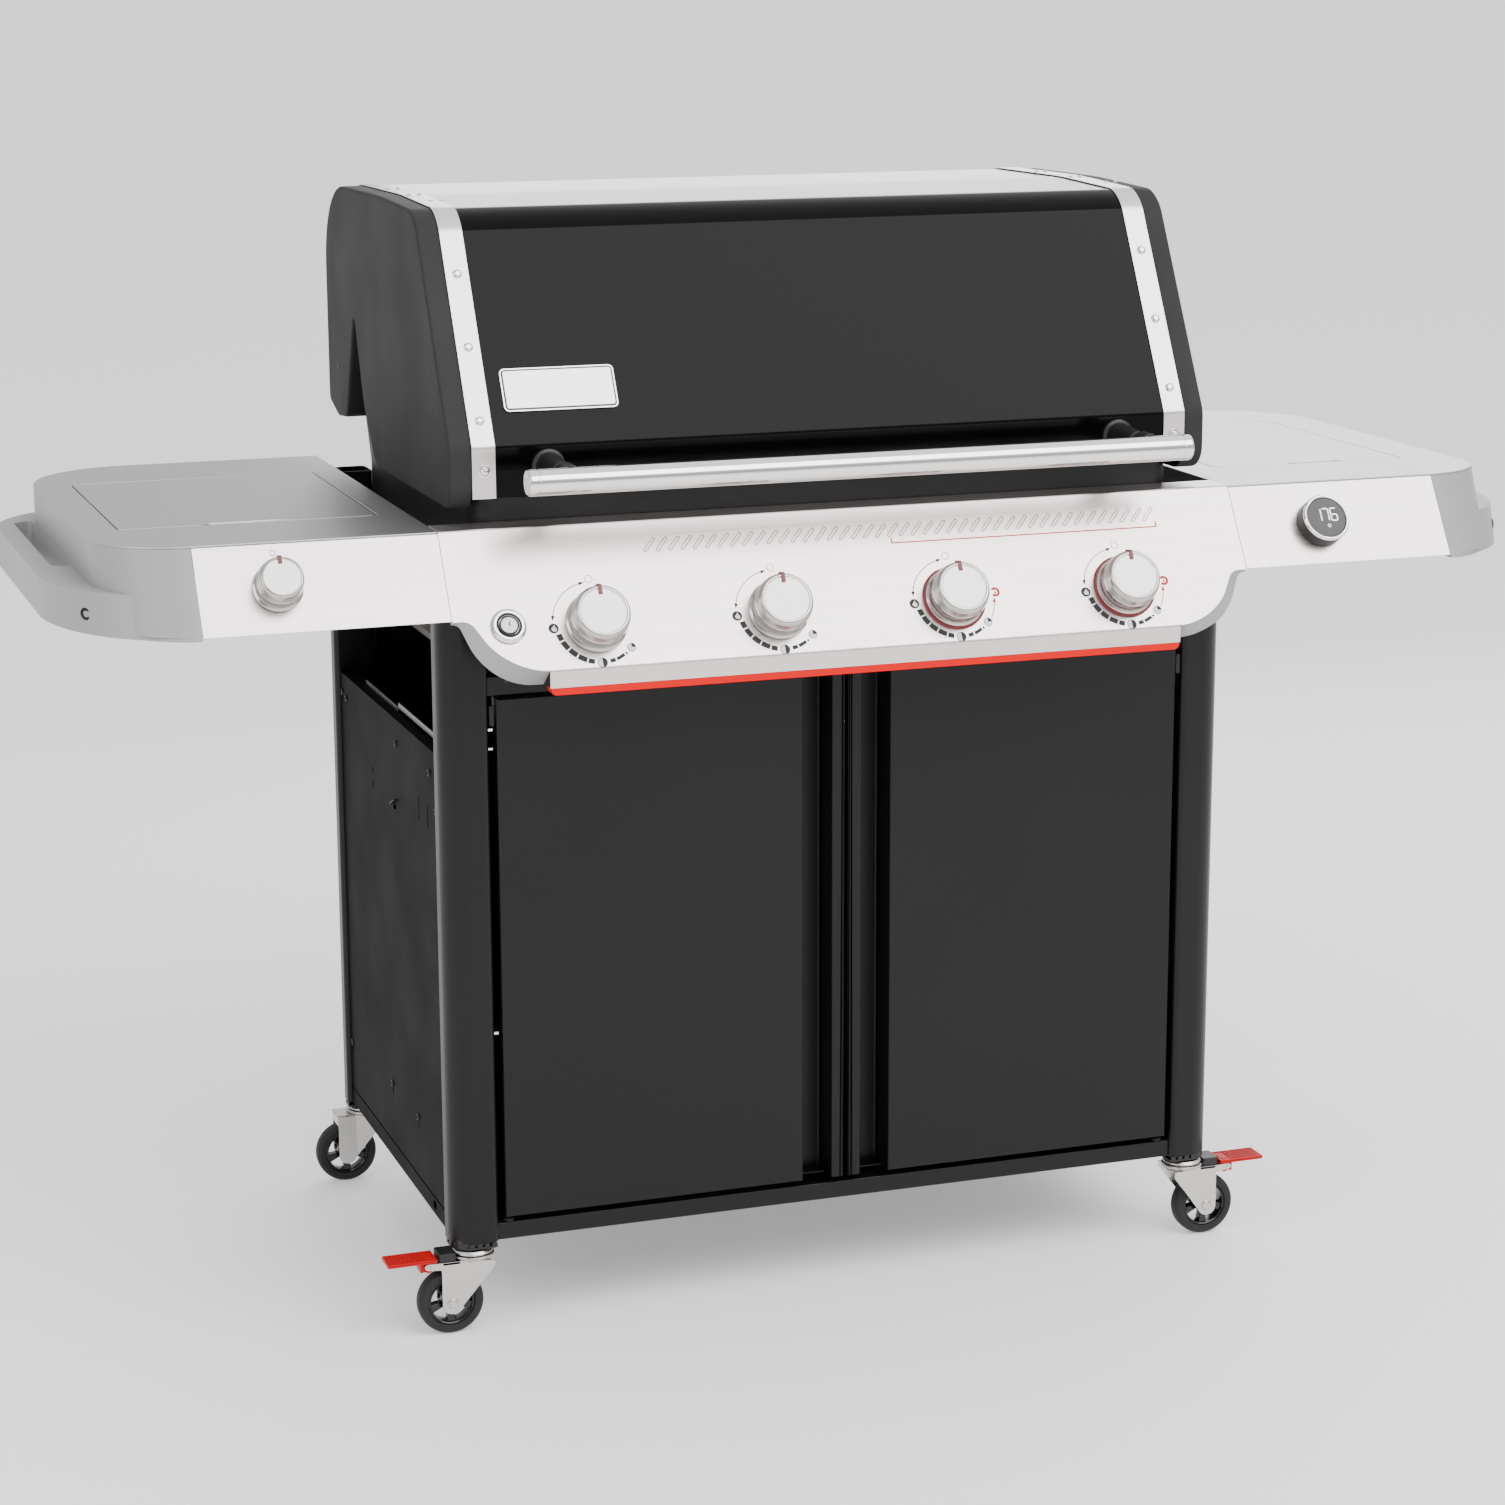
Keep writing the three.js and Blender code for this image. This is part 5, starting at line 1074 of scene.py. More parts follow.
for word, side in SIDES:
    bm = bmesh.new()
    # The wall under the deck, open inside
    wall = bmesh.new()
    top = deck_foot - 0.0003
    draw_line(wall, [(cap_seam, deck_lo.y, GRIP_FOOT + 0.004), (deck_hi.x, deck_lo.y, GRIP_FOOT + 0.004, 0.094),
                     (deck_hi.x, deck_hi.y, GRIP_FOOT + 0.004, 0.125), (cap_seam, deck_hi.y, GRIP_FOOT + 0.004)],
              closed=True, segments=24)
    base = fill_flat(wall)
    made = bmesh.ops.extrude_face_region(wall, geom=base)
    roof = pull(wall, made, (0, 0, top - GRIP_FOOT - 0.004))
    cap_face = [f for f in wall.faces if all(v in roof for v in f.verts)]
    ring = bmesh.ops.inset_region(wall, faces=cap_face, thickness=0.0045, depth=0)
    pull(wall, bmesh.ops.extrude_discrete_faces(wall, faces=cap_face), (0, 0, 0)) if False else None
    well = bmesh.ops.extrude_face_region(wall, geom=cap_face)
    sunk = pull(wall, well, (0, 0, -0.070))
    bmesh.ops.delete(wall, geom=[f for f in cap_face if f.is_valid], context="FACES_ONLY")
    rim = [e for e in wall.edges if all(abs(v.co.z - top) < 1e-6 for v in e.verts)
           and any(abs(f.normal.z) < 0.3 for f in e.link_faces) and max(v.co.y for v in e.verts) < deck_hi.y - 1e-4
           or all(abs(v.co.z - top) < 1e-6 for v in e.verts) and e.calc_face_angle(0) > 1.2]
    bmesh.ops.bevel(wall, geom=rim, offset=0.0016, offset_type="OFFSET", segments=3, profile=0.5,
                    affect="EDGES", material=-1, clamp_overlap=True)
    lean_out(wall)
    join(bm, wall)
    # The rail, a flat band swept out at the front corner, with its slot
    rail = bmesh.new()
    outline = [(cap_seam, deck_lo.y, GRIP_FOOT), (grip_out - 0.116, deck_lo.y, GRIP_FOOT, 0.070),
               (grip_out - 0.049, deck_lo.y + 0.039, GRIP_FOOT, 0.120), (grip_out, deck_lo.y + 0.096, GRIP_FOOT, 0.120),
               (grip_out, cap_hi.y, GRIP_FOOT, 0.125), (cap_seam, cap_hi.y, GRIP_FOOT)]
    draw_line(rail, outline, closed=True, segments=14)
    draw_line(rail, [(deck_hi.x + 0.0003, slot_front, GRIP_FOOT, 0.006), (grip_out - GRIP, slot_front + 0.010, GRIP_FOOT, 0.010),
                     (grip_out - GRIP, slot_rear - 0.010, GRIP_FOOT, 0.010), (deck_hi.x + 0.0003, slot_rear, GRIP_FOOT, 0.006)],
              closed=True, segments=6)
    bmesh.ops.triangle_fill(rail, edges=rail.edges[:], use_beauty=True)
    made = bmesh.ops.extrude_face_region(rail, geom=rail.faces[:])
    pull(rail, made, (0, 0, GRIP_TOP - GRIP_FOOT))
    rim = [e for e in rail.edges if len(e.link_faces) == 2 and e.calc_face_angle(0) > 1.2
           and abs(e.verts[0].co.z - e.verts[1].co.z) < 1e-6
           and not all(abs(v.co.x - cap_seam) < 1e-6 for v in e.verts)]
    bmesh.ops.bevel(rail, geom=rim, offset=0.0075, offset_type="OFFSET", segments=6, profile=0.5,
                    affect="EDGES", material=-1, clamp_overlap=True)
    lean_out(rail)
    join(bm, rail)
    flip(bm, side)
    make_piece(f"shelf_end_moulding_{word}", bm, grey_abs, "grill_body",
               [f"shelf_end_cap_{word}"], smooth=38)
    # A screw recess in the rail's front outer corner
    bm = bmesh.new()
    spun(bm, [(0, -0.0015), (0.0030, -0.0015), (0.0034, 0.0002), (0.0052, 0.0007, 0.0004), (0.0062, 0.0002)],
         (0, 0, 0), (0, 0, 1), (1, 0, 0), steps=24)
    aim = Matrix.Translation((grip_out - 0.0327, deck_lo.y + 0.0580, GRIP_FOOT + 0.020)) @ \
        Vector((0.66, -0.75, 0)).to_track_quat("Z", "Y").to_matrix().to_4x4()
    bmesh.ops.transform(bm, matrix=aim, verts=bm.verts)
    lean_out(bm)
    flip(bm, side)
    make_piece(f"shelf_rail_screw_{word}", bm, dark_steel_and_hole_shade, "grill_body")

# ---------------------------------------------------------------- side burner
# Under the left lid: a black pressed bowl, a cast burner head with a ring of ports, a wire pan
# support, and the tap behind its knob.
# Satin vitreous enamel on the bowl
bowl_enamel = grained("satin_black_enamel", "151516", 0.32, 0.0015, 0.00003, specular=0.4)
# Cast aluminium burner head, sand-cast grain
cast_metal = grained("sand_cast_aluminium", "8d8b89", 0.5, 0.0012, 0.00012, metallic=0.9)
x0, x1, y0, y1 = lid_frame("side_burner_lid")
lo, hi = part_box("side_burner")
well_top, well_foot = hi.z, hi.z - 0.052
centre = ((x0 + x1) / 2, (y0 + y1) / 2)


def pressed_well(bm, x0, x1, y0, y1, top, foot):
    """A round-cornered pressed tray with a flat rim."""
    part = bmesh.new()
    draw_line(part, [(x0, y0, top, 0.008), (x1, y0, top, 0.008), (x1, y1, top, 0.008), (x0, y1, top, 0.008)],
              closed=True, segments=4)
    floor = fill_flat(part)
    bmesh.ops.inset_region(part, faces=floor, thickness=0.014, depth=0, use_boundary=True)
    sunk = bmesh.ops.extrude_face_region(part, geom=floor)
    pull(part, sunk, (0, 0, foot - top))
    bmesh.ops.delete(part, geom=[f for f in floor if f.is_valid], context="FACES_ONLY")
    bends = [e for e in part.edges if len(e.link_faces) == 2 and e.calc_face_angle(0) > 0.9]
    bmesh.ops.bevel(part, geom=bends, offset=0.004, offset_type="OFFSET", segments=4, profile=0.5,
                    affect="EDGES", material=-1)
    carrier = bpy.data.meshes.new("carrier")
    part.to_mesh(carrier)
    part.free()
    bm.from_mesh(carrier)
    bpy.data.meshes.remove(carrier)


bm = bmesh.new()
pressed_well(bm, x0 - 0.003, x1 + 0.003, y0 - 0.003, y1 + 0.003, well_top - 0.0001, well_foot + 0.001)
flip(bm, -1)
bowl = make_piece("side_burner_bowl", bm, bowl_enamel, "grill_body", ["side_burner"],
                  toward=(0, 0, 1))
thicken(bowl, 0.0010)
bm = bmesh.new()
spun(bm, [(0, 0.001), (0.030, 0.001), (0.030, 0.010, 0.001), (0.040, 0.014, 0.002), (0.040, 0.020, 0.001),
          (0.034, 0.0205), (0.034, 0.024, 0.001), (0.026, 0.028, 0.004), (0, 0.029)],
     (centre[0], centre[1], well_foot + 0.001), (0, 0, 1), (1, 0, 0), steps=72)
ports = [f for f in bm.faces if abs(f.normal.z) < 0.4 and
         well_foot + 0.015 < f.calc_center_median().z < well_foot + 0.0215][::2]
bmesh.ops.inset_individual(bm, faces=ports, thickness=0.0005, depth=-0.0012)
flip(bm, -1)
make_piece("side_burner_head", bm, cast_metal, "grill_body")


def rod_path(bm, corners, radius, sides=10, bend=4):
    """A round bar along a bent line."""
    line = bmesh.new()
    draw_line(line, corners, segments=bend)
    line.verts.ensure_lookup_table()
    ends = [v for v in line.verts if len(v.link_edges) == 1]
    start = min(ends, key=lambda v: (v.co - Vector(corners[0][:3])).length)
    path, last = [start], None
    while True:
        ahead = [e.other_vert(path[-1]) for e in path[-1].link_edges if e.other_vert(path[-1]) is not last]
        if not ahead:
            break
        last = path[-1]
        path.append(ahead[0])
    spots = [v.co.copy() for v in path]
    line.free()
    part = bmesh.new()
    loops = []
    up = Vector((0.13, 0.21, 0.97)).normalized()
    for i, spot in enumerate(spots):
        way = (spots[min(i + 1, len(spots) - 1)] - spots[max(i - 1, 0)]).normalized()
        side_way = way.cross(up).normalized()
        up = side_way.cross(way).normalized()
        ring = bmesh.ops.create_circle(part, segments=sides, radius=radius, cap_ends=i in (0, len(spots) - 1))
        turn = Matrix((side_way, up, way)).transposed().to_4x4()
        bmesh.ops.transform(part, matrix=Matrix.Translation(spot) @ turn, verts=ring["verts"])
        loops.append(ring["verts"])
    for a, b in zip(loops, loops[1:]):
        near = [e for v in a for e in v.link_edges if e.other_vert(v) in a]
        far = [e for v in b for e in v.link_edges if e.other_vert(v) in b]
        bmesh.ops.bridge_loops(part, edges=list(set(near + far)))
    join(bm, part)


bm = bmesh.new()
level = well_top - 0.006
for a, b in (((x0 + 0.006, centre[1]), (x1 - 0.006, centre[1])), ((centre[0], y0 + 0.006), (centre[0], y1 - 0.006))):
    rod_path(bm, [(*a, level), (*b, level)], 0.0032)
for a, b in (((x0 + 0.030, y0 + 0.030), (x1 - 0.030, y1 - 0.030)), ((x0 + 0.030, y1 - 0.030), (x1 - 0.030, y0 + 0.030))):
    rod_path(bm, [(*a, level - 0.0064), (*b, level - 0.0064)], 0.0032)
ring_corners = [(centre[0] - 0.062, centre[1] - 0.062, level - 0.0064, 0.055),
                (centre[0] + 0.062, centre[1] - 0.062, level - 0.0064, 0.055),
                (centre[0] + 0.062, centre[1] + 0.062, level - 0.0064, 0.055),
                (centre[0] - 0.062, centre[1] + 0.062, level - 0.0064, 0.055)]
rod_path(bm, [(centre[0], centre[1] - 0.062, level - 0.0064)] + ring_corners[1:] + ring_corners[:1]
         + [(centre[0], centre[1] - 0.062, level - 0.0064)], 0.0028, bend=8)
flip(bm, -1)
# Vitreous enamel on steel wire
wire_enamel = grained("enamelled_wire", "1a1a1b", 0.36, 0.002, 0.00002, specular=0.4)
make_piece("side_burner_pan_support", bm, wire_enamel, "grill_body", smooth=60)
# Machined brass, dull with handling
brass = grained("machined_brass", "b08d4a", 0.34, 0.0015, 0.00002, metallic=1.0)
bm = bmesh.new()
spun(bm, [(0, -0.046), (0.007, -0.046), (0.0105, -0.044, 0.001), (0.0105, -0.030), (0.0085, -0.029),
          (0.0085, -0.022), (0.0110, -0.021, 0.0006), (0.0110, -0.0165), (0, -0.0165)],
     (0, 0, 0), (0, 0, 1), (1, 0, 0), steps=24)
lo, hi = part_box("side_burner_knob")
spot = face.inverted() @ ((lo + hi) / 2)
tap = face @ Matrix.Translation((spot.x, -0.053, 0))
bmesh.ops.transform(bm, matrix=tap, verts=bm.verts)
end = tap @ Vector((0, 0, -0.042))
rod_path(bm, [end, (end.x, end.y + 0.022, end.z, 0.012), (end.x, y0 + 0.004, well_foot - 0.004, 0.010),
              (-centre[0], y0 + 0.040, well_foot - 0.006, 0.02), (-centre[0], centre[1], well_foot - 0.006)], 0.0045)
make_piece("side_burner_tap", bm, brass, "grill_body", smooth=50)

# ---------------------------------------------------------------- storage well
# Under the right lid: a pressed stainless well, part of the deck.
x0, x1, y0, y1 = lid_frame("compartment_lid")
bm = bmesh.new()
pressed_well(bm, x0 - 0.003, x1 + 0.003, y0 - 0.003, y1 + 0.003, well_top - 0.0001, well_foot + 0.001)
well = make_piece("storage_well", bm, deck_steel, "grill_body", toward=(0, 0, 1))
thicken(well, 0.0010)

# ---------------------------------------------------------------- shelf lid hinges
# Two small black leaf hinges under the back edge of each shelf lid.
for word, side in SIDES:
    x0, x1, y0, y1 = lid_frame(LIDS[word]["node"])
    bm = bmesh.new()
    for x in (x0 + 0.045, x1 - 0.045):
        rod_path(bm, [(x - 0.016, y1 + 0.0002, deck_hi.z - 0.0042), (x + 0.016, y1 + 0.0002, deck_hi.z - 0.0042)], 0.0019)
    flip(bm, side)
    make_piece(f"shelf_lid_hinge_{word}", bm, dark_steel_and_hole_shade, "grill_body", smooth=60)


# ---------------------------------------------------------------- cookbox
# The cast aluminium tub under the lid: upright walls, a rolled rim and a funnel to the grease
# outlet. High-heat paint makes it satin black. Bolted cheek plates at the back carry the lid.
# Sand-cast skin under high-heat paint: pits about 1.5 mm across, and a soft satin gloss.
cast_paint = grained("high_heat_paint_on_casting", "191919", 0.48, 0.0015, 0.00018, specular=0.4, drift=0.08)

box_top, box_waist, box_foot = lid_lo.z + 0.0105, lid_lo.z - 0.1925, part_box("cookbox")[0].z
box_front, box_rear = lid_lo.y + 0.0215, lid_hi.y - 0.0659
box_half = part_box("cooking_grate_right")[1].x + 0.015
box_middle = (box_front + box_rear) / 2
OUTLET = 0.48
bm = bmesh.new()
draw_line(bm, [(-box_half, box_front, box_waist, 0.028), (box_half, box_front, box_waist, 0.028),
               (box_half, box_rear, box_waist, 0.028), (-box_half, box_rear, box_waist, 0.028)],
          closed=True, segments=8)
outline = bm.edges[:]
wall = pull(bm, bmesh.ops.extrude_edge_only(bm, edges=outline), (0, 0, box_top - 0.004 - box_waist))
rim = [e for e in bm.edges if all(v in wall for v in e.verts)]
roll = pull(bm, bmesh.ops.extrude_edge_only(bm, edges=rim), (0, 0, 0.004))
bmesh.ops.scale(bm, vec=(1 - 0.003 / box_half, 1 - 0.003 / (box_middle - box_front), 1), verts=roll,
                space=Matrix.Translation((0, -box_middle, 0)))
knee = pull(bm, bmesh.ops.extrude_edge_only(bm, edges=outline), (0, 0, -0.003))
bmesh.ops.scale(bm, vec=(0.995, 0.992, 1), verts=knee, space=Matrix.Translation((0, -box_middle, 0)))
waist = [e for e in bm.edges if all(v in knee for v in e.verts)]
foot = pull(bm, bmesh.ops.extrude_edge_only(bm, edges=waist), (0, 0, box_foot - box_waist + 0.003))
bmesh.ops.scale(bm, vec=(OUTLET, OUTLET, 1), verts=foot, space=Matrix.Translation((0, -box_middle, 0)))
tub = make_piece("cookbox_casting", bm, cast_paint, "grill_body", ["cookbox"],
                 toward=(0, -1, 0), smooth=50)
thicken(tub, 0.003)
soften(tub, 0.0008)

# Pressed steel: cheek plates with the lid's hinge pins, the raised back, and the two angles that
# the grease tray slides in
bm = bmesh.new()
for word, side in SIDES:
    part = bmesh.new()
    draw_line(part, [
        (box_half - 0.006, box_rear - 0.040, box_top - 0.060, 0.004),
        (box_half - 0.006, box_rear - 0.028, box_top - 0.060, 0.004),
        (box_half - 0.006, hinge_y - 0.008, box_top, 0.02),
        (box_half - 0.006, hinge_y + 0.018, hinge_z - 0.020, 0.012),
        (box_half - 0.006, hinge_y + 0.018, hinge_z + 0.016, 0.012),
        (box_half - 0.006, hinge_y - 0.020, hinge_z + 0.020, 0.012),
        (box_half - 0.006, box_rear - 0.040, hinge_z, 0.02),
    ], closed=True, segments=5)
    pull(part, bmesh.ops.extrude_face_region(part, geom=fill_flat(part)), (0.0045, 0, 0))
    flip(part, side)
    join(bm, part)
    part = bmesh.new()
    spun(part, [(0, -0.008), (0.009, -0.008, 0.001), (0.009, -0.002), (0.006, -0.002), (0.006, 0.0265, 0.001),
                (0, 0.0265)], (box_half, hinge_y, hinge_z), (1, 0, 0), (0, 0, 1), steps=32)
    flip(part, side)
    join(bm, part)
    part = bmesh.new()
    tray_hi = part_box("grease_tray")[1]
    web = tray_hi.x + 0.003
    draw_line(part, [(web, box_middle - 0.132, box_waist - 0.008), (web, box_middle - 0.132, tray_hi.z - 0.003, 0.001),
                     (web - 0.011, box_middle - 0.132, tray_hi.z - 0.003)], segments=3)
    pull(part, bmesh.ops.extrude_edge_only(part, edges=part.edges[:]), (0, 0.260, 0))
    bmesh.ops.solidify(part, geom=part.faces[:], thickness=0.0012)
    flip(part, side)
    join(bm, part)
part = bmesh.new()
draw_line(part, [(-box_half + 0.003, box_rear - 0.002, box_top - 0.008), (-box_half + 0.003, hinge_y - 0.026, box_top + 0.012),
                 (-box_half + 0.003, hinge_y - 0.026, hinge_z - 0.013)])
pull(part, bmesh.ops.extrude_edge_only(part, edges=part.edges[:]), (2 * box_half - 0.006, 0, 0))
bmesh.ops.solidify(part, geom=part.faces[:], thickness=0.0012)
join(bm, part)
fittings = make_piece("cookbox_fittings", bm, cast_paint, "grill_body")
soften(fittings, 0.0004)

# ---------------------------------------------------------------- burners
# Four straight stainless tubes and a shorter-ported one for searing. Each is closed at the back
# and drilled with a row of gas ports along both sides.
# Drawn stainless tube, straw and blue where the flame has been: a mottle of heat tint 40 mm long.
burner_tube_steel, tree, shader = new_finish("drawn_stainless_tube", base_color="b9b2aa", metallic=1.0,
                                             roughness=0.34)
place = add_node(tree, "ShaderNodeTexCoord")
heat = add_node(tree, "ShaderNodeTexNoise", {"Vector": place.outputs["Object"], "Scale": 25.0, "Detail": 2.0})
tint = add_node(tree, "ShaderNodeValToRGB", {"Fac": heat.outputs["Fac"]})
tint.color_ramp.elements[0].position = 0.35
tint.color_ramp.elements[0].color = linear("bdb6ae")
tint.color_ramp.elements[1].position = 0.7
tint.color_ramp.elements[1].color = linear("a8957c")
tree.links.new(tint.outputs["Color"], shader.inputs["Base Color"])
drawn = add_node(tree, "ShaderNodeMapping", {"Vector": place.outputs["Object"], "Scale": [900, 12, 900]})
lines = add_node(tree, "ShaderNodeTexNoise", {"Vector": drawn.outputs["Vector"], "Scale": 1.0})
relief = add_node(tree, "ShaderNodeBump", {"Height": lines.outputs["Fac"], "Strength": 0.3, "Distance": 0.00003})
tree.links.new(relief.outputs["Normal"], shader.inputs["Normal"])

BURNERS = [f"burner_tube_{i}" for i in (1, 2, 3, 4)] + ["sear_burner"]
ports = bmesh.new()
for node in BURNERS:
    lo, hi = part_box(node)
    x, z, radius = (lo.x + hi.x) / 2, (lo.z + hi.z) / 2, (hi.x - lo.x) / 2
    bm = bmesh.new()
    spun(bm, [(radius - 0.0015, 0.120), (radius - 0.0015, 0), (radius + 0.0001, 0, 0.0004), (radius, 0.034, 0.001),
              (radius - 0.0012, 0.036, 0.001), (radius, 0.038, 0.001), (radius, hi.y - lo.y - 0.004, 0.003),
              (radius * 0.55, hi.y - lo.y, 0.002), (0, hi.y - lo.y)],
         (x, lo.y, z), (0, 1, 0), (1, 0, 0), steps=36)
    make_piece(f"{node}_drawn", bm, burner_tube_steel, "grill_body", [node], smooth=50,
               toward=(1, 0, 0))
    pitch = 0.010 if node == "sear_burner" else 0.016
    for side in (1, -1):
        out = Vector((side * math.cos(math.radians(25)), 0, math.sin(math.radians(25))))
        y = lo.y + 0.085
        while y < hi.y - 0.020:
            spun(ports, [(0, 0.0002), (0.0011, 0.0002), (0.0013, -0.0004)],
                 Vector((x, y, z)) + out * radius, out, (0, 1, 0), steps=8)
            y += pitch
# Dark discs laid on the tubes where the gas ports are: painted shade inside the holes
make_piece("burner_port_shade_discs", ports, dark_steel_and_hole_shade, "grill_body")
# The spark electrode: a white glazed ceramic rod with a bent wire, clipped beside the first burner
ceramic = grained("glazed_ceramic", "e9e6df", 0.22, 0.003, 0.00001, drift=0.02)
lo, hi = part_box("burner_tube_1")
bm = bmesh.new()
spun(bm, [(0, 0), (0.0035, 0, 0.0005), (0.0035, 0.020), (0.0048, 0.021), (0.0048, 0.024), (0.0035, 0.025),
          (0.0035, 0.048, 0.001), (0, 0.048)], (hi.x + 0.012, lo.y + 0.060, hi.z - 0.006), (0, 1, 0), (1, 0, 0), steps=20)
make_piece("spark_electrode_insulator", bm, ceramic, "grill_body")
bm = bmesh.new()
rod_path(bm, [(hi.x + 0.012, lo.y + 0.106, hi.z - 0.006), (hi.x + 0.012, lo.y + 0.122, hi.z - 0.006, 0.004),
              (hi.x - 0.001, lo.y + 0.126, hi.z + 0.003)], 0.0010, sides=8)
rod_path(bm, [(hi.x + 0.012, lo.y + 0.061, hi.z - 0.006), (hi.x + 0.012, lo.y + 0.020, hi.z - 0.010, 0.01),
              (hi.x + 0.002, lo.y + 0.004, hi.z - 0.030)], 0.0014, sides=8)
make_piece("spark_electrode_wire", bm, dark_steel_and_hole_shade, "grill_body", smooth=60)

# ---------------------------------------------------------------- heat tents
# Folded stainless roofs over the burners, browned a little by heat, lying on two cross bars.
# Stainless sheet, cold-rolled: lines along its length and a warm oxide cloud.
tent_sheet = brushed("heat_browned_stainless", "8f867d", 0.42, "Y", streak=0.0012, contrast=0.14)
lo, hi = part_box("heat_tents")
TENT = 0.038
bm = bmesh.new()
for node in BURNERS:
    burner_lo, burner_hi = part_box(node)
    x = (burner_lo.x + burner_hi.x) / 2
    part = bmesh.new()
    draw_line(part, [(x - TENT, lo.y, hi.z - 0.0355), (x - TENT + 0.004, lo.y, hi.z - 0.0310, 0.002), (x, lo.y, hi.z - 0.0012, 0.004),
                     (x + TENT - 0.004, lo.y, hi.z - 0.0310, 0.002), (x + TENT, lo.y, hi.z - 0.0355)], segments=4)
    pull(part, bmesh.ops.extrude_edge_only(part, edges=part.edges[:]), (0, hi.y - lo.y, 0))
    bmesh.ops.solidify(part, geom=part.faces[:], thickness=0.0012)
    join(bm, part)
bar_top = hi.z - 0.0352
for y in (box_front + 0.028, box_rear - 0.034):
    plate(bm, lo.x, hi.x, y, y + 0.006, bar_top - 0.005, bar_top - 0.0010, 0.001)
make_piece("heat_tents_folded", bm, tent_sheet, "grill_body", ["heat_tents"])

# ---------------------------------------------------------------- cooking grates
# Two cast iron grids of flat-topped bars, fired with matte enamel, that lift out of the tub.
# Matte enamel on iron: the casting's pits, 2 mm across, show through the glaze.
grate_enamel = grained("matte_enamel_on_cast_iron", "202021", 0.52, 0.0020, 0.00025, specular=0.45, drift=0.08)
for word, side in SIDES:
    lo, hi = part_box("cooking_grate_right")
    pitch = (hi.x - lo.x - 0.009) / 12
    middle = (lo.y + hi.y) / 2
    bm = bmesh.new()
    for i in range(13):
        x = lo.x + i * pitch
        plate(bm, x, x + 0.009, lo.y, hi.y, lo.z, hi.z, 0.0030, 0.0022)
    for y0, y1 in ((lo.y, lo.y + 0.009), (middle - 0.0045, middle + 0.0045), (hi.y - 0.009, hi.y)):
        plate(bm, lo.x, hi.x, y0, y1, lo.z + 0.0004, hi.z - 0.0016, 0.0030, 0.0018)
    flip(bm, side)
    make_piece(f"cooking_grid_{word}", bm, grate_enamel, "grill_body", [f"cooking_grate_{word}"],
               smooth=50)

# ---------------------------------------------------------------- warming rack
# Chromed steel wire, resistance-welded: two rails, a row of wires across and bent feet.
lo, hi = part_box("warming_rack")
WIRE = 0.0025
top = hi.z - WIRE
bm = bmesh.new()
for y in (lo.y + WIRE, hi.y - WIRE):
    rod_path(bm, [(lo.x + WIRE, y, lo.z + 0.0005), (lo.x + WIRE, y, top, 0.012), (hi.x - WIRE, y, top, 0.012),
                  (hi.x - WIRE, y, lo.z + 0.0005)], WIRE, sides=12)
for i in range(27):
    x = lo.x + 0.016 + i * (hi.x - lo.x - 0.032) / 26
    rod_path(bm, [(x, lo.y + 0.001, top - 0.0024), (x, hi.y - 0.001, top - 0.0024)], 0.0014, sides=8)
for x in (lo.x + WIRE, hi.x - WIRE):
    rod_path(bm, [(x, lo.y + WIRE, lo.z + 0.040), (x, hi.y - WIRE, lo.z + 0.040)], 0.0018, sides=8)
make_piece("warming_rack_wires", bm, chrome, "grill_body", ["warming_rack"], smooth=60)

# ---------------------------------------------------------------- gas manifold
# A steel pipe behind the panel with a brass tap for each knob, and an elbow where the hose joins.
# Zinc-plated steel pipe: bluish grey with a soft mottle of the plating's spangle, 5 mm across.
zinc_plate = grained("zinc_plated_pipe", "a3a6aa", 0.38, 0.005, 0.00001, metallic=0.9, drift=0.10)
lo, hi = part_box("gas_manifold")
pipe_y, pipe_z = hi.y - 0.0546 + 0.0368, lo.z + 0.034
burner_lo, burner_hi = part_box("burner_tube_1")
pipe_y, pipe_z = burner_lo.y - 0.0185, (burner_lo.z + burner_hi.z) / 2 - 0.014
bm = bmesh.new()
spun(bm, [(0, lo.x), (0.0095, lo.x, 0.001), (0.0095, hi.x, 0.001), (0, hi.x)], (0, pipe_y, pipe_z), (1, 0, 0), (0, 0, 1),
     steps=28)
spun(bm, [(0, -0.034), (0.0075, -0.034), (0.0075, -0.024), (0.0088, -0.024, 0.0005), (0.0088, 0), (0, 0.002)],
     (hi.x - 0.010, pipe_y, pipe_z), (0, 0, 1), (1, 0, 0), steps=24)
make_piece("manifold_pipe", bm, zinc_plate, "grill_body", ["gas_manifold"])
bm = bmesh.new()
for i in (1, 2, 3, 4):
    knob_lo, knob_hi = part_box(f"knob_{i}")
    spot = face.inverted() @ ((knob_lo + knob_hi) / 2)
    part = bmesh.new()
    spun(part, [(0, -0.046), (0.008, -0.046), (0.0115, -0.044, 0.001), (0.0115, -0.030), (0.0095, -0.029),
                (0.0095, -0.022), (0.0118, -0.021, 0.0006), (0.0118, -0.0165), (0, -0.0165)],
         (0, 0, 0), (0, 0, 1), (1, 0, 0), steps=24)
    tap = face @ Matrix.Translation((spot.x, -0.115, 0))
    bmesh.ops.transform(part, matrix=tap, verts=part.verts)
    join(bm, part)
    end = tap @ Vector((0, 0, -0.040))
    rod_path(bm, [end, (end.x, pipe_y, pipe_z)], 0.006, sides=16)
for node in BURNERS:
    burner_lo, burner_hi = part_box(node)
    x, z = (burner_lo.x + burner_hi.x) / 2, (burner_lo.z + burner_hi.z) / 2
    rod_path(bm, [(x, pipe_y, pipe_z), (x, pipe_y, z, 0.006), (x, burner_lo.y - 0.001, z)], 0.0055, sides=16)
make_piece("manifold_taps", bm, brass, "grill_body", smooth=50)

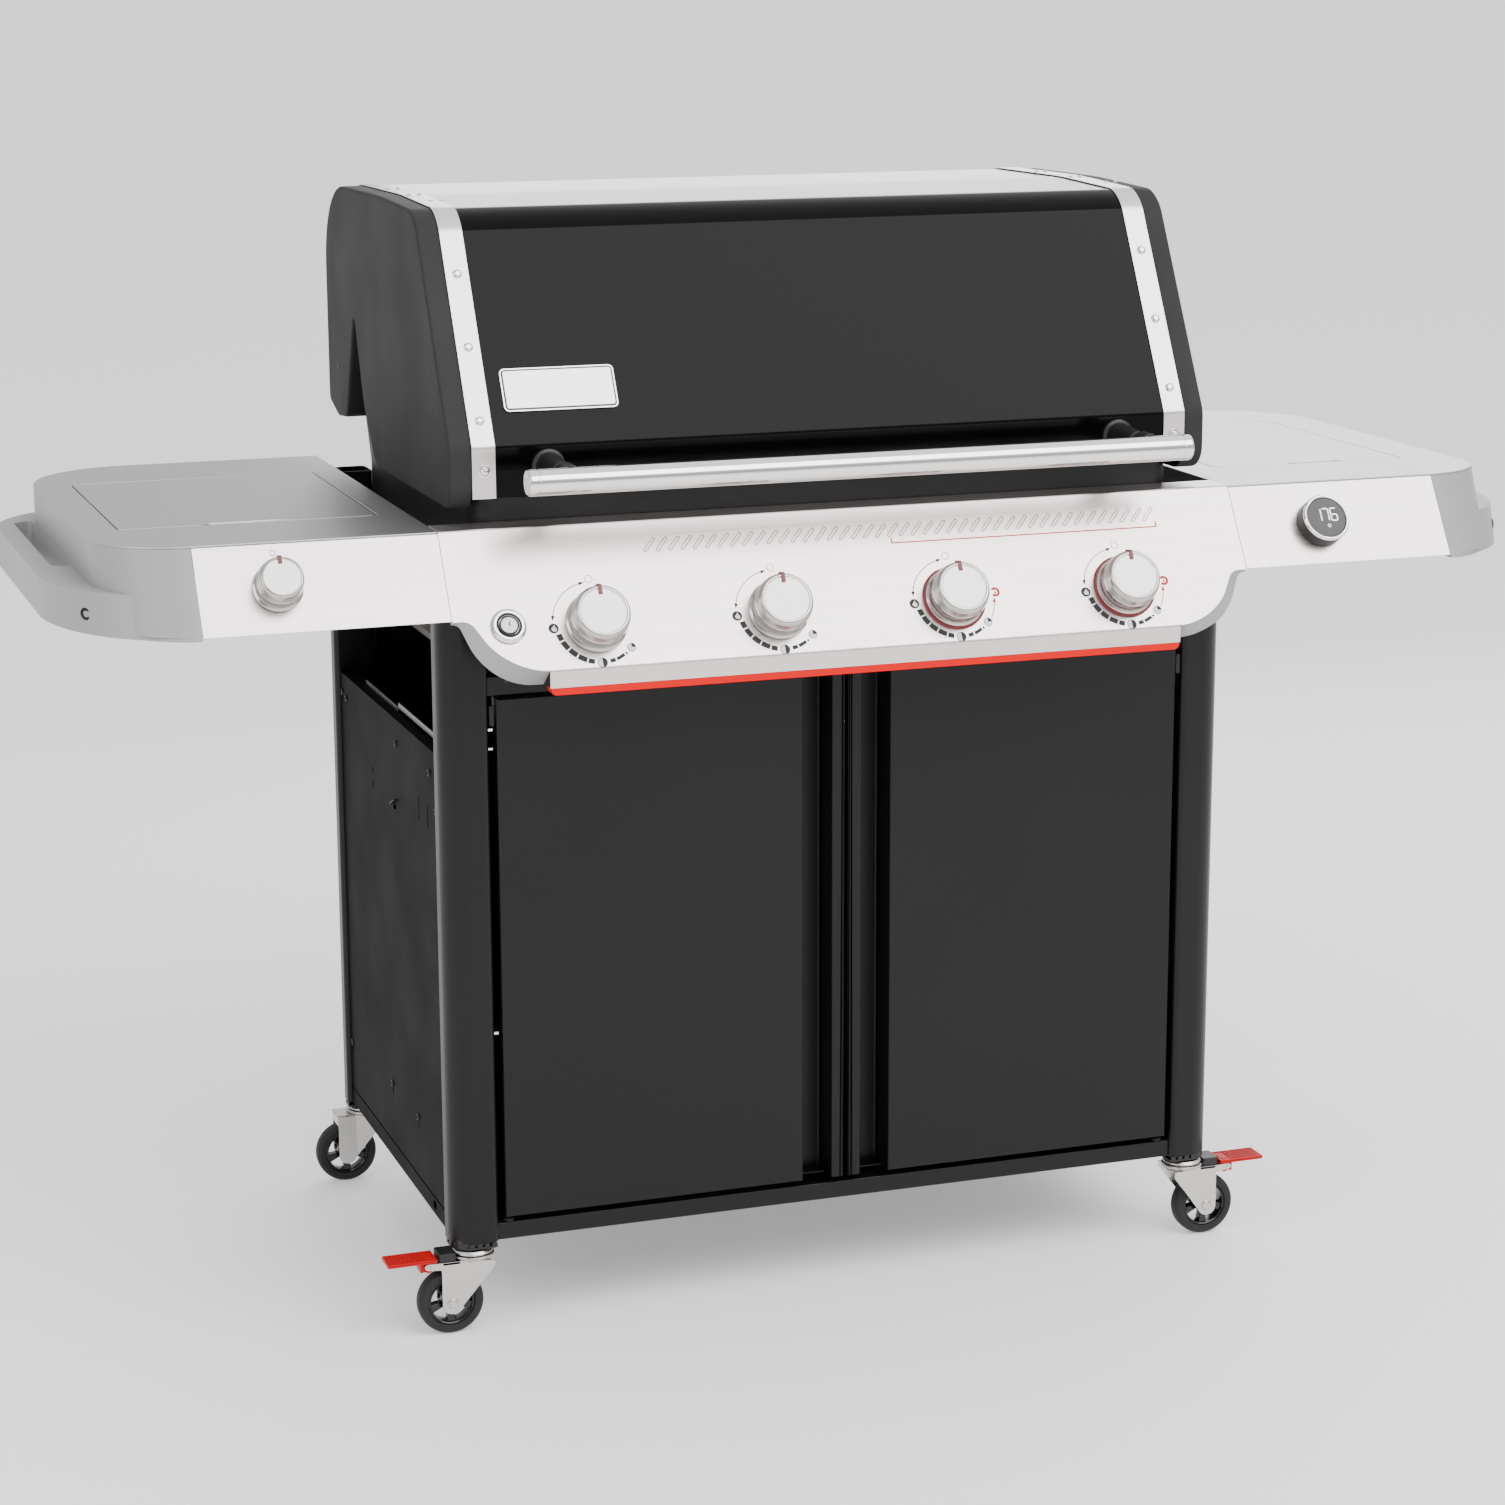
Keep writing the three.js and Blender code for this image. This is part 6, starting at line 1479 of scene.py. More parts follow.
# ---------------------------------------------------------------- corner posts
# Folded steel tubes with one large round corner each, facing out. A moulded plug with a ring of
# teeth closes the foot and holds the caster's stem.
# Polyester powder coat, satin black: a fine even orange peel, 1.8 mm from crest to crest.
powder, tree, shader = new_finish("satin_black_powder_coat", base_color="0b0b0c", roughness=0.36, specular=0.26)
place = add_node(tree, "ShaderNodeTexCoord")
peel = add_node(tree, "ShaderNodeTexNoise", {"Vector": place.outputs["Object"], "Scale": 550.0, "Detail": 1.0})
haze = add_node(tree, "ShaderNodeTexNoise", {"Vector": place.outputs["Object"], "Scale": 5.0, "Detail": 3.0})
gloss = add_node(tree, "ShaderNodeMapRange", {"Value": haze.outputs["Fac"], "From Min": 0.3, "From Max": 0.7,
                                              "To Min": 0.33, "To Max": 0.39})
tree.links.new(gloss.outputs["Result"], shader.inputs["Roughness"])
pores = add_node(tree, "ShaderNodeBump", {"Height": peel.outputs["Fac"], "Strength": 0.3, "Distance": 0.00006})
tree.links.new(pores.outputs["Normal"], shader.inputs["Normal"])

# The sides and the back are the same coat in a flatter grade, almost without sheen.
flat_powder = grained("matt_black_powder_coat", "1a1a1b", 0.6, 0.0018, 0.00005, specular=0.03, drift=0.04)

POST_FOOT = 0.107
for fore in ("front", "rear"):
    post_lo, post_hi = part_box(f"{fore}_post_right")
    x0, x1 = post_lo.x + 0.001, post_hi.x - 0.001
    y0, y1 = post_lo.y + 0.001, post_hi.y - 0.001
    if fore == "rear":
        y0, y1 = y1, y0
    for word, side in SIDES:
        bm = bmesh.new()
        draw_line(bm, [(x0, y0, POST_FOOT, 0.006), (x1, y0, POST_FOOT, 0.025), (x1, y1, POST_FOOT, 0.004),
                       (x0, y1, POST_FOOT, 0.004)], closed=True, segments=14)
        pull(bm, bmesh.ops.extrude_edge_only(bm, edges=bm.edges[:]), (0, 0, post_hi.z - POST_FOOT))
        flip(bm, side)
        tube = make_piece(f"{fore}_post_tube_{word}", bm, powder, "grill_body",
                          [f"{fore}_post_{word}"], toward=(0, -1 if fore == "front" else 1, 0), smooth=50)
        thicken(tube, 0.0018)
        soften(tube, 0.0005)
        # The plug: a flange under the tube, teeth round its edge, and a boss for the stem
        bm = bmesh.new()
        lo_y, hi_y = min(y0, y1), max(y0, y1)
        plate(bm, x0 + 0.0022, x1 - 0.0022, lo_y + 0.0022, hi_y - 0.0022, post_lo.z + 0.0022, POST_FOOT + 0.004, 0.012)
        flange = bmesh.new()
        draw_line(flange, [(x0 - 0.0008, y0 + math.copysign(0.0008, y0 - y1), post_lo.z, 0.006),
                           (x1 + 0.0008, y0 + math.copysign(0.0008, y0 - y1), post_lo.z, 0.025),
                           (x1 + 0.0008, y1, post_lo.z, 0.004), (x0 - 0.0008, y1, post_lo.z, 0.004)],
                  closed=True, segments=12)
        pull(flange, bmesh.ops.extrude_face_region(flange, geom=fill_flat(flange)), (0, 0, 0.0022))
        join(bm, flange)
        away = math.copysign(1, y0 - y1)
        corner = Vector((x1 - 0.025, y0 - away * 0.025, 0))
        teeth = [((x0 + step, y0), (0, away)) for step in (0.004, 0.0125, 0.021)]
        teeth += [((corner.x + 0.025 * math.sin(a), corner.y + away * 0.025 * math.cos(a)), (math.sin(a), away * math.cos(a)))
                  for a in (math.radians(12), math.radians(35), math.radians(58), math.radians(81))]
        teeth += [((x1, y0 - away * 0.033), (1, 0))]
        for (x, y), (nx, ny) in teeth:
            tooth = bmesh.new()
            plate(tooth, -0.0028, 0.0028, -0.0016, 0.0006, post_lo.z + 0.0020, POST_FOOT - 0.0006, 0.0004, 0.0003)
            turn = Matrix(((ny, nx, 0), (-nx, ny, 0), (0, 0, 1))).to_4x4()
            bmesh.ops.transform(tooth, matrix=Matrix.Translation((x, y, 0)) @ turn, verts=tooth.verts)
            join(bm, tooth)
        flip(bm, side)
        make_piece(f"{fore}_post_plug_{word}", bm, nylon, "grill_body")

# ---------------------------------------------------------------- side panels
# Sheet steel sides, punched with slots and keyholes, hung between the posts with screws. Below a
# narrow gap a folded rail closes the foot.
def punched(bm, outline, holes):
    """A flat sheet with holes, from closed outlines of (x, y, z, rounding) corners."""
    draw_line(bm, outline, closed=True, segments=4)
    for hole in holes:
        ring = bmesh.new()
        draw_line(ring, hole, closed=True, segments=4)
        carrier = bpy.data.meshes.new("carrier")
        ring.to_mesh(carrier)
        ring.free()
        bm.from_mesh(carrier)
        bpy.data.meshes.remove(carrier)
    return bmesh.ops.triangle_fill(bm, use_beauty=True, use_dissolve=False, edges=bm.edges[:])


def slot_at(x, y, z, width, height, rounding):
    """An upright slot in a side panel, centred at y and z."""
    w, h = width / 2, height / 2
    return [(x, y - w, z - h, rounding), (x, y + w, z - h, rounding), (x, y + w, z + h, rounding),
            (x, y - w, z + h, rounding)]


panel_lo_side, panel_hi_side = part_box("side_panel_right")
x_out = panel_hi_side.x
y0, y1 = panel_lo_side.y, panel_hi_side.y
GAP_FOOT = 0.1285
slots = [(-0.113, 0.575, 0.0036, 0.026), (-0.154, 0.575, 0.0036, 0.026), (0.114, 0.569, 0.0036, 0.006),
         (0.114, 0.551, 0.0042, 0.009), (0.005, 0.549, 0.016, 0.006), (-0.193, 0.575, 0.0036, 0.006),
         (0.051, 0.193, 0.0042, 0.009), (-0.075, 0.192, 0.0042, 0.009), (-0.199, 0.171, 0.0042, 0.009),
         (0.264, 0.180, 0.0042, 0.009), (0.264, 0.622, 0.0042, 0.008)]
screws = [(0.051, 0.202), (-0.075, 0.201), (-0.199, 0.180), (0.264, 0.189), (0.264, 0.632), (-0.193, 0.590),
          (-0.168, 0.628), (-0.010, 0.627), (0.244, 0.628)]
for word, side in SIDES:
    bm = bmesh.new()
    punched(bm, [(x_out, y0, GAP_FOOT), (x_out, y1, GAP_FOOT), (x_out, y1, panel_hi_side.z), (x_out, y0, panel_hi_side.z)],
            [slot_at(x_out, y, z, w, h, w * 0.48) for y, z, w, h in slots])
    top = [e for e in bm.edges if all(abs(v.co.z - panel_hi_side.z) < 1e-6 for v in e.verts)]
    pull(bm, bmesh.ops.extrude_edge_only(bm, edges=top), (-0.018, 0, 0))
    foot = [e for e in bm.edges if all(abs(v.co.z - GAP_FOOT) < 1e-6 for v in e.verts)]
    pull(bm, bmesh.ops.extrude_edge_only(bm, edges=foot), (-0.007, 0, 0))
    flip(bm, side)
    wall = make_piece(f"side_panel_sheet_{word}", bm, flat_powder, "grill_body",
                      [f"side_panel_{word}"], toward=(side, 0, 0))
    thicken(wall, 0.0012)
    soften(wall, 0.0006)
    # The rail under the gap, with two drain slots at the front
    bm = bmesh.new()
    punched(bm, [(x_out, y0, panel_lo_side.z), (x_out, y1, panel_lo_side.z), (x_out, y1, GAP_FOOT - 0.0024),
                 (x_out, y0, GAP_FOOT - 0.0024)],
            [slot_at(x_out, -0.143, 0.1175, 0.014, 0.0095, 0.003), slot_at(x_out, -0.200, 0.1185, 0.006, 0.006, 0.002)])
    top = [e for e in bm.edges if all(abs(v.co.z - GAP_FOOT + 0.0024) < 1e-6 for v in e.verts)]
    pull(bm, bmesh.ops.extrude_edge_only(bm, edges=top), (-0.010, 0, 0))
    foot = [e for e in bm.edges if all(abs(v.co.z - panel_lo_side.z) < 1e-6 for v in e.verts)]
    pull(bm, bmesh.ops.extrude_edge_only(bm, edges=foot), (-0.012, 0, 0))
    flip(bm, side)
    rail = make_piece(f"side_foot_rail_{word}", bm, flat_powder, "grill_body", toward=(side, 0, 0))
    thicken(rail, 0.0012)
    soften(rail, 0.0006)
    # Pan-head screws, and the small folded tab that holds the side's inner brace
    bm = bmesh.new()
    for y, z in screws:
        spun(bm, [(0, 0.0016), (0.0012, 0.0016), (0.0018, 0.0024, 0.0004), (0.0038, 0.0018, 0.0006), (0.0042, 0.0001)],
             (x_out, y, z), (1, 0, 0), (0, 0, 1), steps=20)
    tab = bmesh.new()
    plate(tab, 0, 0.005, -0.012, 0.012, 0, 0.0012, 0.0006, 0.0003)
    bmesh.ops.transform(tab, matrix=Matrix.Translation((x_out, 0.000, 0.556)) @ Matrix.Rotation(math.radians(-24), 4, "X"),
                        verts=tab.verts)
    join(bm, tab)
    flip(bm, side)
    make_piece(f"side_panel_screws_{word}", bm, dark_steel_and_hole_shade, "grill_body", smooth=50)
    # The brace behind the panel's upper edge: bright zinc-plated strip in two steps
    bm = bmesh.new()
    plate(bm, x_out - 0.0150, x_out - 0.0130, -0.183, 0.193, panel_hi_side.z - 0.030, panel_hi_side.z + 0.0045, 0.0008, 0.0004)
    plate(bm, x_out - 0.0150, x_out - 0.0130, -0.176, 0.030, panel_hi_side.z - 0.020, panel_hi_side.z + 0.0105, 0.0008, 0.0004)
    flip(bm, side)
    make_piece(f"side_brace_{word}", bm, zinc_plate, "grill_body")

# ---------------------------------------------------------------- floor, header and back
# The cabinet's floor is a sheet with a deep flange in front, the header a channel under the
# control panel, and the back a sheet with louvred vents and a window for the grease tray.
floor_lo, floor_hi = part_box("bottom_panel")
inner = post_lo.x - 0.0008
bm = bmesh.new()
draw_line(bm, [(-floor_hi.x, -0.209, floor_hi.z), (-inner, -0.209, floor_hi.z), (-inner, floor_lo.y, floor_hi.z),
               (inner, floor_lo.y, floor_hi.z), (inner, -0.209, floor_hi.z), (floor_hi.x, -0.209, floor_hi.z),
               (floor_hi.x, 0.2745, floor_hi.z), (inner, 0.2745, floor_hi.z), (inner, floor_hi.y, floor_hi.z),
               (-inner, floor_hi.y, floor_hi.z), (-inner, 0.2745, floor_hi.z), (-floor_hi.x, 0.2745, floor_hi.z)],
          closed=True)
fill_flat(bm)
front = [e for e in bm.edges if all(abs(v.co.y - floor_lo.y) < 1e-6 for v in e.verts)]
pull(bm, bmesh.ops.extrude_edge_only(bm, edges=front), (0, 0, floor_lo.z - floor_hi.z))
low = [e for e in bm.edges if all(abs(v.co.z - floor_lo.z) < 1e-6 for v in e.verts)]
pull(bm, bmesh.ops.extrude_edge_only(bm, edges=low), (0, 0.012, 0))
back = [e for e in bm.edges if all(abs(v.co.y - floor_hi.y) < 1e-6 for v in e.verts)]
pull(bm, bmesh.ops.extrude_edge_only(bm, edges=back), (0, 0, floor_lo.z - floor_hi.z))
bends = [e for e in bm.edges if len(e.link_faces) == 2]
bmesh.ops.bevel(bm, geom=bends, offset=0.0018, offset_type="OFFSET", segments=3, profile=0.5,
                affect="EDGES", material=-1)
base = make_piece("cabinet_floor_sheet", bm, powder, "grill_body", ["bottom_panel"], toward=(0, 0, 1))
thicken(base, 0.0012)
soften(base, 0.0004)

rail_lo, rail_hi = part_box("header_rail")
bm = bmesh.new()
draw_line(bm, [(rail_lo.x, rail_hi.y, rail_lo.z), (rail_lo.x, rail_lo.y, rail_lo.z, 0.0020),
               (rail_lo.x, rail_lo.y, rail_hi.z, 0.0020), (rail_lo.x, rail_hi.y, rail_hi.z)], segments=4)
pull(bm, bmesh.ops.extrude_edge_only(bm, edges=bm.edges[:]), (rail_hi.x - rail_lo.x, 0, 0))
header = make_piece("cabinet_header_channel", bm, powder, "grill_body", ["header_rail"],
                    toward=(0, -1, 0))
thicken(header, 0.0012)
soften(header, 0.0004)
# Two punched notches at each end of the header, drawn as thin dark plates that are painted shade in the holes, and the
# grey catch beside each door's top
bm = bmesh.new()
for word, side in SIDES:
    for x in (0.388, 0.379):
        part = bmesh.new()
        plate(part, x, x + 0.004, -0.0015, 0.0015, 0, 0.0003, 0.0008, 0.0001)
        bmesh.ops.transform(part, matrix=Matrix.Translation((0, rail_lo.y, rail_hi.z - 0.0065)) @
                            Matrix.Rotation(math.radians(90), 4, "X"), verts=part.verts)
        flip(part, side)
        join(bm, part)
make_piece("header_notch_shade_plates", bm, lacquer, "grill_body")
bm = bmesh.new()
for word, side in SIDES:
    part = bmesh.new()
    plate(part, 0.4045, 0.4100, rail_lo.y - 0.0018, rail_lo.y + 0.003, 0.694, 0.716, 0.0010, 0.0005)
    flip(part, side)
    join(bm, part)
    part = bmesh.new()
    spun(part, [(0.0030, 0), (0.0062, 0, 0.0006), (0.0062, 0.0020, 0.0006), (0.0044, 0.0034, 0.0006), (0.0030, 0.0034), (0.0030, 0)],
         (0.397, -0.240, floor_hi.z + 0.0003), (0, 0, 1), (1, 0, 0), steps=24)
    flip(part, side)
    join(bm, part)
make_piece("door_catches_and_bushes", bm, charcoal, "grill_body", smooth=50)

back_lo, back_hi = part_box("rear_panel")
bm = bmesh.new()
vents = []
tray_lo, tray_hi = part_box("grease_tray")
VENT_ROWS = (0.540, 0.564, 0.170, 0.770)
vents.append([(tray_lo.x - 0.004, back_hi.y, tray_lo.z - 0.0045, 0.004), (tray_hi.x + 0.004, back_hi.y, tray_lo.z - 0.0045, 0.004),
              (tray_hi.x + 0.004, back_hi.y, tray_hi.z + 0.0045, 0.004), (tray_lo.x - 0.004, back_hi.y, tray_hi.z + 0.0045, 0.004)])
for z in VENT_ROWS:
    for i in range(7):
        x = -0.285 + i * 0.095
        vents.append([(x - 0.030, back_hi.y, z - 0.004, 0.0038), (x + 0.030, back_hi.y, z - 0.004, 0.0038),
                      (x + 0.030, back_hi.y, z + 0.004, 0.0038), (x - 0.030, back_hi.y, z + 0.004, 0.0038)])
punched(bm, [(back_lo.x, back_hi.y, back_lo.z), (back_hi.x, back_hi.y, back_lo.z), (back_hi.x, back_hi.y, back_hi.z),
             (back_lo.x, back_hi.y, back_hi.z)], vents)
top = [e for e in bm.edges if all(abs(v.co.z - back_hi.z) < 1e-6 for v in e.verts)]
pull(bm, bmesh.ops.extrude_edge_only(bm, edges=top), (0, back_lo.y - back_hi.y, 0))
sheet = make_piece("cabinet_back_sheet", bm, flat_powder, "grill_body", ["rear_panel"], toward=(0, 1, 0))
thicken(sheet, 0.0012)
soften(sheet, 0.0006)
# Louvre hoods over the vents and the screws down both edges
bm = bmesh.new()
for z in VENT_ROWS:
    for i in range(7):
        x = -0.285 + i * 0.095
        part = bmesh.new()
        draw_line(part, [(x - 0.033, back_hi.y + 0.0002, z + 0.006), (x - 0.031, back_hi.y + 0.0040, z - 0.002, 0.002),
                         (x + 0.031, back_hi.y + 0.0040, z - 0.002, 0.002), (x + 0.033, back_hi.y + 0.0002, z + 0.006)],
                  closed=True, segments=3)
        hood = fill_flat(part)
        bmesh.ops.solidify(part, geom=hood, thickness=0.0010)
        join(bm, part)
for x in (-0.398, 0.398):
    for z in (0.135, 0.370, 0.605, 0.840):
        spun(bm, [(0, 0.0016), (0.0012, 0.0016), (0.0018, 0.0024, 0.0004), (0.0038, 0.0018, 0.0006), (0.0042, 0.0001)],
             (x, back_hi.y, z), (0, 1, 0), (0, 0, 1), steps=20)
make_piece("cabinet_back_louvres", bm, flat_powder, "grill_body", smooth=50)

# ---------------------------------------------------------------- doors
# Each door is one sheet folded into a pan, with a deep full-height finger channel beside its free
# edge in place of a handle. Steel pins at the outer corners turn in the floor and the header.
door_lo, door_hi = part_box("door_right")
pan_foot, pan_top = door_lo.z + 0.013, door_hi.z - 0.0075
front_y = door_lo.y
CHANNEL = (0.0175, 0.052)
for word, side in SIDES:
    bm = bmesh.new()
    draw_line(bm, [
        (door_lo.x, front_y + 0.014, pan_foot), (door_lo.x, front_y, pan_foot, 0.0018),
        (CHANNEL[0], front_y, pan_foot, 0.0022), (CHANNEL[0], front_y + 0.040, pan_foot, 0.0030),
        (CHANNEL[1], front_y + 0.040, pan_foot, 0.0030), (CHANNEL[1], front_y, pan_foot, 0.0022),
        (door_hi.x, front_y, pan_foot, 0.0018), (door_hi.x, front_y + 0.018, pan_foot),
    ], segments=4)
    pull(bm, bmesh.ops.extrude_edge_only(bm, edges=bm.edges[:]), (0, 0, pan_top - pan_foot))
    for z in (pan_foot, pan_top):
        edge = [e for e in bm.edges if all(abs(v.co.z - z) < 1e-6 and abs(v.co.y - front_y) < 1e-5 and
                                           v.co.x > CHANNEL[1] for v in e.verts)]
        pull(bm, bmesh.ops.extrude_edge_only(bm, edges=edge), (0, 0.017, 0))
    folds = [e for e in bm.edges if len(e.link_faces) == 2 and e.calc_face_angle(0) > 1.2]
    bmesh.ops.bevel(bm, geom=folds, offset=0.0015, offset_type="OFFSET", segments=3, profile=0.5,
                    affect="EDGES", material=-1)
    flip(bm, side)
    leaf = make_piece(f"door_leaf_{word}", bm, powder, f"{word}_door", [f"door_{word}"],
                      toward=(0, -1, 0), smooth=40)
    thicken(leaf, 0.0013)
    # Pins, and the caps that close the channel's ends
    bm = bmesh.new()
    for z0, z1 in ((door_lo.z, pan_foot + 0.006), (pan_top - 0.006, door_hi.z)):
        spun(bm, [(0, z0), (0.0024, z0, 0.0008), (0.0024, z1), (0, z1)], (0.397, -0.240, 0), (0, 0, 1), (1, 0, 0),
             steps=20)
    flip(bm, side)
    make_piece(f"door_pins_{word}", bm, dark_steel_and_hole_shade, f"{word}_door")
    bm = bmesh.new()
    for z in (pan_foot + 0.0004, pan_top - 0.0016):
        plate(bm, CHANNEL[0] + 0.0003, CHANNEL[1] - 0.0003, front_y + 0.020, front_y + 0.0395, z, z + 0.0012, 0.0010, 0.0003)
    flip(bm, side)
    make_piece(f"door_channel_ends_{word}", bm, powder, f"{word}_door")

# ---------------------------------------------------------------- grease tray
# A pressed pan under the outlet that pulls out at the back; its rims slide on two angles.
# Hot-dip galvanised sheet: spangles 12 mm across, each a slightly different grey.
galvanised, tree, shader = new_finish("galvanised_sheet", base_color="a9adb0", metallic=1.0, roughness=0.42)
place = add_node(tree, "ShaderNodeTexCoord")
spangle = add_node(tree, "ShaderNodeTexVoronoi", {"Vector": place.outputs["Object"], "Scale": 85.0})
shade = add_node(tree, "ShaderNodeMapRange", {"Value": spangle.outputs["Color"], "To Min": 0.34, "To Max": 0.52})
tree.links.new(shade.outputs["Result"], shader.inputs["Roughness"])
tone = add_node(tree, "ShaderNodeMix", {"Factor": spangle.outputs["Color"]}, data_type="RGBA")
tone.inputs[6].default_value = linear("989c9f")
tone.inputs[7].default_value = linear("b7bbbd")
tree.links.new(tone.outputs[2], shader.inputs["Base Color"])
frost = add_node(tree, "ShaderNodeBump", {"Height": spangle.outputs["Distance"], "Strength": 0.15, "Distance": 0.00005})
tree.links.new(frost.outputs["Normal"], shader.inputs["Normal"])

lo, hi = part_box("grease_tray")
bm = bmesh.new()
pressed_well(bm, lo.x, hi.x, lo.y, hi.y, hi.z - 0.0004, lo.z + 0.0014)
tray = make_piece("grease_tray_pan", bm, galvanised, "grease_tray_body", ["grease_tray"], toward=(0, 0, 1))
thicken(tray, 0.0011)
# The pull: a rolled bar riveted to the tray's rear wall
bm = bmesh.new()
rod_path(bm, [(-0.040, hi.y - 0.012, hi.z - 0.020), (-0.040, hi.y + 0.010, hi.z - 0.020, 0.006),
              (0.040, hi.y + 0.010, hi.z - 0.020, 0.006), (0.040, hi.y - 0.012, hi.z - 0.020)], 0.0022, sides=14)
make_piece("grease_tray_pull", bm, galvanised, "grease_tray_body", smooth=60)

# ---------------------------------------------------------------- casters
# Each caster is a pressed, nickel-plated fork under a ball-race head, with a hard rubber tyre on a
# glossy spoked hub. The front pair carry a red foot brake on a side arm.
# Bright nickel plate on pressings: soft, slightly warm, with a faint cloud from handling.
nickel, tree, shader = new_finish("nickel_plate", base_color="c9c5c2", metallic=1.0, roughness=0.24)
place = add_node(tree, "ShaderNodeTexCoord")
cloud = add_node(tree, "ShaderNodeTexNoise", {"Vector": place.outputs["Object"], "Scale": 60.0, "Detail": 3.0})
gloss = add_node(tree, "ShaderNodeMapRange", {"Value": cloud.outputs["Fac"], "From Min": 0.3, "From Max": 0.7,
                                              "To Min": 0.18, "To Max": 0.32})
tree.links.new(gloss.outputs["Result"], shader.inputs["Roughness"])
press = add_node(tree, "ShaderNodeTexNoise", {"Vector": place.outputs["Object"], "Scale": 260.0})
ripple = add_node(tree, "ShaderNodeBump", {"Height": press.outputs["Fac"], "Strength": 0.12, "Distance": 0.0001})
tree.links.new(ripple.outputs["Normal"], shader.inputs["Normal"])
# Hard rubber tyre: matt, with a fine moulded grain, 0.9 mm from speck to speck.
rubber = grained("hard_rubber_tyre", "212122", 0.62, 0.0009, 0.00008, specular=0.3)
# Injection-moulded hub, black and glossy.
gloss_hub = grained("glossy_black_nylon_hub", "0e0e0f", 0.16, 0.004, 0.00002, specular=0.5)
# Injection-moulded red nylon, satin, slightly darker in its fine grain.
red_nylon = grained("red_moulded_nylon", "be0008", 0.38, 0.0012, 0.00004, specular=0.2, drift=0.05)

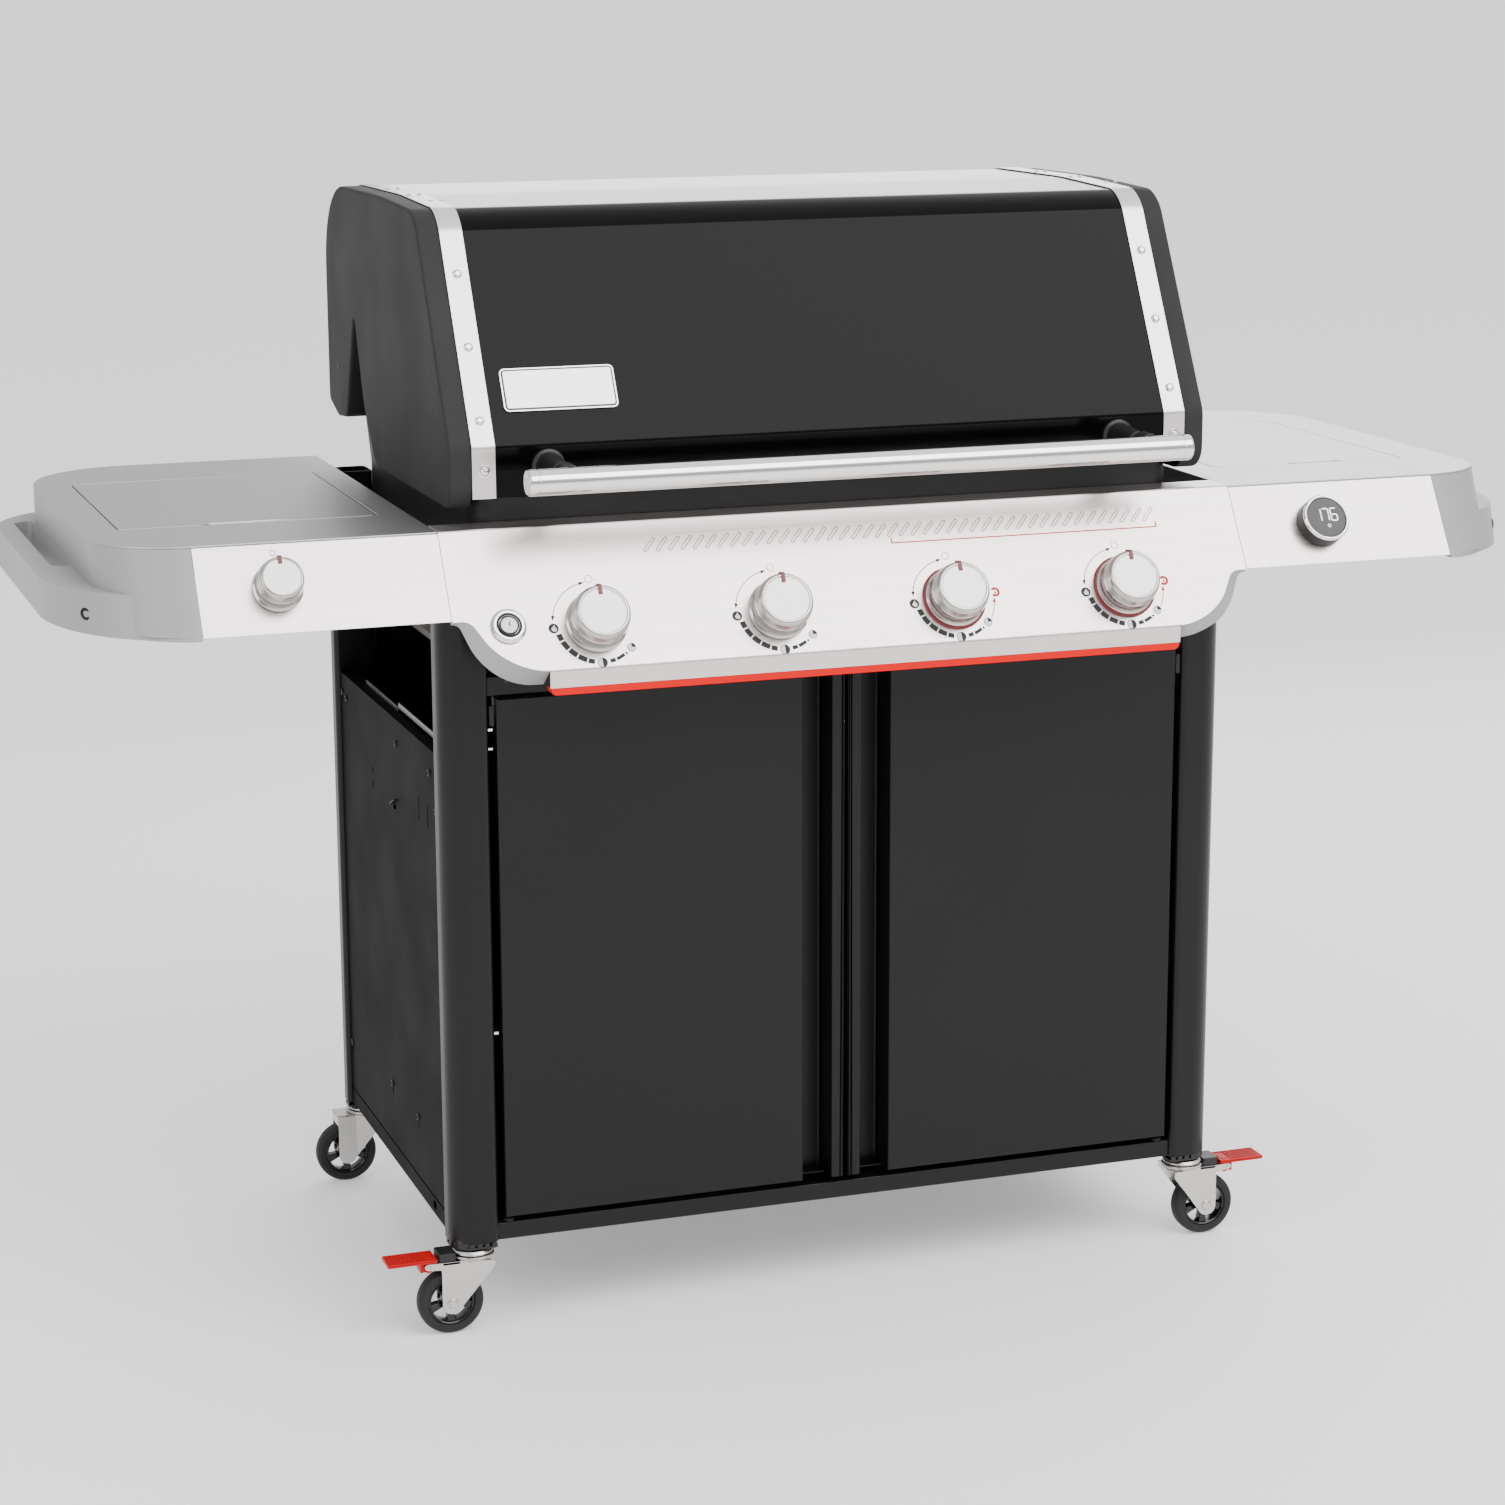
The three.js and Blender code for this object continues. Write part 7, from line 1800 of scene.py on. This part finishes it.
SWIVEL = (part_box("front_post_right")[0].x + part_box("front_post_right")[1].x) / 2
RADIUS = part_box("caster_wheel_front_right")[1].z / 2
TRAIL, HEAD, FORK = 0.027, 0.086, 0.0125
for fore in ("front", "rear"):
    lo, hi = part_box(f"{fore}_post_right")
    race_y = (lo.y + hi.y) / 2
    for word, side in SIDES:
        corner = f"{fore}_{word}"

        def stand(bm):
            """Sets a caster part, made about its swivel, under its post."""
            flip(bm, side)
            bmesh.ops.translate(bm, vec=(side * SWIVEL, race_y, 0), verts=bm.verts)

        # Head: a dished flange, the dark line of the ball race, and a domed cap over the stem
        bm = bmesh.new()
        spun(bm, [(0, HEAD - 0.0006), (0.0190, HEAD - 0.0006, 0.001), (0.0235, HEAD + 0.0022, 0.002),
                  (0.0250, HEAD + 0.0042, 0.0008), (0.0246, HEAD + 0.0058, 0.0008), (0.0205, HEAD + 0.0066, 0.0006),
                  (0.0195, HEAD + 0.0060), (0.0195, HEAD + 0.0076), (0.0225, HEAD + 0.0072, 0.0006),
                  (0.0234, HEAD + 0.0088, 0.0012), (0.0205, HEAD + 0.0120, 0.003), (0.0130, HEAD + 0.0134, 0.002),
                  (0.0055, HEAD + 0.0136), (0.0054, HEAD + 0.026), (0, HEAD + 0.026)],
             (0, 0, 0), (0, 0, 1), (1, 0, 0), steps=64, segments=3)
        stand(bm)
        make_piece(f"caster_head_{corner}", bm, nickel, f"{corner}_caster", smooth=40)
        # Fork: a strap down each side of the wheel, with a wing that sweeps back to the head
        bm = bmesh.new()
        for out in (-1, 1):
            strap = bmesh.new()
            y = out * (FORK + 0.0025)
            brake_end = [(TRAIL + 0.012, y, HEAD - 0.0075, 0.002), (TRAIL + 0.028, y, HEAD - 0.0062, 0.006),
                         (TRAIL + 0.0312, y, HEAD - 0.0062 + 0.0022, 0.004), (TRAIL + 0.0312, y, HEAD + 0.0010, 0.004),
                         (TRAIL + 0.026, y, HEAD + 0.0016, 0.003)] if fore == "front" else []
            draw_line(strap, [(TRAIL - 0.0095, y, HEAD + 0.0010)] +
                      [(TRAIL - 0.0112, y, RADIUS - 0.0120, 0.0112)] +
                      [(TRAIL + 0.0118, y, RADIUS - 0.0120, 0.0112)] + brake_end +
                      [(TRAIL + 0.012, y, HEAD + 0.0010)], closed=True, segments=8)
            strap_face = fill_flat(strap)
            bmesh.ops.solidify(strap, geom=strap_face, thickness=0.0024)
            rims = [e for e in strap.edges if e.calc_face_angle(0) > 1.2]
            bmesh.ops.bevel(strap, geom=rims, offset=0.0005, offset_type="OFFSET", segments=2, profile=0.5,
                            affect="EDGES", material=-1)
            join(bm, strap)
            wing = bmesh.new()
            lift = out * 0.0085
            draw_line(wing, [(TRAIL - 0.0094, y, HEAD + 0.0006), (-0.0195, y + lift, HEAD + 0.0006), (-0.0195, y + lift, HEAD - 0.0060),
                             (TRAIL - 0.0094, y, RADIUS - 0.006)], closed=True, segments=4)
            wing_face = bmesh.ops.triangle_fill(wing, use_beauty=True, edges=wing.edges[:])
            bmesh.ops.subdivide_edges(wing, edges=wing.edges[:], cuts=2, use_grid_fill=True)
            bmesh.ops.solidify(wing, geom=wing.faces[:], thickness=0.0020)
            join(bm, wing)
            # Axle head: a flat disc inside a pressed ring
            boss = bmesh.new()
            spun(boss, [(0, 0.0014), (0.0040, 0.0014, 0.0003), (0.0044, 0.0008), (0.0050, 0.0008), (0.0056, 0.0016, 0.0004),
                        (0.0066, 0.0010, 0.0003), (0.0068, 0)], (TRAIL, y, RADIUS), (0, out, 0), (1, 0, 0), steps=32)
            join(bm, boss)
            if fore == "front":
                rivet = bmesh.new()
                spun(rivet, [(0, 0.0012), (0.0018, 0.0011, 0.0006), (0.0026, 0)],
                     (TRAIL + 0.026, y, HEAD - 0.0028), (0, out, 0), (1, 0, 0), steps=20)
                join(bm, rivet)
        plate(bm, -0.0195, TRAIL + 0.0118, -FORK - 0.0025, FORK + 0.0025, HEAD - 0.0020, HEAD + 0.0010, 0.0015, 0.0006)
        if fore == "rear":
            plate(bm, TRAIL - 0.0110, TRAIL + 0.0128, -FORK - 0.0028, FORK + 0.0028, HEAD + 0.0004, HEAD + 0.0022, 0.0010, 0.0006)
            plate(bm, TRAIL + 0.0105, TRAIL + 0.0128, -FORK - 0.0026, FORK + 0.0026, HEAD - 0.0100, HEAD + 0.0014, 0.0008, 0.0005)
        spun(bm, [(0, -FORK), (0.0038, -FORK), (0.0038, FORK), (0, FORK)], (TRAIL, 0, RADIUS), (0, 1, 0), (1, 0, 0),
             steps=24)
        stand(bm)
        make_piece(f"caster_fork_pressing_{corner}", bm, nickel, f"{corner}_caster",
                   [f"caster_fork_{corner}"], smooth=40)

        # Tyre and hub
        bm = bmesh.new()
        spun(bm, [(0.0262, -0.0075), (0.0270, -0.0100, 0.001), (0.0335, -0.0105, 0.003), (0.0372, -0.0070, 0.005),
                  (RADIUS, 0, 0.03), (0.0372, 0.0070, 0.005), (0.0335, 0.0105, 0.003), (0.0270, 0.0100, 0.001),
                  (0.0262, 0.0075), (0.0262, -0.0075)],
             (TRAIL, 0, RADIUS), (0, 1, 0), (1, 0, 0), steps=72, segments=4)
        stand(bm)
        make_piece(f"caster_tyre_{corner}", bm, rubber, f"{corner}_wheel",
                   [f"caster_wheel_{corner}"], smooth=45)
        bm = bmesh.new()
        spun(bm, [(0.0264, -0.0086), (0.0264, 0.0086), (0.0252, 0.0092, 0.0005), (0.0238, 0.0082, 0.0005), (0.0232, 0, 0.003),
                  (0.0238, -0.0082, 0.0005), (0.0252, -0.0092, 0.0005), (0.0264, -0.0086)],
             (TRAIL, 0, RADIUS), (0, 1, 0), (1, 0, 0), steps=60, segments=3)
        spun(bm, [(0.0042, -0.0104), (0.0042, 0.0104), (0.0082, 0.0104, 0.0008), (0.0098, 0.0075, 0.001), (0.0110, 0.0030, 0.002),
                  (0.0110, -0.0030, 0.002), (0.0098, -0.0075, 0.001), (0.0082, -0.0104, 0.0008), (0.0042, -0.0104)],
             (TRAIL, 0, RADIUS), (0, 1, 0), (1, 0, 0), steps=48, segments=3)
        for k in range(5):
            spoke = bmesh.new()
            bmesh.ops.create_cube(spoke, size=1)
            bmesh.ops.scale(spoke, vec=(0.0150, 0.0095, 0.0060), verts=spoke.verts)
            bmesh.ops.translate(spoke, vec=(0.0168, 0, 0), verts=spoke.verts)
            broad = [v for v in spoke.verts if v.co.x > 0.02]
            bmesh.ops.scale(spoke, vec=(1, 1.25, 1.7), verts=broad)
            bmesh.ops.bevel(spoke, geom=spoke.edges[:], offset=0.0010, offset_type="OFFSET", segments=2, profile=0.5,
                            affect="EDGES", material=-1)
            turn = Matrix.Translation((TRAIL, 0, RADIUS)) @ Matrix.Rotation(math.radians(72 * k + 18), 4, "Y")
            bmesh.ops.transform(spoke, matrix=turn, verts=spoke.verts)
            join(bm, spoke)
        stand(bm)
        make_piece(f"caster_hub_{corner}", bm, gloss_hub, f"{corner}_wheel", smooth=45)

        if fore == "rear":
            continue
        # Foot brake: a ribbed red tread over a moulded hook, and the black block behind it
        pivot, pedal_z, pedal_top = TRAIL + 0.026, HEAD - 0.003, HEAD + 0.0065
        bm = bmesh.new()
        plate(bm, TRAIL + 0.0170, TRAIL + 0.0730, -0.0160, 0.0160, pedal_top - 0.0040, pedal_top - 0.0010, 0.0020, 0.0006)
        for y0, y1 in ((-0.0160, -0.0138), (0.0138, 0.0160)):
            plate(bm, TRAIL + 0.0172, TRAIL + 0.0728, y0, y1, pedal_top - 0.0020, pedal_top - 0.0002, 0.0008, 0.0004)
        for x0 in (TRAIL + 0.0172, TRAIL + 0.0708):
            plate(bm, x0, x0 + 0.0020, -0.0158, 0.0158, pedal_top - 0.0020, pedal_top - 0.0002, 0.0008, 0.0004)
        plate(bm, TRAIL + 0.0205, TRAIL + 0.0300, -0.0080, 0.0080, pedal_top - 0.0020, pedal_top - 0.0004, 0.0030, 0.0004)
        for k in range(10):
            x = TRAIL + 0.0325 + k * 0.0038
            plate(bm, x, x + 0.0016, -0.0140, 0.0140, pedal_top - 0.0020, pedal_top, 0.0006, 0.0005)
        hook = bmesh.new()
        draw_line(hook, [(pivot - 0.0070, 0.0100, pedal_top - 0.0030), (pivot - 0.0075, 0.0100, pedal_z - 0.0040, 0.003),
                         (pivot - 0.0020, 0.0100, pedal_z - 0.0080, 0.004), (pivot + 0.0050, 0.0100, pedal_z - 0.0060, 0.002),
                         (pivot + 0.0090, 0.0100, pedal_z - 0.0070, 0.0008), (pivot + 0.0090, 0.0100, pedal_top - 0.0030)],
                  closed=True, segments=4)
        pull(hook, bmesh.ops.extrude_face_region(hook, geom=fill_flat(hook)), (0, -0.0200, 0))
        sharp = [e for e in hook.edges if e.calc_face_angle(0) > 1.2]
        bmesh.ops.bevel(hook, geom=sharp, offset=0.0006, offset_type="OFFSET", segments=2, profile=0.5,
                        affect="EDGES", material=-1)
        join(bm, hook)
        stand(bm)
        make_piece(f"brake_pedal_tread_{corner}", bm, red_nylon, f"{corner}_pedal",
                   [f"brake_pedal_{corner}"], smooth=40)
        bm = bmesh.new()
        plate(bm, 0.0215, TRAIL + 0.0150, -0.0135, 0.0135, HEAD + 0.0004, HEAD + 0.0105, 0.0030, 0.0012)
        stand(bm)
        make_piece(f"brake_block_{corner}", bm, nylon, f"{corner}_caster")

# ---------------------------------------------------------------- finish
# Large flat faces keep their own shading beside small rounded edges, on every new piece.
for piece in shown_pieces():
    if "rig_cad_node" not in piece:
        shading = piece.modifiers.new("face_shading", "WEIGHTED_NORMAL")
        shading.keep_sharp = True
        shading.weight = 100
